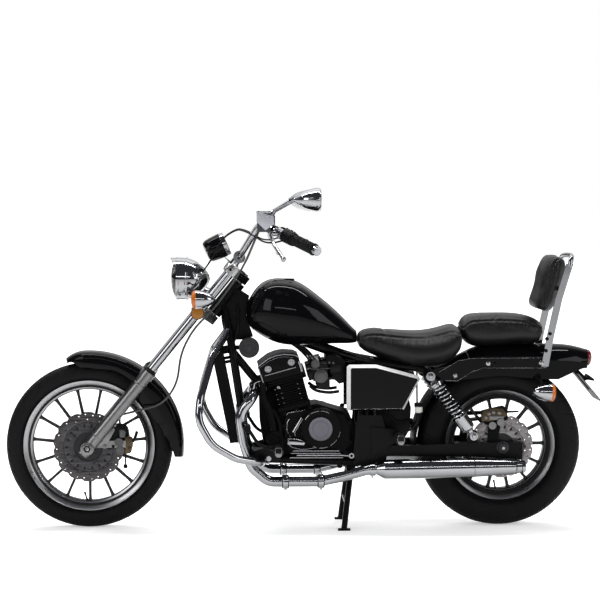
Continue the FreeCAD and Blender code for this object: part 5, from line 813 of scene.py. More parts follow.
for side in (-1, 1):
    inset = [(0.1475, 0.577), (0.1655, 0.6085), (0.133, 0.631),
             (0.106, 0.643), (0.079, 0.6478), (0.044, 0.645), (0.034, 0.6095)]
    plate_into(bm, [inset], 0.005, side_plate(side * 0.1165), 0.0012)
    for port in (-1, 1):
        spin_into(bm, [(0, 0.026), (0.006, 0.026), (0.008, 0.023), (0.014, 0.022), (0.014, 0)],
                  Vector((0.129, port * 0.062, 0.5345)), barrel_forward, 24)
mesh_piece("engine_barrels", bm, "engine_black", "frame", sharp=30, stands_for="cylinders")
bm = bmesh.new()
for side in (-1, 1):
    for y, radius, sides, line in (
            (0.1158, 0.0018, 8, head_line[1:7]), (0.1158, 0.0022, 8, ((0.1532, 0.5512), (0.1735, 0.6106))),
            (0.1192, 0.0011, 6, ((0.165, 0.6088), (0.1328, 0.6312), (0.106, 0.6428), (0.079, 0.6474),
                                 (0.044, 0.6447))),
            (0.1194, 0.0019, 8, ((0.1478, 0.5775), (0.034, 0.6092))),
            (0.1175, 0.0026, 8, ((0.0235, 0.6295), (0.0118, 0.592))),
            (0.1175, 0.0012, 8, ((0.0195, 0.6305), (0.0078, 0.593)))):
        flat_pipe(bm, side * y, line, radius, sides)
    for x, z in ((0.1362, 0.6020), (0.0510, 0.6275)):
        spin_into(bm, [(0.001, 0.0125), (0.0042, 0.0125), (0.0052, 0.0112), (0.0052, 0.0078), (0.0032, 0.0072),
                       (0.0032, 0.0052), (0.0058, 0.0046), (0.0062, 0.0036), (0.0062, 0)],
                  (x, side * 0.1175, z), away(side), 28)
    for number in range(5):
        for across in (-0.032, 0.032, 0.05):
            place = barrel_foot + barrel_up * (0.031 + 0.0186 * (number % 4))
            place += Vector((across - 0.002, side * 0.1132, -across * 0.268))
            spin_into(bm, [(-0.001, 0.0016), (0.0006, 0.0016), (0.001, 0)], place, away(side), 8)
    spin_into(bm, stud(-0.003, 0.003, 0.004, 0.006, 0.0045), (0.098, side * 0.1155, 0.534), away(side), 6)
mesh_piece("engine_head_trim", bm, "bare_aluminium", "frame", paint="bright_edge")


# Crankcase: the black clutch cover carries a smooth lilac-silver badge, left blank, inside a polished rim.
# Screws hold it round the edge; shift rods and small pipes run under it, and a filler casting stands in front.
def arc_points(x, z, radius, start, stop, y, count=24):
    return [(x + radius * cos(radians(start + (stop - start) * step / count)), y,
             z + radius * sin(radians(start + (stop - start) * step / count))) for step in range(count + 1)]


finish("lilac_silver", "satin lilac silver", (0.17, 0.163, 0.19),
       (0.13, 0.125, 0.145), (0.3, 0.42), metallic=0.7, grain=(1500.0, 0.15))
cover_x, cover_z = -0.0562, 0.3826
bm = bmesh.new()
spin_into(bm, [(0.146, 0.0438), (0.1485, 0.0438), (0.1494, 0.0428), (0.149, 0.0405), (0.1493, 0.031),
               (0.1486, 0.0302), (0.1486, 0.0292), (0.1493, 0.0284), (0.1495, 0)],
          (cover_x, 0, cover_z), side_axis, 72)
mesh_piece("clutch_badge", bm, "bare_aluminium", "frame", paint="lilac_silver")
bm = bmesh.new()
pipe_into(bm, arc_points(cover_x, cover_z, 0.0662, 32, 122, 0.1412), 0.0013, 8)
pipe_into(bm, arc_points(cover_x, cover_z, 0.0712, 172, 292, 0.1395), 0.0017, 8)
pipe_into(bm, arc_points(cover_x, cover_z, 0.0745, 190, 285, 0.1205), 0.0013, 8)
flat_pipe(bm, 0.118, curved([(-0.037, 0.3095), (0.01, 0.3045), (0.045, 0.311), (0.062, 0.325)], 6), 0.0016)
flat_pipe(bm, 0.1095, [(0.0687, 0.431), (0.064, 0.4385), (0.0017, 0.4478)], 0.0016)
flat_pipe(bm, 0.1095, curved([(0.058, 0.4155), (0.0655, 0.401), (0.0655, 0.372), (0.053, 0.345)], 6), 0.0012)
flat_pipe(bm, 0.1125, [(0.0126, 0.4202), (0.0443, 0.3671)], 0.0032, 10)
flat_pipe(bm, 0.1115, [(0.0066, 0.4182), (0.0383, 0.3651), (0.036, 0.353)], 0.0015, 10)
for rise, ahead_end, back_end, y, radius in ((0.2985, 0.045, -0.126, 0.1165, 0.0026),
                                             (0.2895, 0.052, -0.131, 0.1185, 0.0019),
                                             (0.2825, 0.03, -0.132, 0.1195, 0.0032),
                                             (0.2735, 0.056, -0.14, 0.1185, 0.0024)):
    flat_pipe(bm, y, [(ahead_end, rise), (back_end, rise - 0.001)], radius, 10)
flat_pipe(bm, 0.119, [(-0.128, 0.2825), (-0.163, 0.2792)], 0.0036, 10)
flat_pipe(bm, 0.119, [(-0.216, 0.295), (-0.239, 0.318)], 0.0036, 10)
for x, z in ((-0.1719, 0.2792), (-0.2161, 0.295)):
    spin_into(bm, [(-0.004, 0.0055), (-0.004, 0.0098), (0.004, 0.0098), (0.004, 0.0055), (-0.004, 0.0055)],
              (x, 0.119, z), side_axis, 28)
lever = [(0.0652, 0.3445), (0.03, 0.3445), (0.004, 0.3355), (-0.001, 0.326), (0.006, 0.3195), (0.0652, 0.3225)]
plate_into(bm, [lever], 0.009, side_plate(0.1165), 0.002)
spin_into(bm, stud(-0.004, 0.005, 0.0065, 0.0105, 0.009), (0.1342, 0.125, 0.2718), side_axis, 24)
mesh_piece("crankcase_rods", bm, "bare_aluminium", "frame", paint="bright_edge")
bm = bmesh.new()
plate_into(bm, [[(0.06, 0.3405), (0.032, 0.3405), (0.01, 0.3335), (0.006, 0.3285), (0.03, 0.3325),
                 (0.06, 0.334)]], 0.0012, side_plate(0.1215))
for angle in range(-150, 190, 34):
    place = Vector((cover_x + 0.0702 * cos(radians(angle)), 0.1085, cover_z + 0.0702 * sin(radians(angle))))
    spin_into(bm, stud(0.028, 0.034, 0.035, 0.0058, 0.005), place, side_axis, 12)
for x, z in ((0.0735, 0.438), (0.0775, 0.388), (0.0745, 0.335), (0.055, 0.306), (-0.15, 0.44), (-0.164, 0.4),
             (-0.168, 0.33), (-0.15, 0.29), (0.03, 0.45), (-0.02, 0.458)):
    for side in (1, -1):
        spin_into(bm, [(0, 0.0095), (0.0035, 0.0095)] + stud(0.0035, 0.011, 0.012, 0.006, 0.005),
                  (x, side * 0.1055, z), away(side), 12)
flat_pipe(bm, 0.1165, [(0.05, 0.294), (-0.13, 0.2935)], 0.0016)
pipe_into(bm, curved([(0.152, 0.09, 0.556), (0.155, 0.1, 0.5), (0.128, 0.104, 0.44), (0.112, 0.1, 0.36),
                      (0.118, 0.096, 0.3)], 8), 0.013, 14)
pipe_into(bm, curved([(0.118, 0.108, 0.45), (0.097, 0.114, 0.41), (0.089, 0.112, 0.36), (0.093, 0.106, 0.31)], 8),
          0.0065, 12)
spin_into(bm, [(0.088, 0.033), (0.113, 0.033), (0.118, 0.029), (0.118, 0.02), (0.114, 0.018), (0.114, 0)],
          (0.111, 0, 0.341), side_axis, 32)
for side in (-1, 1):
    spin_into(bm, [(0.104, 0.056), (0.109, 0.056), (0.111, 0.054), (0.111, 0.05), (0.1092, 0.049), (0.1092, 0)],
              (0.012, 0, 0.343), away(side), 40)
plate_into(bm, [[(0.1506, 0.5365), (0.169, 0.493), (0.1665, 0.402), (0.154, 0.322), (0.0785, 0.322),
                 (0.0785, 0.44), (0.0929, 0.5077)]], 0.09, side_plate(0), 0.006)
mesh_piece("crankcase_fittings", bm, "engine_black", "frame")

# Carburettors behind the head: two die-cast bodies with round black-chrome diaphragm caps, float bowls,
# rubber stubs, a choke rod and throttle cables that rise to the headstock.
bm = bmesh.new()
for side in (-1, 1):
    spin_into(bm, [(0, 0), (0, 0.0245), (0.004, 0.0255), (0.01, 0.0245), (0.012, 0.018), (0.0155, 0.0165),
                   (0.0165, 0.012), (0.0165, 0)], (-0.0606, side * 0.074, 0.5715), away(side), 36)
    spin_into(bm, [(0, 0), (0, 0.0165), (0.008, 0.0165), (0.0095, 0.0145), (0.0095, 0.009), (0.0125, 0.008),
                   (0.0125, 0)], (-0.0393, side * 0.07, 0.6161), away(side), 30)
    flat_pipe(bm, side * 0.078, [(-0.022, 0.598), (-0.118, 0.6015)], 0.0022)
    for x, z in ((-0.106, 0.6205), (-0.091, 0.6225), (-0.048, 0.596), (-0.076, 0.5565)):
        spin_into(bm, stud(0, 0.006, 0.007, 0.0048, 0.0038), (x, side * 0.079, z), away(side), 6)
mesh_piece("carburettor_caps", bm, "bare_aluminium", "frame", paint="dull_alloy")
bm = bmesh.new()
for side in (-1, 1):
    plate_into(bm, [rounded_box(0.042, 0.03, 0.012, (-0.064, 0.586))], 0.05, side_plate(side * 0.05), 0.003)
    plate_into(bm, [rounded_box(0.024, 0.018, 0.008, (-0.07, 0.541))], 0.04, side_plate(side * 0.05), 0.003)
    pipe_into(bm, curved([(-0.02, side * 0.06, 0.533), (-0.045, side * 0.07, 0.517), (-0.09, side * 0.072, 0.51),
                          (-0.128, side * 0.07, 0.514)], 6), 0.006, 10)
    for number in range(3):
        back = 0.012 * number
        pipe_into(bm, curved([(-0.03 - back, side * 0.072, 0.6), (-0.004 - back, side * 0.07, 0.645),
                              (0.05 - 0.01 * number, side * 0.05, 0.69), (0.15, side * 0.034, 0.74)], 6),
                  0.0028, 8)
    flat_pipe(bm, side * 0.062, [(-0.012, 0.5745), (-0.03, 0.579)], 0.022, 20)
    flat_pipe(bm, side * 0.062, [(-0.095, 0.596), (-0.135, 0.6)], 0.023, 20)
mesh_piece("carburettor_bodies", bm, "black_rubber", "frame")


# Front fork: chromed tubes in polished sliders, with rubber dust seals on top. The left slider's foot is a
# round boss with a dark axle nut, and a cast web runs back from it to carry the caliper.
finish("cable_sheath", "grey cable sheath", (0.07, 0.07, 0.072),
       (0.045, 0.045, 0.046), (0.35, 0.5), metallic=0.6, grain=(900.0, 0.3))


def fork_point(ahead_of_legs, across, along_legs):
    # measured from the middle of the front axle
    return Vector((0.8017 + 0.775 * ahead_of_legs - 0.632 * along_legs, across,
                   0.3096 + 0.632 * ahead_of_legs + 0.775 * along_legs))


def leg(side):
    # the foot of the fork leg on that side
    return fork_point(0, side * 0.095, 0)


fork_up = Vector((-0.632, 0, 0.775)).normalized()
repaint("fork_tubes", "chrome")
repaint("front_brake_hose", "cable_sheath")
repaint("hand_controls", "chrome")
finish("dark_steel", "dark plated steel", (0.05, 0.05, 0.055),
       (0.09, 0.08, 0.075), (0.3, 0.45), metallic=0.9, grain=(800.0, 0.3))
finish("bronze_cast", "bronze anodised casting", (0.11, 0.085, 0.05), (0.06, 0.045, 0.03), (0.3, 0.45),
       metallic=1.0, grain=(900.0, 0.4))
bm = bmesh.new()
for side in (-1, 1):
    spin_into(bm, [(0.0155, 0.0), (0.0155, 0.0215), (0.026, 0.0255), (0.0285, 0.0245), (0.03, 0.0205), (0.03, 0)],
              leg(side), away(side), 32)
    for start, stop, low, high in ((0.3, 0.307, 0.0255, 0.0268), (0.05, 0.058, 0.0254, 0.0264)):
        spin_into(bm, [(start, low), (start + 0.002, high), (stop - 0.002, high), (stop, low)],
                  leg(side), fork_up, 40)
web = [(0.7777, 0.3226), (0.7177, 0.3786), (0.706, 0.3846),
       (0.7, 0.377), (0.7327, 0.3186), (0.741, 0.309), (0.7547, 0.3156)]
plate_into(bm, [web], 0.007, side_plate(0.0915), 0.0016)
for x, z in ((0.7397, 0.3156), (0.704, 0.3956)):
    bolt_into(bm, (x, 0.095, z), side_axis, 0.011, 0.006, 0.0085)
mesh_piece("slider_feet", bm, "bare_aluminium", "steering")
bm = bmesh.new()
for side in (-1, 1):
    spin_into(bm, [(0.362, 0.0185), (0.362, 0.0255), (0.366, 0.0262), (0.369, 0.0235), (0.373, 0.0225),
                   (0.376, 0.0186)], leg(side), fork_up, 40)
    spin_into(bm, [(0.029, 0.0145), (0.0335, 0.0145), (0.0345, 0.0135), (0.0345, 0.0085), (0.033, 0.0075),
                   (0.033, 0)], leg(side), away(side), 6)
mesh_piece("fork_seals", bm, "black_rubber", "steering")

# Front caliper: an alloy body over the disc, gold anodised behind, two round grey piston pots outside,
# a black bracket to the slider, a banjo fitting and a rubber-capped bleed pin below.
repaint("front_caliper", "engine_black")
bm = bmesh.new()
for x, z in ((0.6867, 0.3301), (0.6827, 0.2991)):
    spin_into(bm, [(0, 0.0172), (0.012, 0.0172), (0.0145, 0.0158), (0.0148, 0.0125), (0.0142, 0.0118),
                   (0.0142, 0)], (x, 0.081, z), side_axis, 32)
plate_into(bm, [rounded_box(0.011, 0.0155, 0.004, (0.674, 0.3625))], 0.012, side_plate(0.087), 0.003)
spin_into(bm, [(0, 0.0095), (0.007, 0.0095), (0.008, 0.007), (0.012, 0.0065), (0.012, 0)],
          (0.6707, 0.09, 0.3676), side_axis, 24)
mesh_piece("caliper_pots", bm, "bare_aluminium", "steering", paint="dull_alloy")
bm = bmesh.new()
plate_into(bm, [[(0.667, 0.282), (0.664, 0.345), (0.655, 0.352), (0.64, 0.349), (0.634, 0.335), (0.637, 0.31),
                 (0.648, 0.29)]], 0.016, side_plate(0.082), 0.0035)
for x, z in ((0.6507, 0.3386), (0.6487, 0.3056)):
    bolt_into(bm, (x, 0.0895, z), side_axis, 0.012, 0.007, 0.009)
mesh_piece("caliper_casting", bm, "bare_aluminium", "steering", paint="bronze_cast")
bm = bmesh.new()
plate_into(bm, [[(0.712, 0.392), (0.69, 0.401), (0.662, 0.396), (0.652, 0.383), (0.66, 0.372), (0.683, 0.371),
                 (0.693, 0.345), (0.7, 0.318), (0.722, 0.3), (0.733, 0.308), (0.722, 0.334), (0.712, 0.352)]],
           0.006, side_plate(0.0845), 0.0015)
flat_pipe(bm, 0.086, [(0.6637, 0.29), (0.6637, 0.246)], 0.0028)
spin_into(bm, [(-0.009, 0), (-0.007, 0.006), (0, 0.0085), (0.007, 0.005), (0.009, 0)],
          (0.6637, 0.086, 0.24), up_axis, 16)
for x, z in ((0.693, 0.393), (0.672, 0.388), (0.708, 0.315)):
    spin_into(bm, stud(0, 0.008, 0.0095, 0.0065, 0.005), (x, 0.0865, z), side_axis, 6)
pipe_into(bm, curved([(0.636, 0.088, 0.332), (0.628, 0.09, 0.345), (0.62, 0.096, 0.37)], 5), 0.0055, 10)
mesh_piece("caliper_bracket", bm, "black_plastic", "steering")

# Front fender: one pressed steel arch in gloss black, round in section, with a pointed beak at the front,
# a rolled lower edge and a square-cut tail. Bolts hold it to the sliders.
def fender_edge(angle):
    # the radius of the lower edge along the arch, read at a few angles and smoothed
    marks = ((78.5, 0.322), (85.0, 0.298), (97.0, 0.2935), (111.0, 0.3015), (125.0, 0.2955), (131.5, 0.262),
             (143.5, 0.2545), (156.5, 0.2655), (169.5, 0.283), (179.5, 0.3055), (187.0, 0.322))
    for (a, low), (b, high) in zip(marks, marks[1:]):
        if angle <= b:
            share = (angle - a) / (b - a)
            share = share * share * (3 - 2 * share)
            return low + (high - low) * share
    return marks[-1][1]


bm = bmesh.new()
first, last, stations = 75.5, 187.0, 120
arch_rings = []
for station in range(stations + 1):
    angle = first + (last - first) * station / stations
    beak = min(1.0, max(0.0, (angle - first) / 12))
    crown = 0.3535 - 0.018 * (1 - beak) ** 2
    shelf = min(fender_edge(max(angle, 78.5)), crown - 0.004)
    half = 0.0605 * (0.35 + 0.65 * sqrt(beak)) if beak < 1 else 0.0605
    way = Vector((cos(radians(angle)), 0, sin(radians(angle))))
    ring = []
    outer = []
    for step in range(33):
        across = (step / 32 * 2 - 1)
        turn = across * pi / 2
        bulge = copysign(abs(sin(turn)) ** 0.8, across)
        lift = max(0.0, cos(turn)) ** 0.75
        shoulder = 0.322 - 0.01 * (1 - beak)
        low = min(shoulder, shelf)
        if abs(across) > 0.86:
            share = (abs(across) - 0.86) / 0.14
            base = shoulder + (crown - shoulder) * (cos(0.86 * pi / 2) ** 0.75)
            reach = base + (shelf - base) * share
            wide = half * (0.975 + 0.025 * share)
        else:
            reach = shoulder + (crown - shoulder) * lift
            wide = half * abs(bulge) * 0.985
        outer.append((copysign(wide, across), max(reach, low)))
    for y, reach in outer:
        ring.append(bm.verts.new(front_axle + way * reach + Vector((0, y, 0))))
    for y, reach in reversed(outer):
        ring.append(bm.verts.new(front_axle + way * (reach - 0.0024) + Vector((0, y * 0.965, 0))))
    arch_rings.append(ring)
skin(bm, arch_rings)
for ring in (arch_rings[0], arch_rings[-1][::-1]):
    for step in range(32):
        bm.faces.new((ring[step], ring[step + 1], ring[64 - step], ring[65 - step]))
for side in (-1, 1):
    for along in (0.262, 0.282):
        place = fork_point(0.012 if along < 0.27 else -0.012, side * 0.0605, along)
        spin_into(bm, stud(-0.004, 0.008, 0.0095, 0.007, 0.005), place, away(side), 16)
mesh_piece("front_fender_arch", bm, "gloss_black", "steering", sharp=45, stands_for="front_fender")
bm = bmesh.new()
for side in (-1, 1):
    turn = Matrix.Rotation(radians(-39.2), 4, "Y") @ Matrix.Rotation(radians(90), 4, "X")
    plate_into(bm, [rounded_box(0.019, 0.02, 0.006)], 0.012,
               Matrix.Translation(fork_point(0, side * 0.0655, 0.264)) @ turn, 0.002)
mesh_piece("front_fender_lugs", bm, "gloss_black", "steering")

# Headlamp: a chromed bullet with a visor over the glass. Inside sits a polished bowl with a bulb cap,
# and a chrome ring clamps the domed glass, which has moulded flutes on its inner face.
lamp_centre = Vector((0.4717, 0, 0.9296))
bm = bmesh.new()
spin_into(bm, [(-0.096, 0.008), (-0.088, 0.026), (-0.07, 0.046), (-0.045, 0.062), (-0.02, 0.071),
               (-0.002, 0.0745)], lamp_centre, forward_axis, 64)
mesh_piece("headlamp_bowl", bm, "chrome", "steering", paint="bright_edge", keep_open=True)
bm = bmesh.new()
spin_into(bm, [(-0.02, 0), (-0.021, 0.011), (-0.05, 0.014), (-0.09, 0.014)], lamp_centre, forward_axis, 32)
spin_into(bm, [(-0.008, 0.0782), (-0.004, 0.0796), (0.002, 0.0794), (0.004, 0.0775), (0.0035, 0.0752),
               (-0.001, 0.0745), (-0.008, 0.0765), (-0.008, 0.0782)], lamp_centre, forward_axis, 96)
spin_into(bm, [(-0.04, 0.078), (-0.038, 0.0792), (-0.034, 0.0792), (-0.032, 0.078)],
          lamp_centre, forward_axis, 96)
mesh_piece("headlamp_ring", bm, "chrome", "steering")
bm = bmesh.new()
glass_rim = 0.0745
for height, flute, radii in ((0.0225, 0, (0.0, 0.012, 0.024, 0.036, 0.048, 0.058, 0.066, 0.072, 0.0742)),
                             (0.0195, 0.0006, (0.0742, 0.071, 0.065, 0.057, 0.047, 0.035, 0.023, 0.011, 0.0))):
    spin_into(bm, [(height * (1 - (radius / glass_rim) ** 2) ** 0.62 - flute * (number % 2), radius)
                   for number, radius in enumerate(radii)], lamp_centre, forward_axis, 72)
mesh_piece("headlamp_glass", bm, "clear_lens", "steering", stands_for="headlight_lens")

# Front signals and side reflectors: chromed teardrop shells with an amber lens in front on a short stem;
# below them a round amber reflector in a chrome cup on each side of the lower yoke.
finish("amber_glow", "deep amber lens", (0.62, 0.15, 0.006),
       (0.45, 0.1, 0.005), (0.1, 0.2), grain=(300.0, 0.1), Transmission_Weight=0.1)


def teardrop_signal(name, node, tip, body, way):
    # the lens end first; tip is the foremost point of the lens on the lamp's own axis
    chrome_bm, lens_bm = bmesh.new(), bmesh.new()
    for side in (-1, 1):
        place = Vector((tip[0], side * tip[1], tip[2]))
        spin_into(chrome_bm, [(-0.0185, 0.0335), (-0.017, 0.0342), (-0.0205, 0.0345), (-0.033, 0.0335),
                              (-0.048, 0.0305), (-0.064, 0.0245), (-0.076, 0.017), (-0.086, 0.008), (-0.0895, 0)],
                  place, way, 48)
        spin_into(lens_bm, [(0, 0), (-0.0006, 0.012), (-0.003, 0.024), (-0.008, 0.0315), (-0.0175, 0.0338),
                            (-0.0185, 0.0325)], place, way, 48)
        for radius in (0.01, 0.018, 0.025):
            spin_into(lens_bm, [(-0.0035, radius - 0.001), (-0.0002 - radius * 0.1, radius),
                                (-0.0035, radius + 0.001)], place, way, 48)
    mesh_piece(name + "_shells", chrome_bm, "chrome", body, stands_for=node)
    mesh_piece(name + "_lenses", lens_bm, "red_lens", body, paint="amber_glow")


signal_height = 0.862
teardrop_signal("front_signal", "front_signals", (0.4158, 0.195, signal_height), "steering", forward_axis)
bm, cups = bmesh.new(), bmesh.new()
for side in (-1, 1):
    reflector = Vector((0.394, side * 0.124, 0.8095))
    pipe_into(bm, [(0.351, side * 0.172, signal_height), (0.351, side * 0.124, signal_height)], 0.008, 16)
    spin_into(bm, [(0, 0.0125), (0.006, 0.0125), (0.008, 0.0095), (0.012, 0.0085)],
              (0.351, side * 0.122, signal_height), away(side), 24)
    spin_into(bm, [(-0.005, 0.004), (0.001, 0.023), (0.003, 0.0246), (0.0072, 0.0246), (0.0078, 0.0228),
                   (0.006, 0.0222)], reflector, away(side), 40)
    pipe_into(bm, [reflector, (0.372, side * 0.1, 0.833)], 0.005, 10)
    spin_into(cups, [(0.0035, 0.0226), (0.0076, 0.0222), (0.0092, 0.0185), (0.0094, 0)],
              reflector, away(side), 40)
mesh_piece("front_signal_stems", bm, "black_plastic", "steering")
finish("amber_dull", "amber reflector", (0.34, 0.13, 0.006),
       (0.2, 0.08, 0.005), (0.12, 0.2), patch=(220.0, 0.8), grain=(600.0, 0.6))
mesh_piece("front_reflectors", cups, "red_lens", "steering", paint="amber_dull")

# Speedometer: a chromed cup on a stay above the top yoke, its dial tilted to the rider. The dial is matt
# black with white ticks and plain numbers, a red hand and a flat glass under the chrome ring.
dial_tilt = radians(24.2)
dial_axis = Vector((-cos(dial_tilt), 0, sin(dial_tilt)))
dial_up = Vector((sin(dial_tilt), 0, cos(dial_tilt)))
dial_face = Vector((0.323, 0, 1.0458)) + dial_axis * 0.038
dial_right = dial_up.cross(dial_axis)
bm = bmesh.new()
spin_into(bm, [(-0.014, 0.0432), (-0.004, 0.0434), (0.0012, 0.0424), (0.0018, 0.0405), (0.0004, 0.0388),
               (-0.003, 0.0384)], dial_face, dial_axis, 72)
spin_into(bm, [(-0.0775, 0.0375), (-0.0805, 0.0345), (-0.083, 0.027), (-0.0835, 0)], dial_face, dial_axis, 72)
mesh_piece("speedometer_rings", bm, "chrome", "steering")
bm = bmesh.new()
spin_into(bm, [(-0.013, 0.0428), (-0.0145, 0.0449), (-0.018, 0.0452), (-0.055, 0.0432), (-0.07, 0.0412),
               (-0.0778, 0.0372)], dial_face, dial_axis, 72)
mesh_piece("speedometer_cup", bm, "gloss_black", "steering")
bm = bmesh.new()
spin_into(bm, [(-0.0034, 0.039), (-0.003, 0)], dial_face, dial_axis, 48)
mesh_piece("speedometer_dial", bm, "black_plastic", "steering")
finish("dial_white", "dial white", (0.8, 0.8, 0.8), (0.7, 0.7, 0.7), (0.4, 0.5))
finish("dial_red", "dial red", (0.6, 0.01, 0.01), (0.5, 0.01, 0.01), (0.4, 0.5))


def on_dial(right_share, up_share, lift):
    return dial_face + dial_right * right_share + dial_up * up_share + dial_axis * lift


bm = bmesh.new()
for tick in range(29):
    angle = radians(225 - 270 * tick / 28)
    inner = 0.0315 if tick % 2 == 0 else 0.0335
    pipe_into(bm, [on_dial(inner * cos(angle), inner * sin(angle), -0.0024),
                   on_dial(0.0365 * cos(angle), 0.0365 * sin(angle), -0.0024)], 0.0004, 4)
for number in range(8):
    angle = radians(225 - 270 * number / 7)
    text = bpy.data.curves.new("number", "FONT")
    text.body = str(number * 20)
    text.size = 0.0072
    text.align_x = "CENTER"
    text.align_y = "CENTER"
    holder = bpy.data.objects.new("number", text)
    scene.collection.objects.link(holder)
    bpy.context.view_layer.update()
    figures = bpy.data.meshes.new_from_object(holder.evaluated_get(bpy.context.evaluated_depsgraph_get()))
    bpy.data.objects.remove(holder)
    place = on_dial(0.026 * cos(angle), 0.026 * sin(angle), -0.0022)
    figures.transform(plane(place, dial_right, dial_up, dial_axis))
    bm.from_mesh(figures)
    bpy.data.meshes.remove(figures)
mesh_piece("speedometer_figures", bm, "reservoir_white", "steering", paint="dial_white", keep_open=True)
bm = bmesh.new()
pipe_into(bm, [on_dial(0.005, 0.005, -0.0014), on_dial(-0.021, -0.021, -0.0014)], [0.0012, 0.0004], 6)
spin_into(bm, stud(-0.003, -0.0008, -0.0004, 0.0042, 0.003), dial_face, dial_axis, 24)
mesh_piece("speedometer_hand", bm, "red_lens", "steering", paint="dial_red")
bm = bmesh.new()
spin_into(bm, [(0.0002, 0), (0.0002, 0.0388), (-0.0004, 0.0388), (-0.0004, 0)], dial_face, dial_axis, 48)
mesh_piece("speedometer_glass", bm, "clear_lens", "steering")

# Handlebar fittings: ribbed rubber grips with chromed end weights, black switch housings with small
# buttons, a black collar and mirror clamp, and the chromed fluid box with its lid and four screws.
bm, caps, dark = bmesh.new(), bmesh.new(), bmesh.new()
for side in (-1, 1):
    end = Vector((-0.02375, side * 0.4, 1.0458))
    inward = Vector((0.605, -side * 0.7405, 0.292)).normalized()
    profile = [(0.004, 0.0112), (0.004, 0.0215), (0.0075, 0.0222)]
    for rib in range(25):
        start = 0.0085 + rib * 0.0042
        profile += [(start, 0.0196), (start + 0.0014, 0.0196), (start + 0.0019, 0.0204), (start + 0.0037, 0.0204)]
    profile += [(0.114, 0.0196), (0.1145, 0.0232), (0.119, 0.0232), (0.12, 0.022), (0.12, 0.0112)]
    spin_into(bm, profile, end, inward, 40)
    spin_into(caps, [(-0.0168, 0), (-0.0168, 0.0065), (-0.0125, 0.0075), (-0.0125, 0.0125), (-0.0165, 0.0145),
                     (-0.013, 0.017), (0.003, 0.017), (0.004, 0.0112)], end, inward, 40)
    spin_into(dark, [(0.1213, 0.0112), (0.1213, 0.0232), (0.1225, 0.0246), (0.144, 0.0246), (0.1445, 0.0238),
                     (0.1455, 0.0238), (0.146, 0.0246), (0.1675, 0.0246), (0.1688, 0.0232), (0.1688, 0.0112)],
              end, inward, 40)
    for start, stop, reach in ((0.176, 0.192, 0.0166), (0.23, 0.245, 0.0164)):
        spin_into(dark, [(start, 0.0112), (start, 0.0152), (start + 0.002, reach), (stop - 0.002, reach),
                         (stop, 0.0152), (stop, 0.0112)], end, inward, 32)
    for along, height in ((0.134, 0.026), (0.15, 0.0275)):
        spin_into(dark, [(0.02, 0.0052), (height, 0.0048), (height + 0.0008, 0.0036), (height + 0.0008, 0)],
                  end + inward * along, (-0.55, 0, 0.83), 16)
    foot = Vector((0.1199, side * 0.2241, 1.1288))
    pipe_into(dark, [foot - up_axis * 0.006, foot + up_axis * 0.036], 0.0078, 16)
mesh_piece("handlebar_grips", bm, "black_rubber", "steering", stands_for="grips")
mesh_piece("handlebar_ends", caps, "chrome", "steering")
mesh_piece("handlebar_switches", dark, "black_plastic", "steering")
bm = bmesh.new()
plate_into(bm, [rounded_box(0.0262, 0.0212, 0.005, (0.1529, 0.2596))],
           0.007, Matrix.Translation((0, 0, 1.1773)), 0.002)
for x, y in ((0.134, 0.245), (0.134, 0.2745), (0.172, 0.245), (0.172, 0.2745)):
    spin_into(bm, stud(0, 0.0012, 0.0018, 0.0032, 0.002), (x, y, 1.1804), up_axis, 12)
mesh_piece("fluid_box_lid", bm, "chrome", "steering")
# The side of the chromed fluid box is painted a light bluish silver. This is a painted reflection in place of
# what its chrome would mirror.
bm = bmesh.new()
plate_into(bm, [[(0.1785, 1.1805), (0.128, 1.1665), (0.1165, 1.1615), (0.1165, 1.135), (0.1475, 1.112),
                 (0.1785, 1.1415)]], 0.0394, side_plate(0.2596), 0.002)
finish("painted_reflection_silver", "silver with painted reflection", (0.5, 0.5, 0.55), (0.4, 0.4, 0.44),
       (0.3, 0.4), metallic=0.55, grain=(900.0, 0.1))
mesh_piece("fluid_box_shell", bm, "chrome", "steering", paint="painted_reflection_silver")

# Mirrors: chromed teardrop shells on chromed arms. The glass sits in a thin black gasket and faces the rider.
finish("mirror_glass", "mirror glass", (0.8, 0.8, 0.82), (0.76, 0.76, 0.78),
       (0.01, 0.03), metallic=1.0, grain=(20.0, 0.005))
for side in (-1, 1):
    bm, gasket = bmesh.new(), bmesh.new()
    for mesh_part, reach, depth in ((bm, 0.93, 0.0016), (gasket, 0.985, 0.001)):
        oval = ring_loop(0.058 * reach, 56, squeeze=0.0385 / 0.058)
        plate_into(mesh_part, [oval], 0.0022, plane((-0.0438 - depth, side * 0.345, 1.2208),
                                                    side_axis, up_axis, back_axis), 0.0004)
    label = "left" if side > 0 else "right"
    mesh_piece("mirror_glass_" + label, bm, "chrome", "steering", paint="mirror_glass")
    mesh_piece("mirror_gasket_" + label, gasket, "black_rubber", "steering")

# Yokes: the top one is brushed alloy over black paint, with a cap nut on each tube and on the stem.
# The handlebar sits in two split clamps with four socket screws.
bm = bmesh.new()
for side in (-1, 1):
    spin_into(bm, [(0.8275, 0.0187), (0.8275, 0.0278), (0.829, 0.0292), (0.858, 0.0292), (0.8605, 0.0275),
                   (0.8605, 0.0187)], leg(side), fork_up, 40)
    spin_into(bm, [(0.8605, 0.0165), (0.8665, 0.0165), (0.8685, 0.0145), (0.8685, 0.009), (0.8665, 0.008),
                   (0.8665, 0)], leg(side), fork_up, 6)
fork_forward = Vector((0.775, 0, 0.632)).normalized()
yoke_middle = fork_point(0, 0, 0.844)
plate_into(bm, [[(-0.024, -0.075), (-0.05, -0.03), (-0.05, 0.03), (-0.024, 0.075), (-0.021, 0.105),
                 (0.021, 0.105), (0.0255, 0.06), (0.0255, -0.06), (0.021, -0.105), (-0.021, -0.105)]], 0.0312,
           plane(yoke_middle, fork_forward, side_axis, fork_up), 0.003)
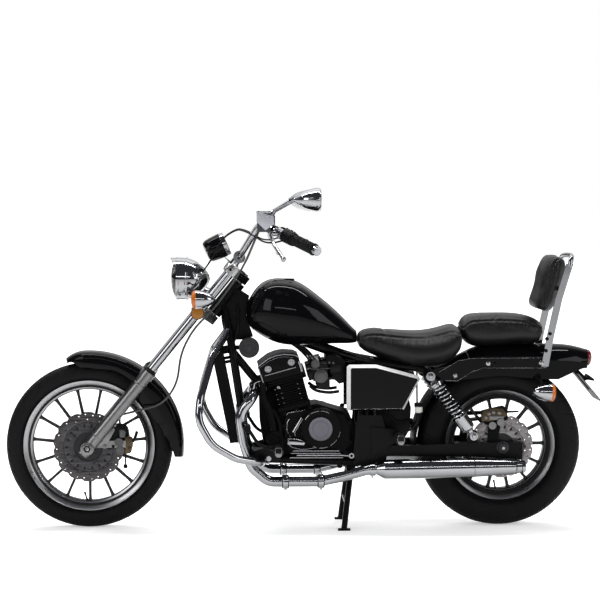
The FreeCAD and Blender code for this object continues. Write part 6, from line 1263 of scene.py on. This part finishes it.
finish("brushed_yoke", "brushed alloy", (0.5, 0.5, 0.5), (0.4, 0.4, 0.4),
       (0.3, 0.42), metallic=1.0, grain=(1500.0, 0.2))
mesh_piece("top_yoke_cover", bm, "bare_aluminium", "steering", paint="brushed_yoke")
bm = bmesh.new()
for side in (-1, 1):
    place = fork_point(0.006, side * 0.104, 0.844)
    spin_into(bm, stud(0.014, 0.0225, 0.0235, 0.0048, 0.0038), place, away(side), 16)
    spin_into(bm, stud(0, 0.004, 0.0055, 0.0105, 0.008), fork_point(-0.04, side * 0.03, 0.86), fork_up, 20)
mesh_piece("top_yoke_screws", bm, "black_plastic", "steering")


# Headstock cover: two moulded black panels that hide the wiring between the headstock and the tank,
# each held by one screw.
bm = bmesh.new()
for side in (-1, 1):
    panel = [(0.2565, 0.8905), (0.2485, 0.8945), (0.2035, 0.865), (0.2125, 0.8426), (0.2149, 0.7885),
             (0.1903, 0.7162), (0.22, 0.705), (0.285, 0.7029),
             (0.2985, 0.735), (0.3055, 0.766), (0.3085, 0.79), (0.2935, 0.8255)]
    plate_into(bm, [panel], 0.005, side_plate(side * 0.034), 0.0016)
    spin_into(bm, [(0, 0.0085), (0.0026, 0.008), (0.003, 0.0062), (0.0018, 0.0058), (0.0018, 0)],
              (0.2554, side * 0.0366, 0.8069), away(side), 24)
    pipe_into(bm, curved([(0.262, side * 0.05, 0.7), (0.247, side * 0.056, 0.742), (0.244, side * 0.046, 0.79),
                          (0.248, side * 0.036, 0.84)], 6), 0.006, 10)
mesh_piece("headstock_cover", bm, "black_plastic", "frame")

# Horn: a chromed face with pressed rings over a black drum, bolted to the left downtube.
bm = bmesh.new()
spin_into(bm, [(0.083, 0.0378), (0.0845, 0.037), (0.085, 0.033), (0.0825, 0.0315), (0.0825, 0.026),
               (0.0848, 0.0245), (0.0848, 0.0205), (0.0825, 0.019), (0.0825, 0.0125), (0.086, 0.0105),
               (0.0868, 0)], (0.20525, 0, 0.67785), side_axis, 56)
mesh_piece("horn_face", bm, "chrome", "frame", paint="dark_steel")
repaint("horn", "engine_black")

# Radiator: an alloy core painted black, with flat tubes, folded fins and side tanks, behind the downtubes.
radiator_lean = radians(11.2)
radiator_down = Vector((-sin(radiator_lean), 0, -cos(radiator_lean)))
radiator_top = Vector((0.3395, 0, 0.668))


def in_radiator(down, ahead_of_core, across):
    return radiator_top + radiator_down * down + Vector((ahead_of_core, across, 0))


bm = bmesh.new()
for number in range(30):
    down = 0.014 + 0.0108 * number
    pipe_into(bm, [in_radiator(down, 0, -0.078), in_radiator(down, 0, 0.078)], 0.0026, 6, 0.6)
for number in range(40):
    across = -0.078 + 0.004 * number
    pipe_into(bm, [in_radiator(0.01, -0.003, across), in_radiator(0.335, -0.003, across)], 0.0008, 4)
for side in (-1, 1):
    across = side * 0.083
    pipe_into(bm, [in_radiator(0.004, -0.006, across), in_radiator(0.342, -0.006, across)], 0.0085, 12)
spin_into(bm, [(0, 0.014), (0.008, 0.014), (0.009, 0.017), (0.013, 0.017), (0.0145, 0.015), (0.0145, 0)],
          radiator_top + Vector((-0.018, 0.055, 0.0)), up_axis, 24)
mesh_piece("radiator_core", bm, "engine_black", "frame")

# Header pipes: chromed tubes that run side by side under the engine, held by two chromed bands each,
# with a slotted clamp where they enter the silencer. The silencer ends in a rolled, bored tip.
header_y = 0.158
joint_y = 0.1795
joint_way = Vector((-0.0334, 0, 0.0006)).normalized()
tail_way = Vector((-0.548, 0, 0.009)).normalized()
port_way = Vector((0.9659, 0, -0.2588))
bm, bores = bmesh.new(), bmesh.new()
for side in (-1, 1):
    tail_end = Vector((-0.8083, side * 0.18, 0.2455))
    spin_into(bores, [(-0.05, 0.0145), (-0.05, 0)], tail_end, tail_way, 32)
    for x, z in ((0.0735, 0.1898), (-0.0568, 0.1913)):
        spin_into(bm, [(-0.0095, 0.0192), (-0.0095, 0.0248), (-0.0075, 0.0262), (0.0075, 0.0262),
                       (0.0095, 0.0248), (0.0095, 0.0192)], (x, side * header_y, z), forward_axis, 32)
        flat_pipe(bm, side * header_y, [(x, z + 0.02), (x, z + 0.033)], 0.005, 10)
        spin_into(bm, stud(0, 0.006, 0.007, 0.0055, 0.004), (x, side * header_y, z - 0.025), (0, 0, -1), 6)
        for off in (-0.0112, 0.0112):
            spin_into(bores, [(off - 0.0016, 0.0188), (off - 0.0016, 0.0238), (off + 0.0016, 0.0238),
                              (off + 0.0016, 0.0188)], (x, side * header_y, z), forward_axis, 32)
    spin_into(bm, [(0, 0.0194), (0, 0.0225), (0.002, 0.0232), (0.019, 0.0232), (0.021, 0.0225), (0.021, 0.0194)],
              (-0.2345, side * joint_y, 0.2359), joint_way, 32)
    flat_pipe(bm, side * joint_y, [(-0.245, 0.2115), (-0.245, 0.2045)], 0.0045, 10)
    spin_into(bm, [(-0.012, 0.0262), (-0.001, 0.0198), (0.0006, 0.0186), (0, 0.0152), (-0.004, 0.0142),
                   (-0.06, 0.0142)], tail_end, tail_way, 48)
    for back, radius in ((-0.19, 0.0362), (-0.035, 0.0288)):
        spin_into(bm, [(back - 0.0016, radius - 0.001), (back, radius + 0.0009), (back + 0.0016, radius - 0.001)],
                  tail_end, tail_way, 64)
    spin_into(bm, [(0.001, 0.03), (0.009, 0.03), (0.0105, 0.0275), (0.0105, 0.0195)],
              (0.143, side * 0.062, 0.5395), port_way, 32)
mesh_piece("exhaust_bands", bm, "chrome", "frame")
mesh_piece("silencer_bores", bores, "black_plastic", "frame")

# Side covers: moulded panels in gloss black with a polished chamfer along the front, top and rear edges,
# pushed into rubber sleeves in the frame. A thin bright line closes the lower edge.
finish("silver_trim", "silver trim", (0.9, 0.9, 0.91), (0.82, 0.82, 0.83), (0.3, 0.42), metallic=0.1)
cover_edge = [(-0.1545, 0.4455), (-0.1545, 0.6085), (-0.163, 0.6165), (-0.262, 0.6165), (-0.42, 0.5745),
              (-0.4265, 0.562), (-0.366, 0.4485)]
cover_inset = [(-0.1685, 0.4505), (-0.1685, 0.6005), (-0.173, 0.6045), (-0.2605, 0.605), (-0.413, 0.5642),
               (-0.416, 0.559), (-0.359, 0.4525)]
for side in (-1, 1):
    bm = bmesh.new()
    rows = []
    for outline, y in ((cover_edge, 0.092), (cover_edge, 0.1045), (cover_inset, 0.1166)):
        rows.append([bm.verts.new((x, side * y, z)) for x, z in outline])
    skin(bm, rows)
    bm.faces.new(rows[-1])
    bm.faces.new(rows[0][::-1])
    bmesh.ops.bevel(bm, geom=bm.edges[:], offset=0.0016, segments=2, affect="EDGES")
    label = "left" if side > 0 else "right"
    mesh_piece("side_cover_" + label, bm, "gloss_black", "frame", sharp=30, stands_for="side_covers"
               if side > 0 else None)
    bm = bmesh.new()
    for start, stop in ((1, 2), (3, 4), (4, 5), (5, 6), (0, 1), (2, 3)):
        corners = ((*cover_edge[start], 0.1051), (*cover_edge[stop], 0.1051),
                   (*cover_inset[stop], 0.1172), (*cover_inset[start], 0.1172))
        bm.faces.new([bm.verts.new((x, side * y, z)) for x, z, y in corners])
    mesh_piece("side_cover_chamfer_" + label, bm, "bare_aluminium", "frame", paint="silver_trim")
    bm = bmesh.new()
    flat_pipe(bm, side * 0.1168, [(-0.1685, 0.4515), (-0.359, 0.4535)], 0.0008, 6)
    mesh_piece("side_cover_line_" + label, bm, "bare_aluminium", "frame", paint="bright_edge")

# Airbox joint, electrics box and inner mudguard: black mouldings that fill the frame behind the engine.
bm = bmesh.new()
plate_into(bm, [[(-0.078, 0.56), (-0.078, 0.648), (-0.115, 0.652), (-0.152, 0.628), (-0.152, 0.548),
                 (-0.128, 0.541), (-0.112, 0.556)]], 0.15, side_plate(0), 0.008)
plate_into(bm, [[(-0.262, 0.46), (-0.268, 0.345), (-0.3, 0.336), (-0.372, 0.336), (-0.392, 0.37), (-0.396, 0.452),
                 (-0.385, 0.5), (-0.3, 0.5)]], 0.164, side_plate(0), 0.008)
for side in (-1, 1):
    pipe_into(bm, curved([(-0.27, side * 0.088, 0.48), (-0.305, side * 0.096, 0.43), (-0.345, side * 0.09, 0.4),
                          (-0.4, side * 0.086, 0.41)], 6), 0.0055, 10)
    pipe_into(bm, curved([(-0.21, side * 0.098, 0.45), (-0.2, side * 0.104, 0.4), (-0.214, side * 0.1, 0.35),
                          (-0.235, side * 0.102, 0.33)], 6), 0.005, 10)
guard_ring = []
for step in range(49):
    angle = radians(-6 + 104 * step / 48)
    row = []
    for y, reach in ((-0.074, 0.318), (-0.07, 0.327), (-0.04, 0.331), (0, 0.332), (0.04, 0.331), (0.07, 0.327),
                     (0.074, 0.318), (0.072, 0.318), (0.068, 0.325),
                     (0, 0.3295), (-0.068, 0.325), (-0.072, 0.318)):
        row.append(bm.verts.new(round_wheel(rear_axle, reach, angle, y)))
    guard_ring.append(row)
skin(bm, guard_ring)
bm.faces.new(guard_ring[0])
bm.faces.new(guard_ring[-1][::-1])
mesh_piece("inner_mouldings", bm, "black_plastic", "frame")

# Rear suspension units: a chromed coil on a black damper, threaded collars, a chromed lower shroud,
# and rubber-bushed eyes held by domed nuts.
unit_y = 0.141
bm, dark = bmesh.new(), bmesh.new()
for side in (-1, 1):
    top = Vector((-0.4603, side * unit_y, 0.576))
    foot = Vector((-0.6213, side * unit_y, 0.3535))
    way = (foot - top).normalized()
    round_way = way.cross(side_axis).normalized()
    for place, radius in ((top, 0.0172), (foot, 0.0158)):
        spin_into(bm, [(-0.0135, 0.0105), (-0.0135, radius - 0.001), (-0.012, radius), (0.012, radius),
                       (0.0135, radius - 0.001), (0.0135, 0.0105)], place, away(side), 36)
        spin_into(bm, [(0.0148, 0.0125), (0.0165, 0.0125), (0.0168, 0.0088), (0.0225, 0.0086), (0.0245, 0.0068),
                       (0.025, 0)], place, away(side), 24)
        spin_into(dark, [(-0.0145, 0), (-0.0145, 0.0104), (0.0147, 0.0104), (0.0147, 0)], place, away(side), 24)
    spin_into(bm, [(0.013, 0.0085), (0.02, 0.0125), (0.026, 0.0195), (0.03, 0.0285), (0.036, 0.029),
                   (0.038, 0.0265), (0.044, 0.0262), (0.047, 0.0235), (0.047, 0.012)], top, way, 44)
    turns, steps, coil_start, coil_stop, coil_radius = 8.6, 230, 0.05, 0.182, 0.0235
    coil = []
    for step in range(steps + 1):
        angle = 2 * pi * turns * step / steps
        coil.append(top + way * (coil_start + (coil_stop - coil_start) * step / steps)
                    + (round_way * cos(angle) + side_axis * sin(angle)) * coil_radius)
    pipe_into(bm, coil, 0.0043, 9)
    spin_into(bm, [(0.183, 0.013), (0.183, 0.0285), (0.187, 0.0295), (0.19, 0.0282), (0.236, 0.0275),
                   (0.243, 0.024), (0.248, 0.0155), (0.262, 0.011)], top, way, 44)
    spin_into(dark, [(0.03, 0.0), (0.03, 0.0165), (0.1, 0.0165), (0.1, 0.0125), (0.19, 0.0125), (0.19, 0)],
              top, way, 28)
mesh_piece("suspension_units", bm, "chrome", "frame", stands_for="shock_absorbers")
mesh_piece("suspension_cores", dark, "engine_black", "frame")

# Rear brake: a black caliper bracket on the swingarm with two bright piston pots and bronze body bolts.
repaint("rear_caliper", "engine_black")
bm = bmesh.new()
for x, z in ((-0.6956, 0.388), (-0.7266, 0.4005)):
    spin_into(bm, stud(0, 0.012, 0.0145, 0.0155, 0.014), (x, 0.0995, z), side_axis, 32)
plate_into(bm, [rounded_box(0.027, 0.008, 0.004, (-0.711, 0.417))], 0.01, side_plate(0.1045), 0.003)
for x, z in ((-0.662, 0.392), (-0.672, 0.4165), (-0.7, 0.436), (-0.722, 0.434), (-0.683, 0.431)):
    spin_into(bm, stud(0, 0.008, 0.0095, 0.0068, 0.005), (x, 0.1, z), side_axis, 16)
mesh_piece("rear_caliper_pots", bm, "bare_aluminium", "frame")
bm = bmesh.new()
plate_into(bm, [[(-0.655, 0.405), (-0.66, 0.44), (-0.69, 0.452), (-0.735, 0.45), (-0.752, 0.425), (-0.73, 0.412),
                 (-0.69, 0.402)]], 0.008, side_plate(0.1015), 0.002)
mesh_piece("rear_caliper_casting", bm, "bare_aluminium", "frame", paint="bronze_cast")

# Rear axle ends: dark plated nuts with a stepped washer and chain adjusters behind them.
repaint("rear_axle", "dark_steel")
axle_height = 0.3075
adjuster_y = 0.105
bm, ends = bmesh.new(), bmesh.new()
for side in (-1, 1):
    spin_into(ends, stud(0.1305, 0.139, 0.1402, 0.0062, 0.005), rear_axle, away(side), 20)
    spin_into(bm, [(0.1175, 0.0225), (0.1205, 0.0225), (0.1215, 0.0205), (0.1215, 0.017)],
              rear_axle, away(side), 32)
    spin_into(bm, [(0.1215, 0.0165), (0.1295, 0.0165), (0.1312, 0.0145), (0.1312, 0.0098)],
              rear_axle, away(side), 6)
    flat_pipe(bm, side * adjuster_y, [(-0.765, axle_height), (-0.822, axle_height)], 0.0042, 10)
    plate_into(bm, [rounded_box(0.0025, 0.019, 0.002, (-0.8085, axle_height))], 0.03,
               side_plate(side * adjuster_y), 0.0006)
    spin_into(bm, [(0.0, 0.0075), (0.006, 0.0075), (0.006, 0.0042)],
              (-0.811, side * adjuster_y, axle_height), back_axis, 6)
mesh_piece("rear_axle_nuts", bm, "brake_steel", "frame", paint="dark_steel")
mesh_piece("rear_axle_ends", ends, "bare_aluminium", "frame", paint="bright_edge")

# Fender rails: flat steel plates in gloss black along the rear fender, with a thin bright bevel and domed
# bolts. The chromed backrest bar is bolted through their rear ends.
rear_bolt_y = 0.1076
bm, plates = bmesh.new(), bmesh.new()
rail_top = [(-0.497, 0.587), (-0.5687, 0.6291), (-0.6227, 0.638), (-0.8482, 0.6386), (-0.9023, 0.6407)]
rail_low = [(-0.9018, 0.61), (-0.8947, 0.6037), (-0.8802, 0.6011), (-0.6591, 0.6018), (-0.6141, 0.5848),
            (-0.5693, 0.5561), (-0.5626, 0.5534), (-0.5198, 0.5554)]
for side in (-1, 1):
    flat_pipe(bm, side * 0.0996, rail_top, 0.0009, 6)
    flat_pipe(bm, side * 0.0996, rail_low, 0.0009, 6)
    for x, z in ((-0.679, 0.6181), (-0.8753, 0.6206), (-0.5564, 0.5734)):
        spin_into(bm, [(0, 0.0092), (0.0016, 0.009), (0.0042, 0.0066), (0.0052, 0.0034), (0.0052, 0)],
                  (x, side * (0.0992 if x > -0.85 else rear_bolt_y), z), away(side), 24)
    plate_into(plates, [rail_top + rail_low], 0.004, side_plate(side * 0.0972), 0.0008)
    for x, z in ((-0.8921, 0.6659), (-0.9063, 0.729), (-0.8953, 0.71)):
        spin_into(plates, [(0, 0.0072), (0.004, 0.0068), (0.0055, 0.0045), (0.0055, 0)],
                  (x, side * rear_bolt_y, z), away(side), 20)
mesh_piece("rail_bevels", bm, "bare_aluminium", "frame", paint="bright_edge")
mesh_piece("rail_plates", plates, "gloss_black", "frame")

# Rear signals on short black stems, the dark red tail lamp and the folded number plate bracket.
teardrop_signal("rear_signal", "rear_signals", (-0.9223, 0.15, 0.5125), "frame",
                Vector((-1, 0, -0.07)).normalized())
stem_x = -0.8683
bm = bmesh.new()
for side in (-1, 1):
    pipe_into(bm, [(stem_x, side * 0.1495, 0.54), (stem_x, side * 0.147, 0.558), (stem_x, side * 0.09, 0.568)],
              0.0062, 14)
    spin_into(bm, [(0, 0.011), (0.004, 0.011), (0.006, 0.009), (0.006, 0.006)],
              (stem_x, side * 0.0912, 0.568), away(side), 20)
plate_into(bm, [[(-1.018, 0.592), (-1.026, 0.592), (-1.062, 0.556), (-1.066, 0.548), (-1.056, 0.545),
                 (-1.014, 0.582)]], 0.05, side_plate(0), 0.002)
plate_into(bm, [[(-1.068, 0.568), (-1.09, 0.552), (-1.088, 0.545), (-1.06, 0.55)]], 0.07, side_plate(0), 0.003)
mesh_piece("rear_stems", bm, "black_plastic", "frame")
finish("tail_red", "deep red lens", (0.16, 0.004, 0.005), (0.1, 0.003, 0.003),
       (0.05, 0.1), grain=(300.0, 0.05), Coat_Weight=0.5)
repaint("tail_light", "gloss_black")
tail_lamp_line = Vector((0, 0, 0.6305))
bm = bmesh.new()
spin_into(bm, [(1.058, 0.0305), (1.066, 0.031), (1.074, 0.029), (1.0795, 0.022), (1.0825, 0.012), (1.0832, 0)],
          tail_lamp_line, back_axis, 48)
mesh_piece("tail_lamp_lens", bm, "red_lens", "frame", paint="tail_red")
bm = bmesh.new()
spin_into(bm, [(1.052, 0.0318), (1.056, 0.033), (1.062, 0.033), (1.0655, 0.0316)], tail_lamp_line, back_axis, 48)
mesh_piece("tail_lamp_ring", bm, "black_plastic", "frame")

# Rear brake fluid bottle: milky plastic with a ribbed black cap, on a black strip from the seat rail.
bottle_x, bottle_y, bottle_foot = -0.4183, 0.127, 0.4395
bm = bmesh.new()
spin_into(bm, [(0, 0), (0, 0.0115), (0.002, 0.0145), (0.02, 0.015), (0.0225, 0.0135), (0.0235, 0)],
          (bottle_x, bottle_y, bottle_foot), up_axis, 32)
mesh_piece("fluid_bottle", bm, "reservoir_white", "frame", stands_for="brake_reservoir")
bm = bmesh.new()
rings = []
for rise, radius in ((0.0228, 0.0145), (0.0228, 0.0158), (0.035, 0.0158), (0.0368, 0.0142), (0.0368, 0)):
    ribs = [radius - 0.0007 * (step % 2) for step in range(48)] if radius else [0]
    rings.append([bm.verts.new((bottle_x + reach * cos(2 * pi * step / 48),
                                bottle_y + reach * sin(2 * pi * step / 48), bottle_foot + rise))
                  for step, reach in enumerate(ribs)])
skin(bm, rings)
pipe_into(bm, [(-0.4153, 0.1105, 0.454), (-0.4153, 0.1, 0.5), (-0.4153, 0.094, 0.56), (-0.4153, 0.0905, 0.597)],
          0.005, 8, 0.4)
flat_pipe(bm, bottle_y, [(bottle_x, 0.442), (bottle_x, 0.43)], 0.0042, 10)
mesh_piece("fluid_bottle_cap", bm, "black_plastic", "frame")

# Footrests: folding pegs in ribbed rubber sleeves, each closed by a cast alloy end shield with a hollow.
bm, ends = bmesh.new(), bmesh.new()
shield = ((0.0135, 0.002), (0.011, 0.0165), (-0.011, 0.0165), (-0.0135, 0.002), (-0.0115, -0.012),
          (-0.006, -0.0185), (0.006, -0.0185), (0.0115, -0.012))
hollow = ((0.0112, 0.004), (0.0095, 0.0142), (-0.0095, 0.0142),
          (-0.0112, 0.004), (-0.009, -0.0035), (0.009, -0.0035))
ribs = 11
for side in (-1, 1):
    for x, z, start, stop, end_at in ((0.10125, 0.3138, 0.168, 0.258, 0.2626),
                                      (-0.3423, 0.3555, 0.168, 0.252, 0.2566)):
        profile = [(start, 0.0118), (start, 0.0172)]
        for rib in range(ribs):
            near = start + 0.002 + (stop - start - 0.004) * rib / ribs
            far = near + (stop - start - 0.004) / ribs
            profile += [(near, 0.0158), (near + 0.0016, 0.0158), (near + 0.0022, 0.0174), (far - 0.0008, 0.0174)]
        profile += [(stop, 0.0184), (stop + 0.003, 0.0178), (stop + 0.0035, 0.0)]
        spin_into(bm, profile, (x, 0, z), away(side), 28)
        plate_into(ends, [[(x + a, z + b) for a, b in loop] for loop in (shield, hollow)], 0.004,
                   side_plate(side * end_at), 0.0008)
mesh_piece("footrest_rubbers", bm, "black_rubber", "frame")
mesh_piece("footrest_ends", ends, "bare_aluminium", "frame")
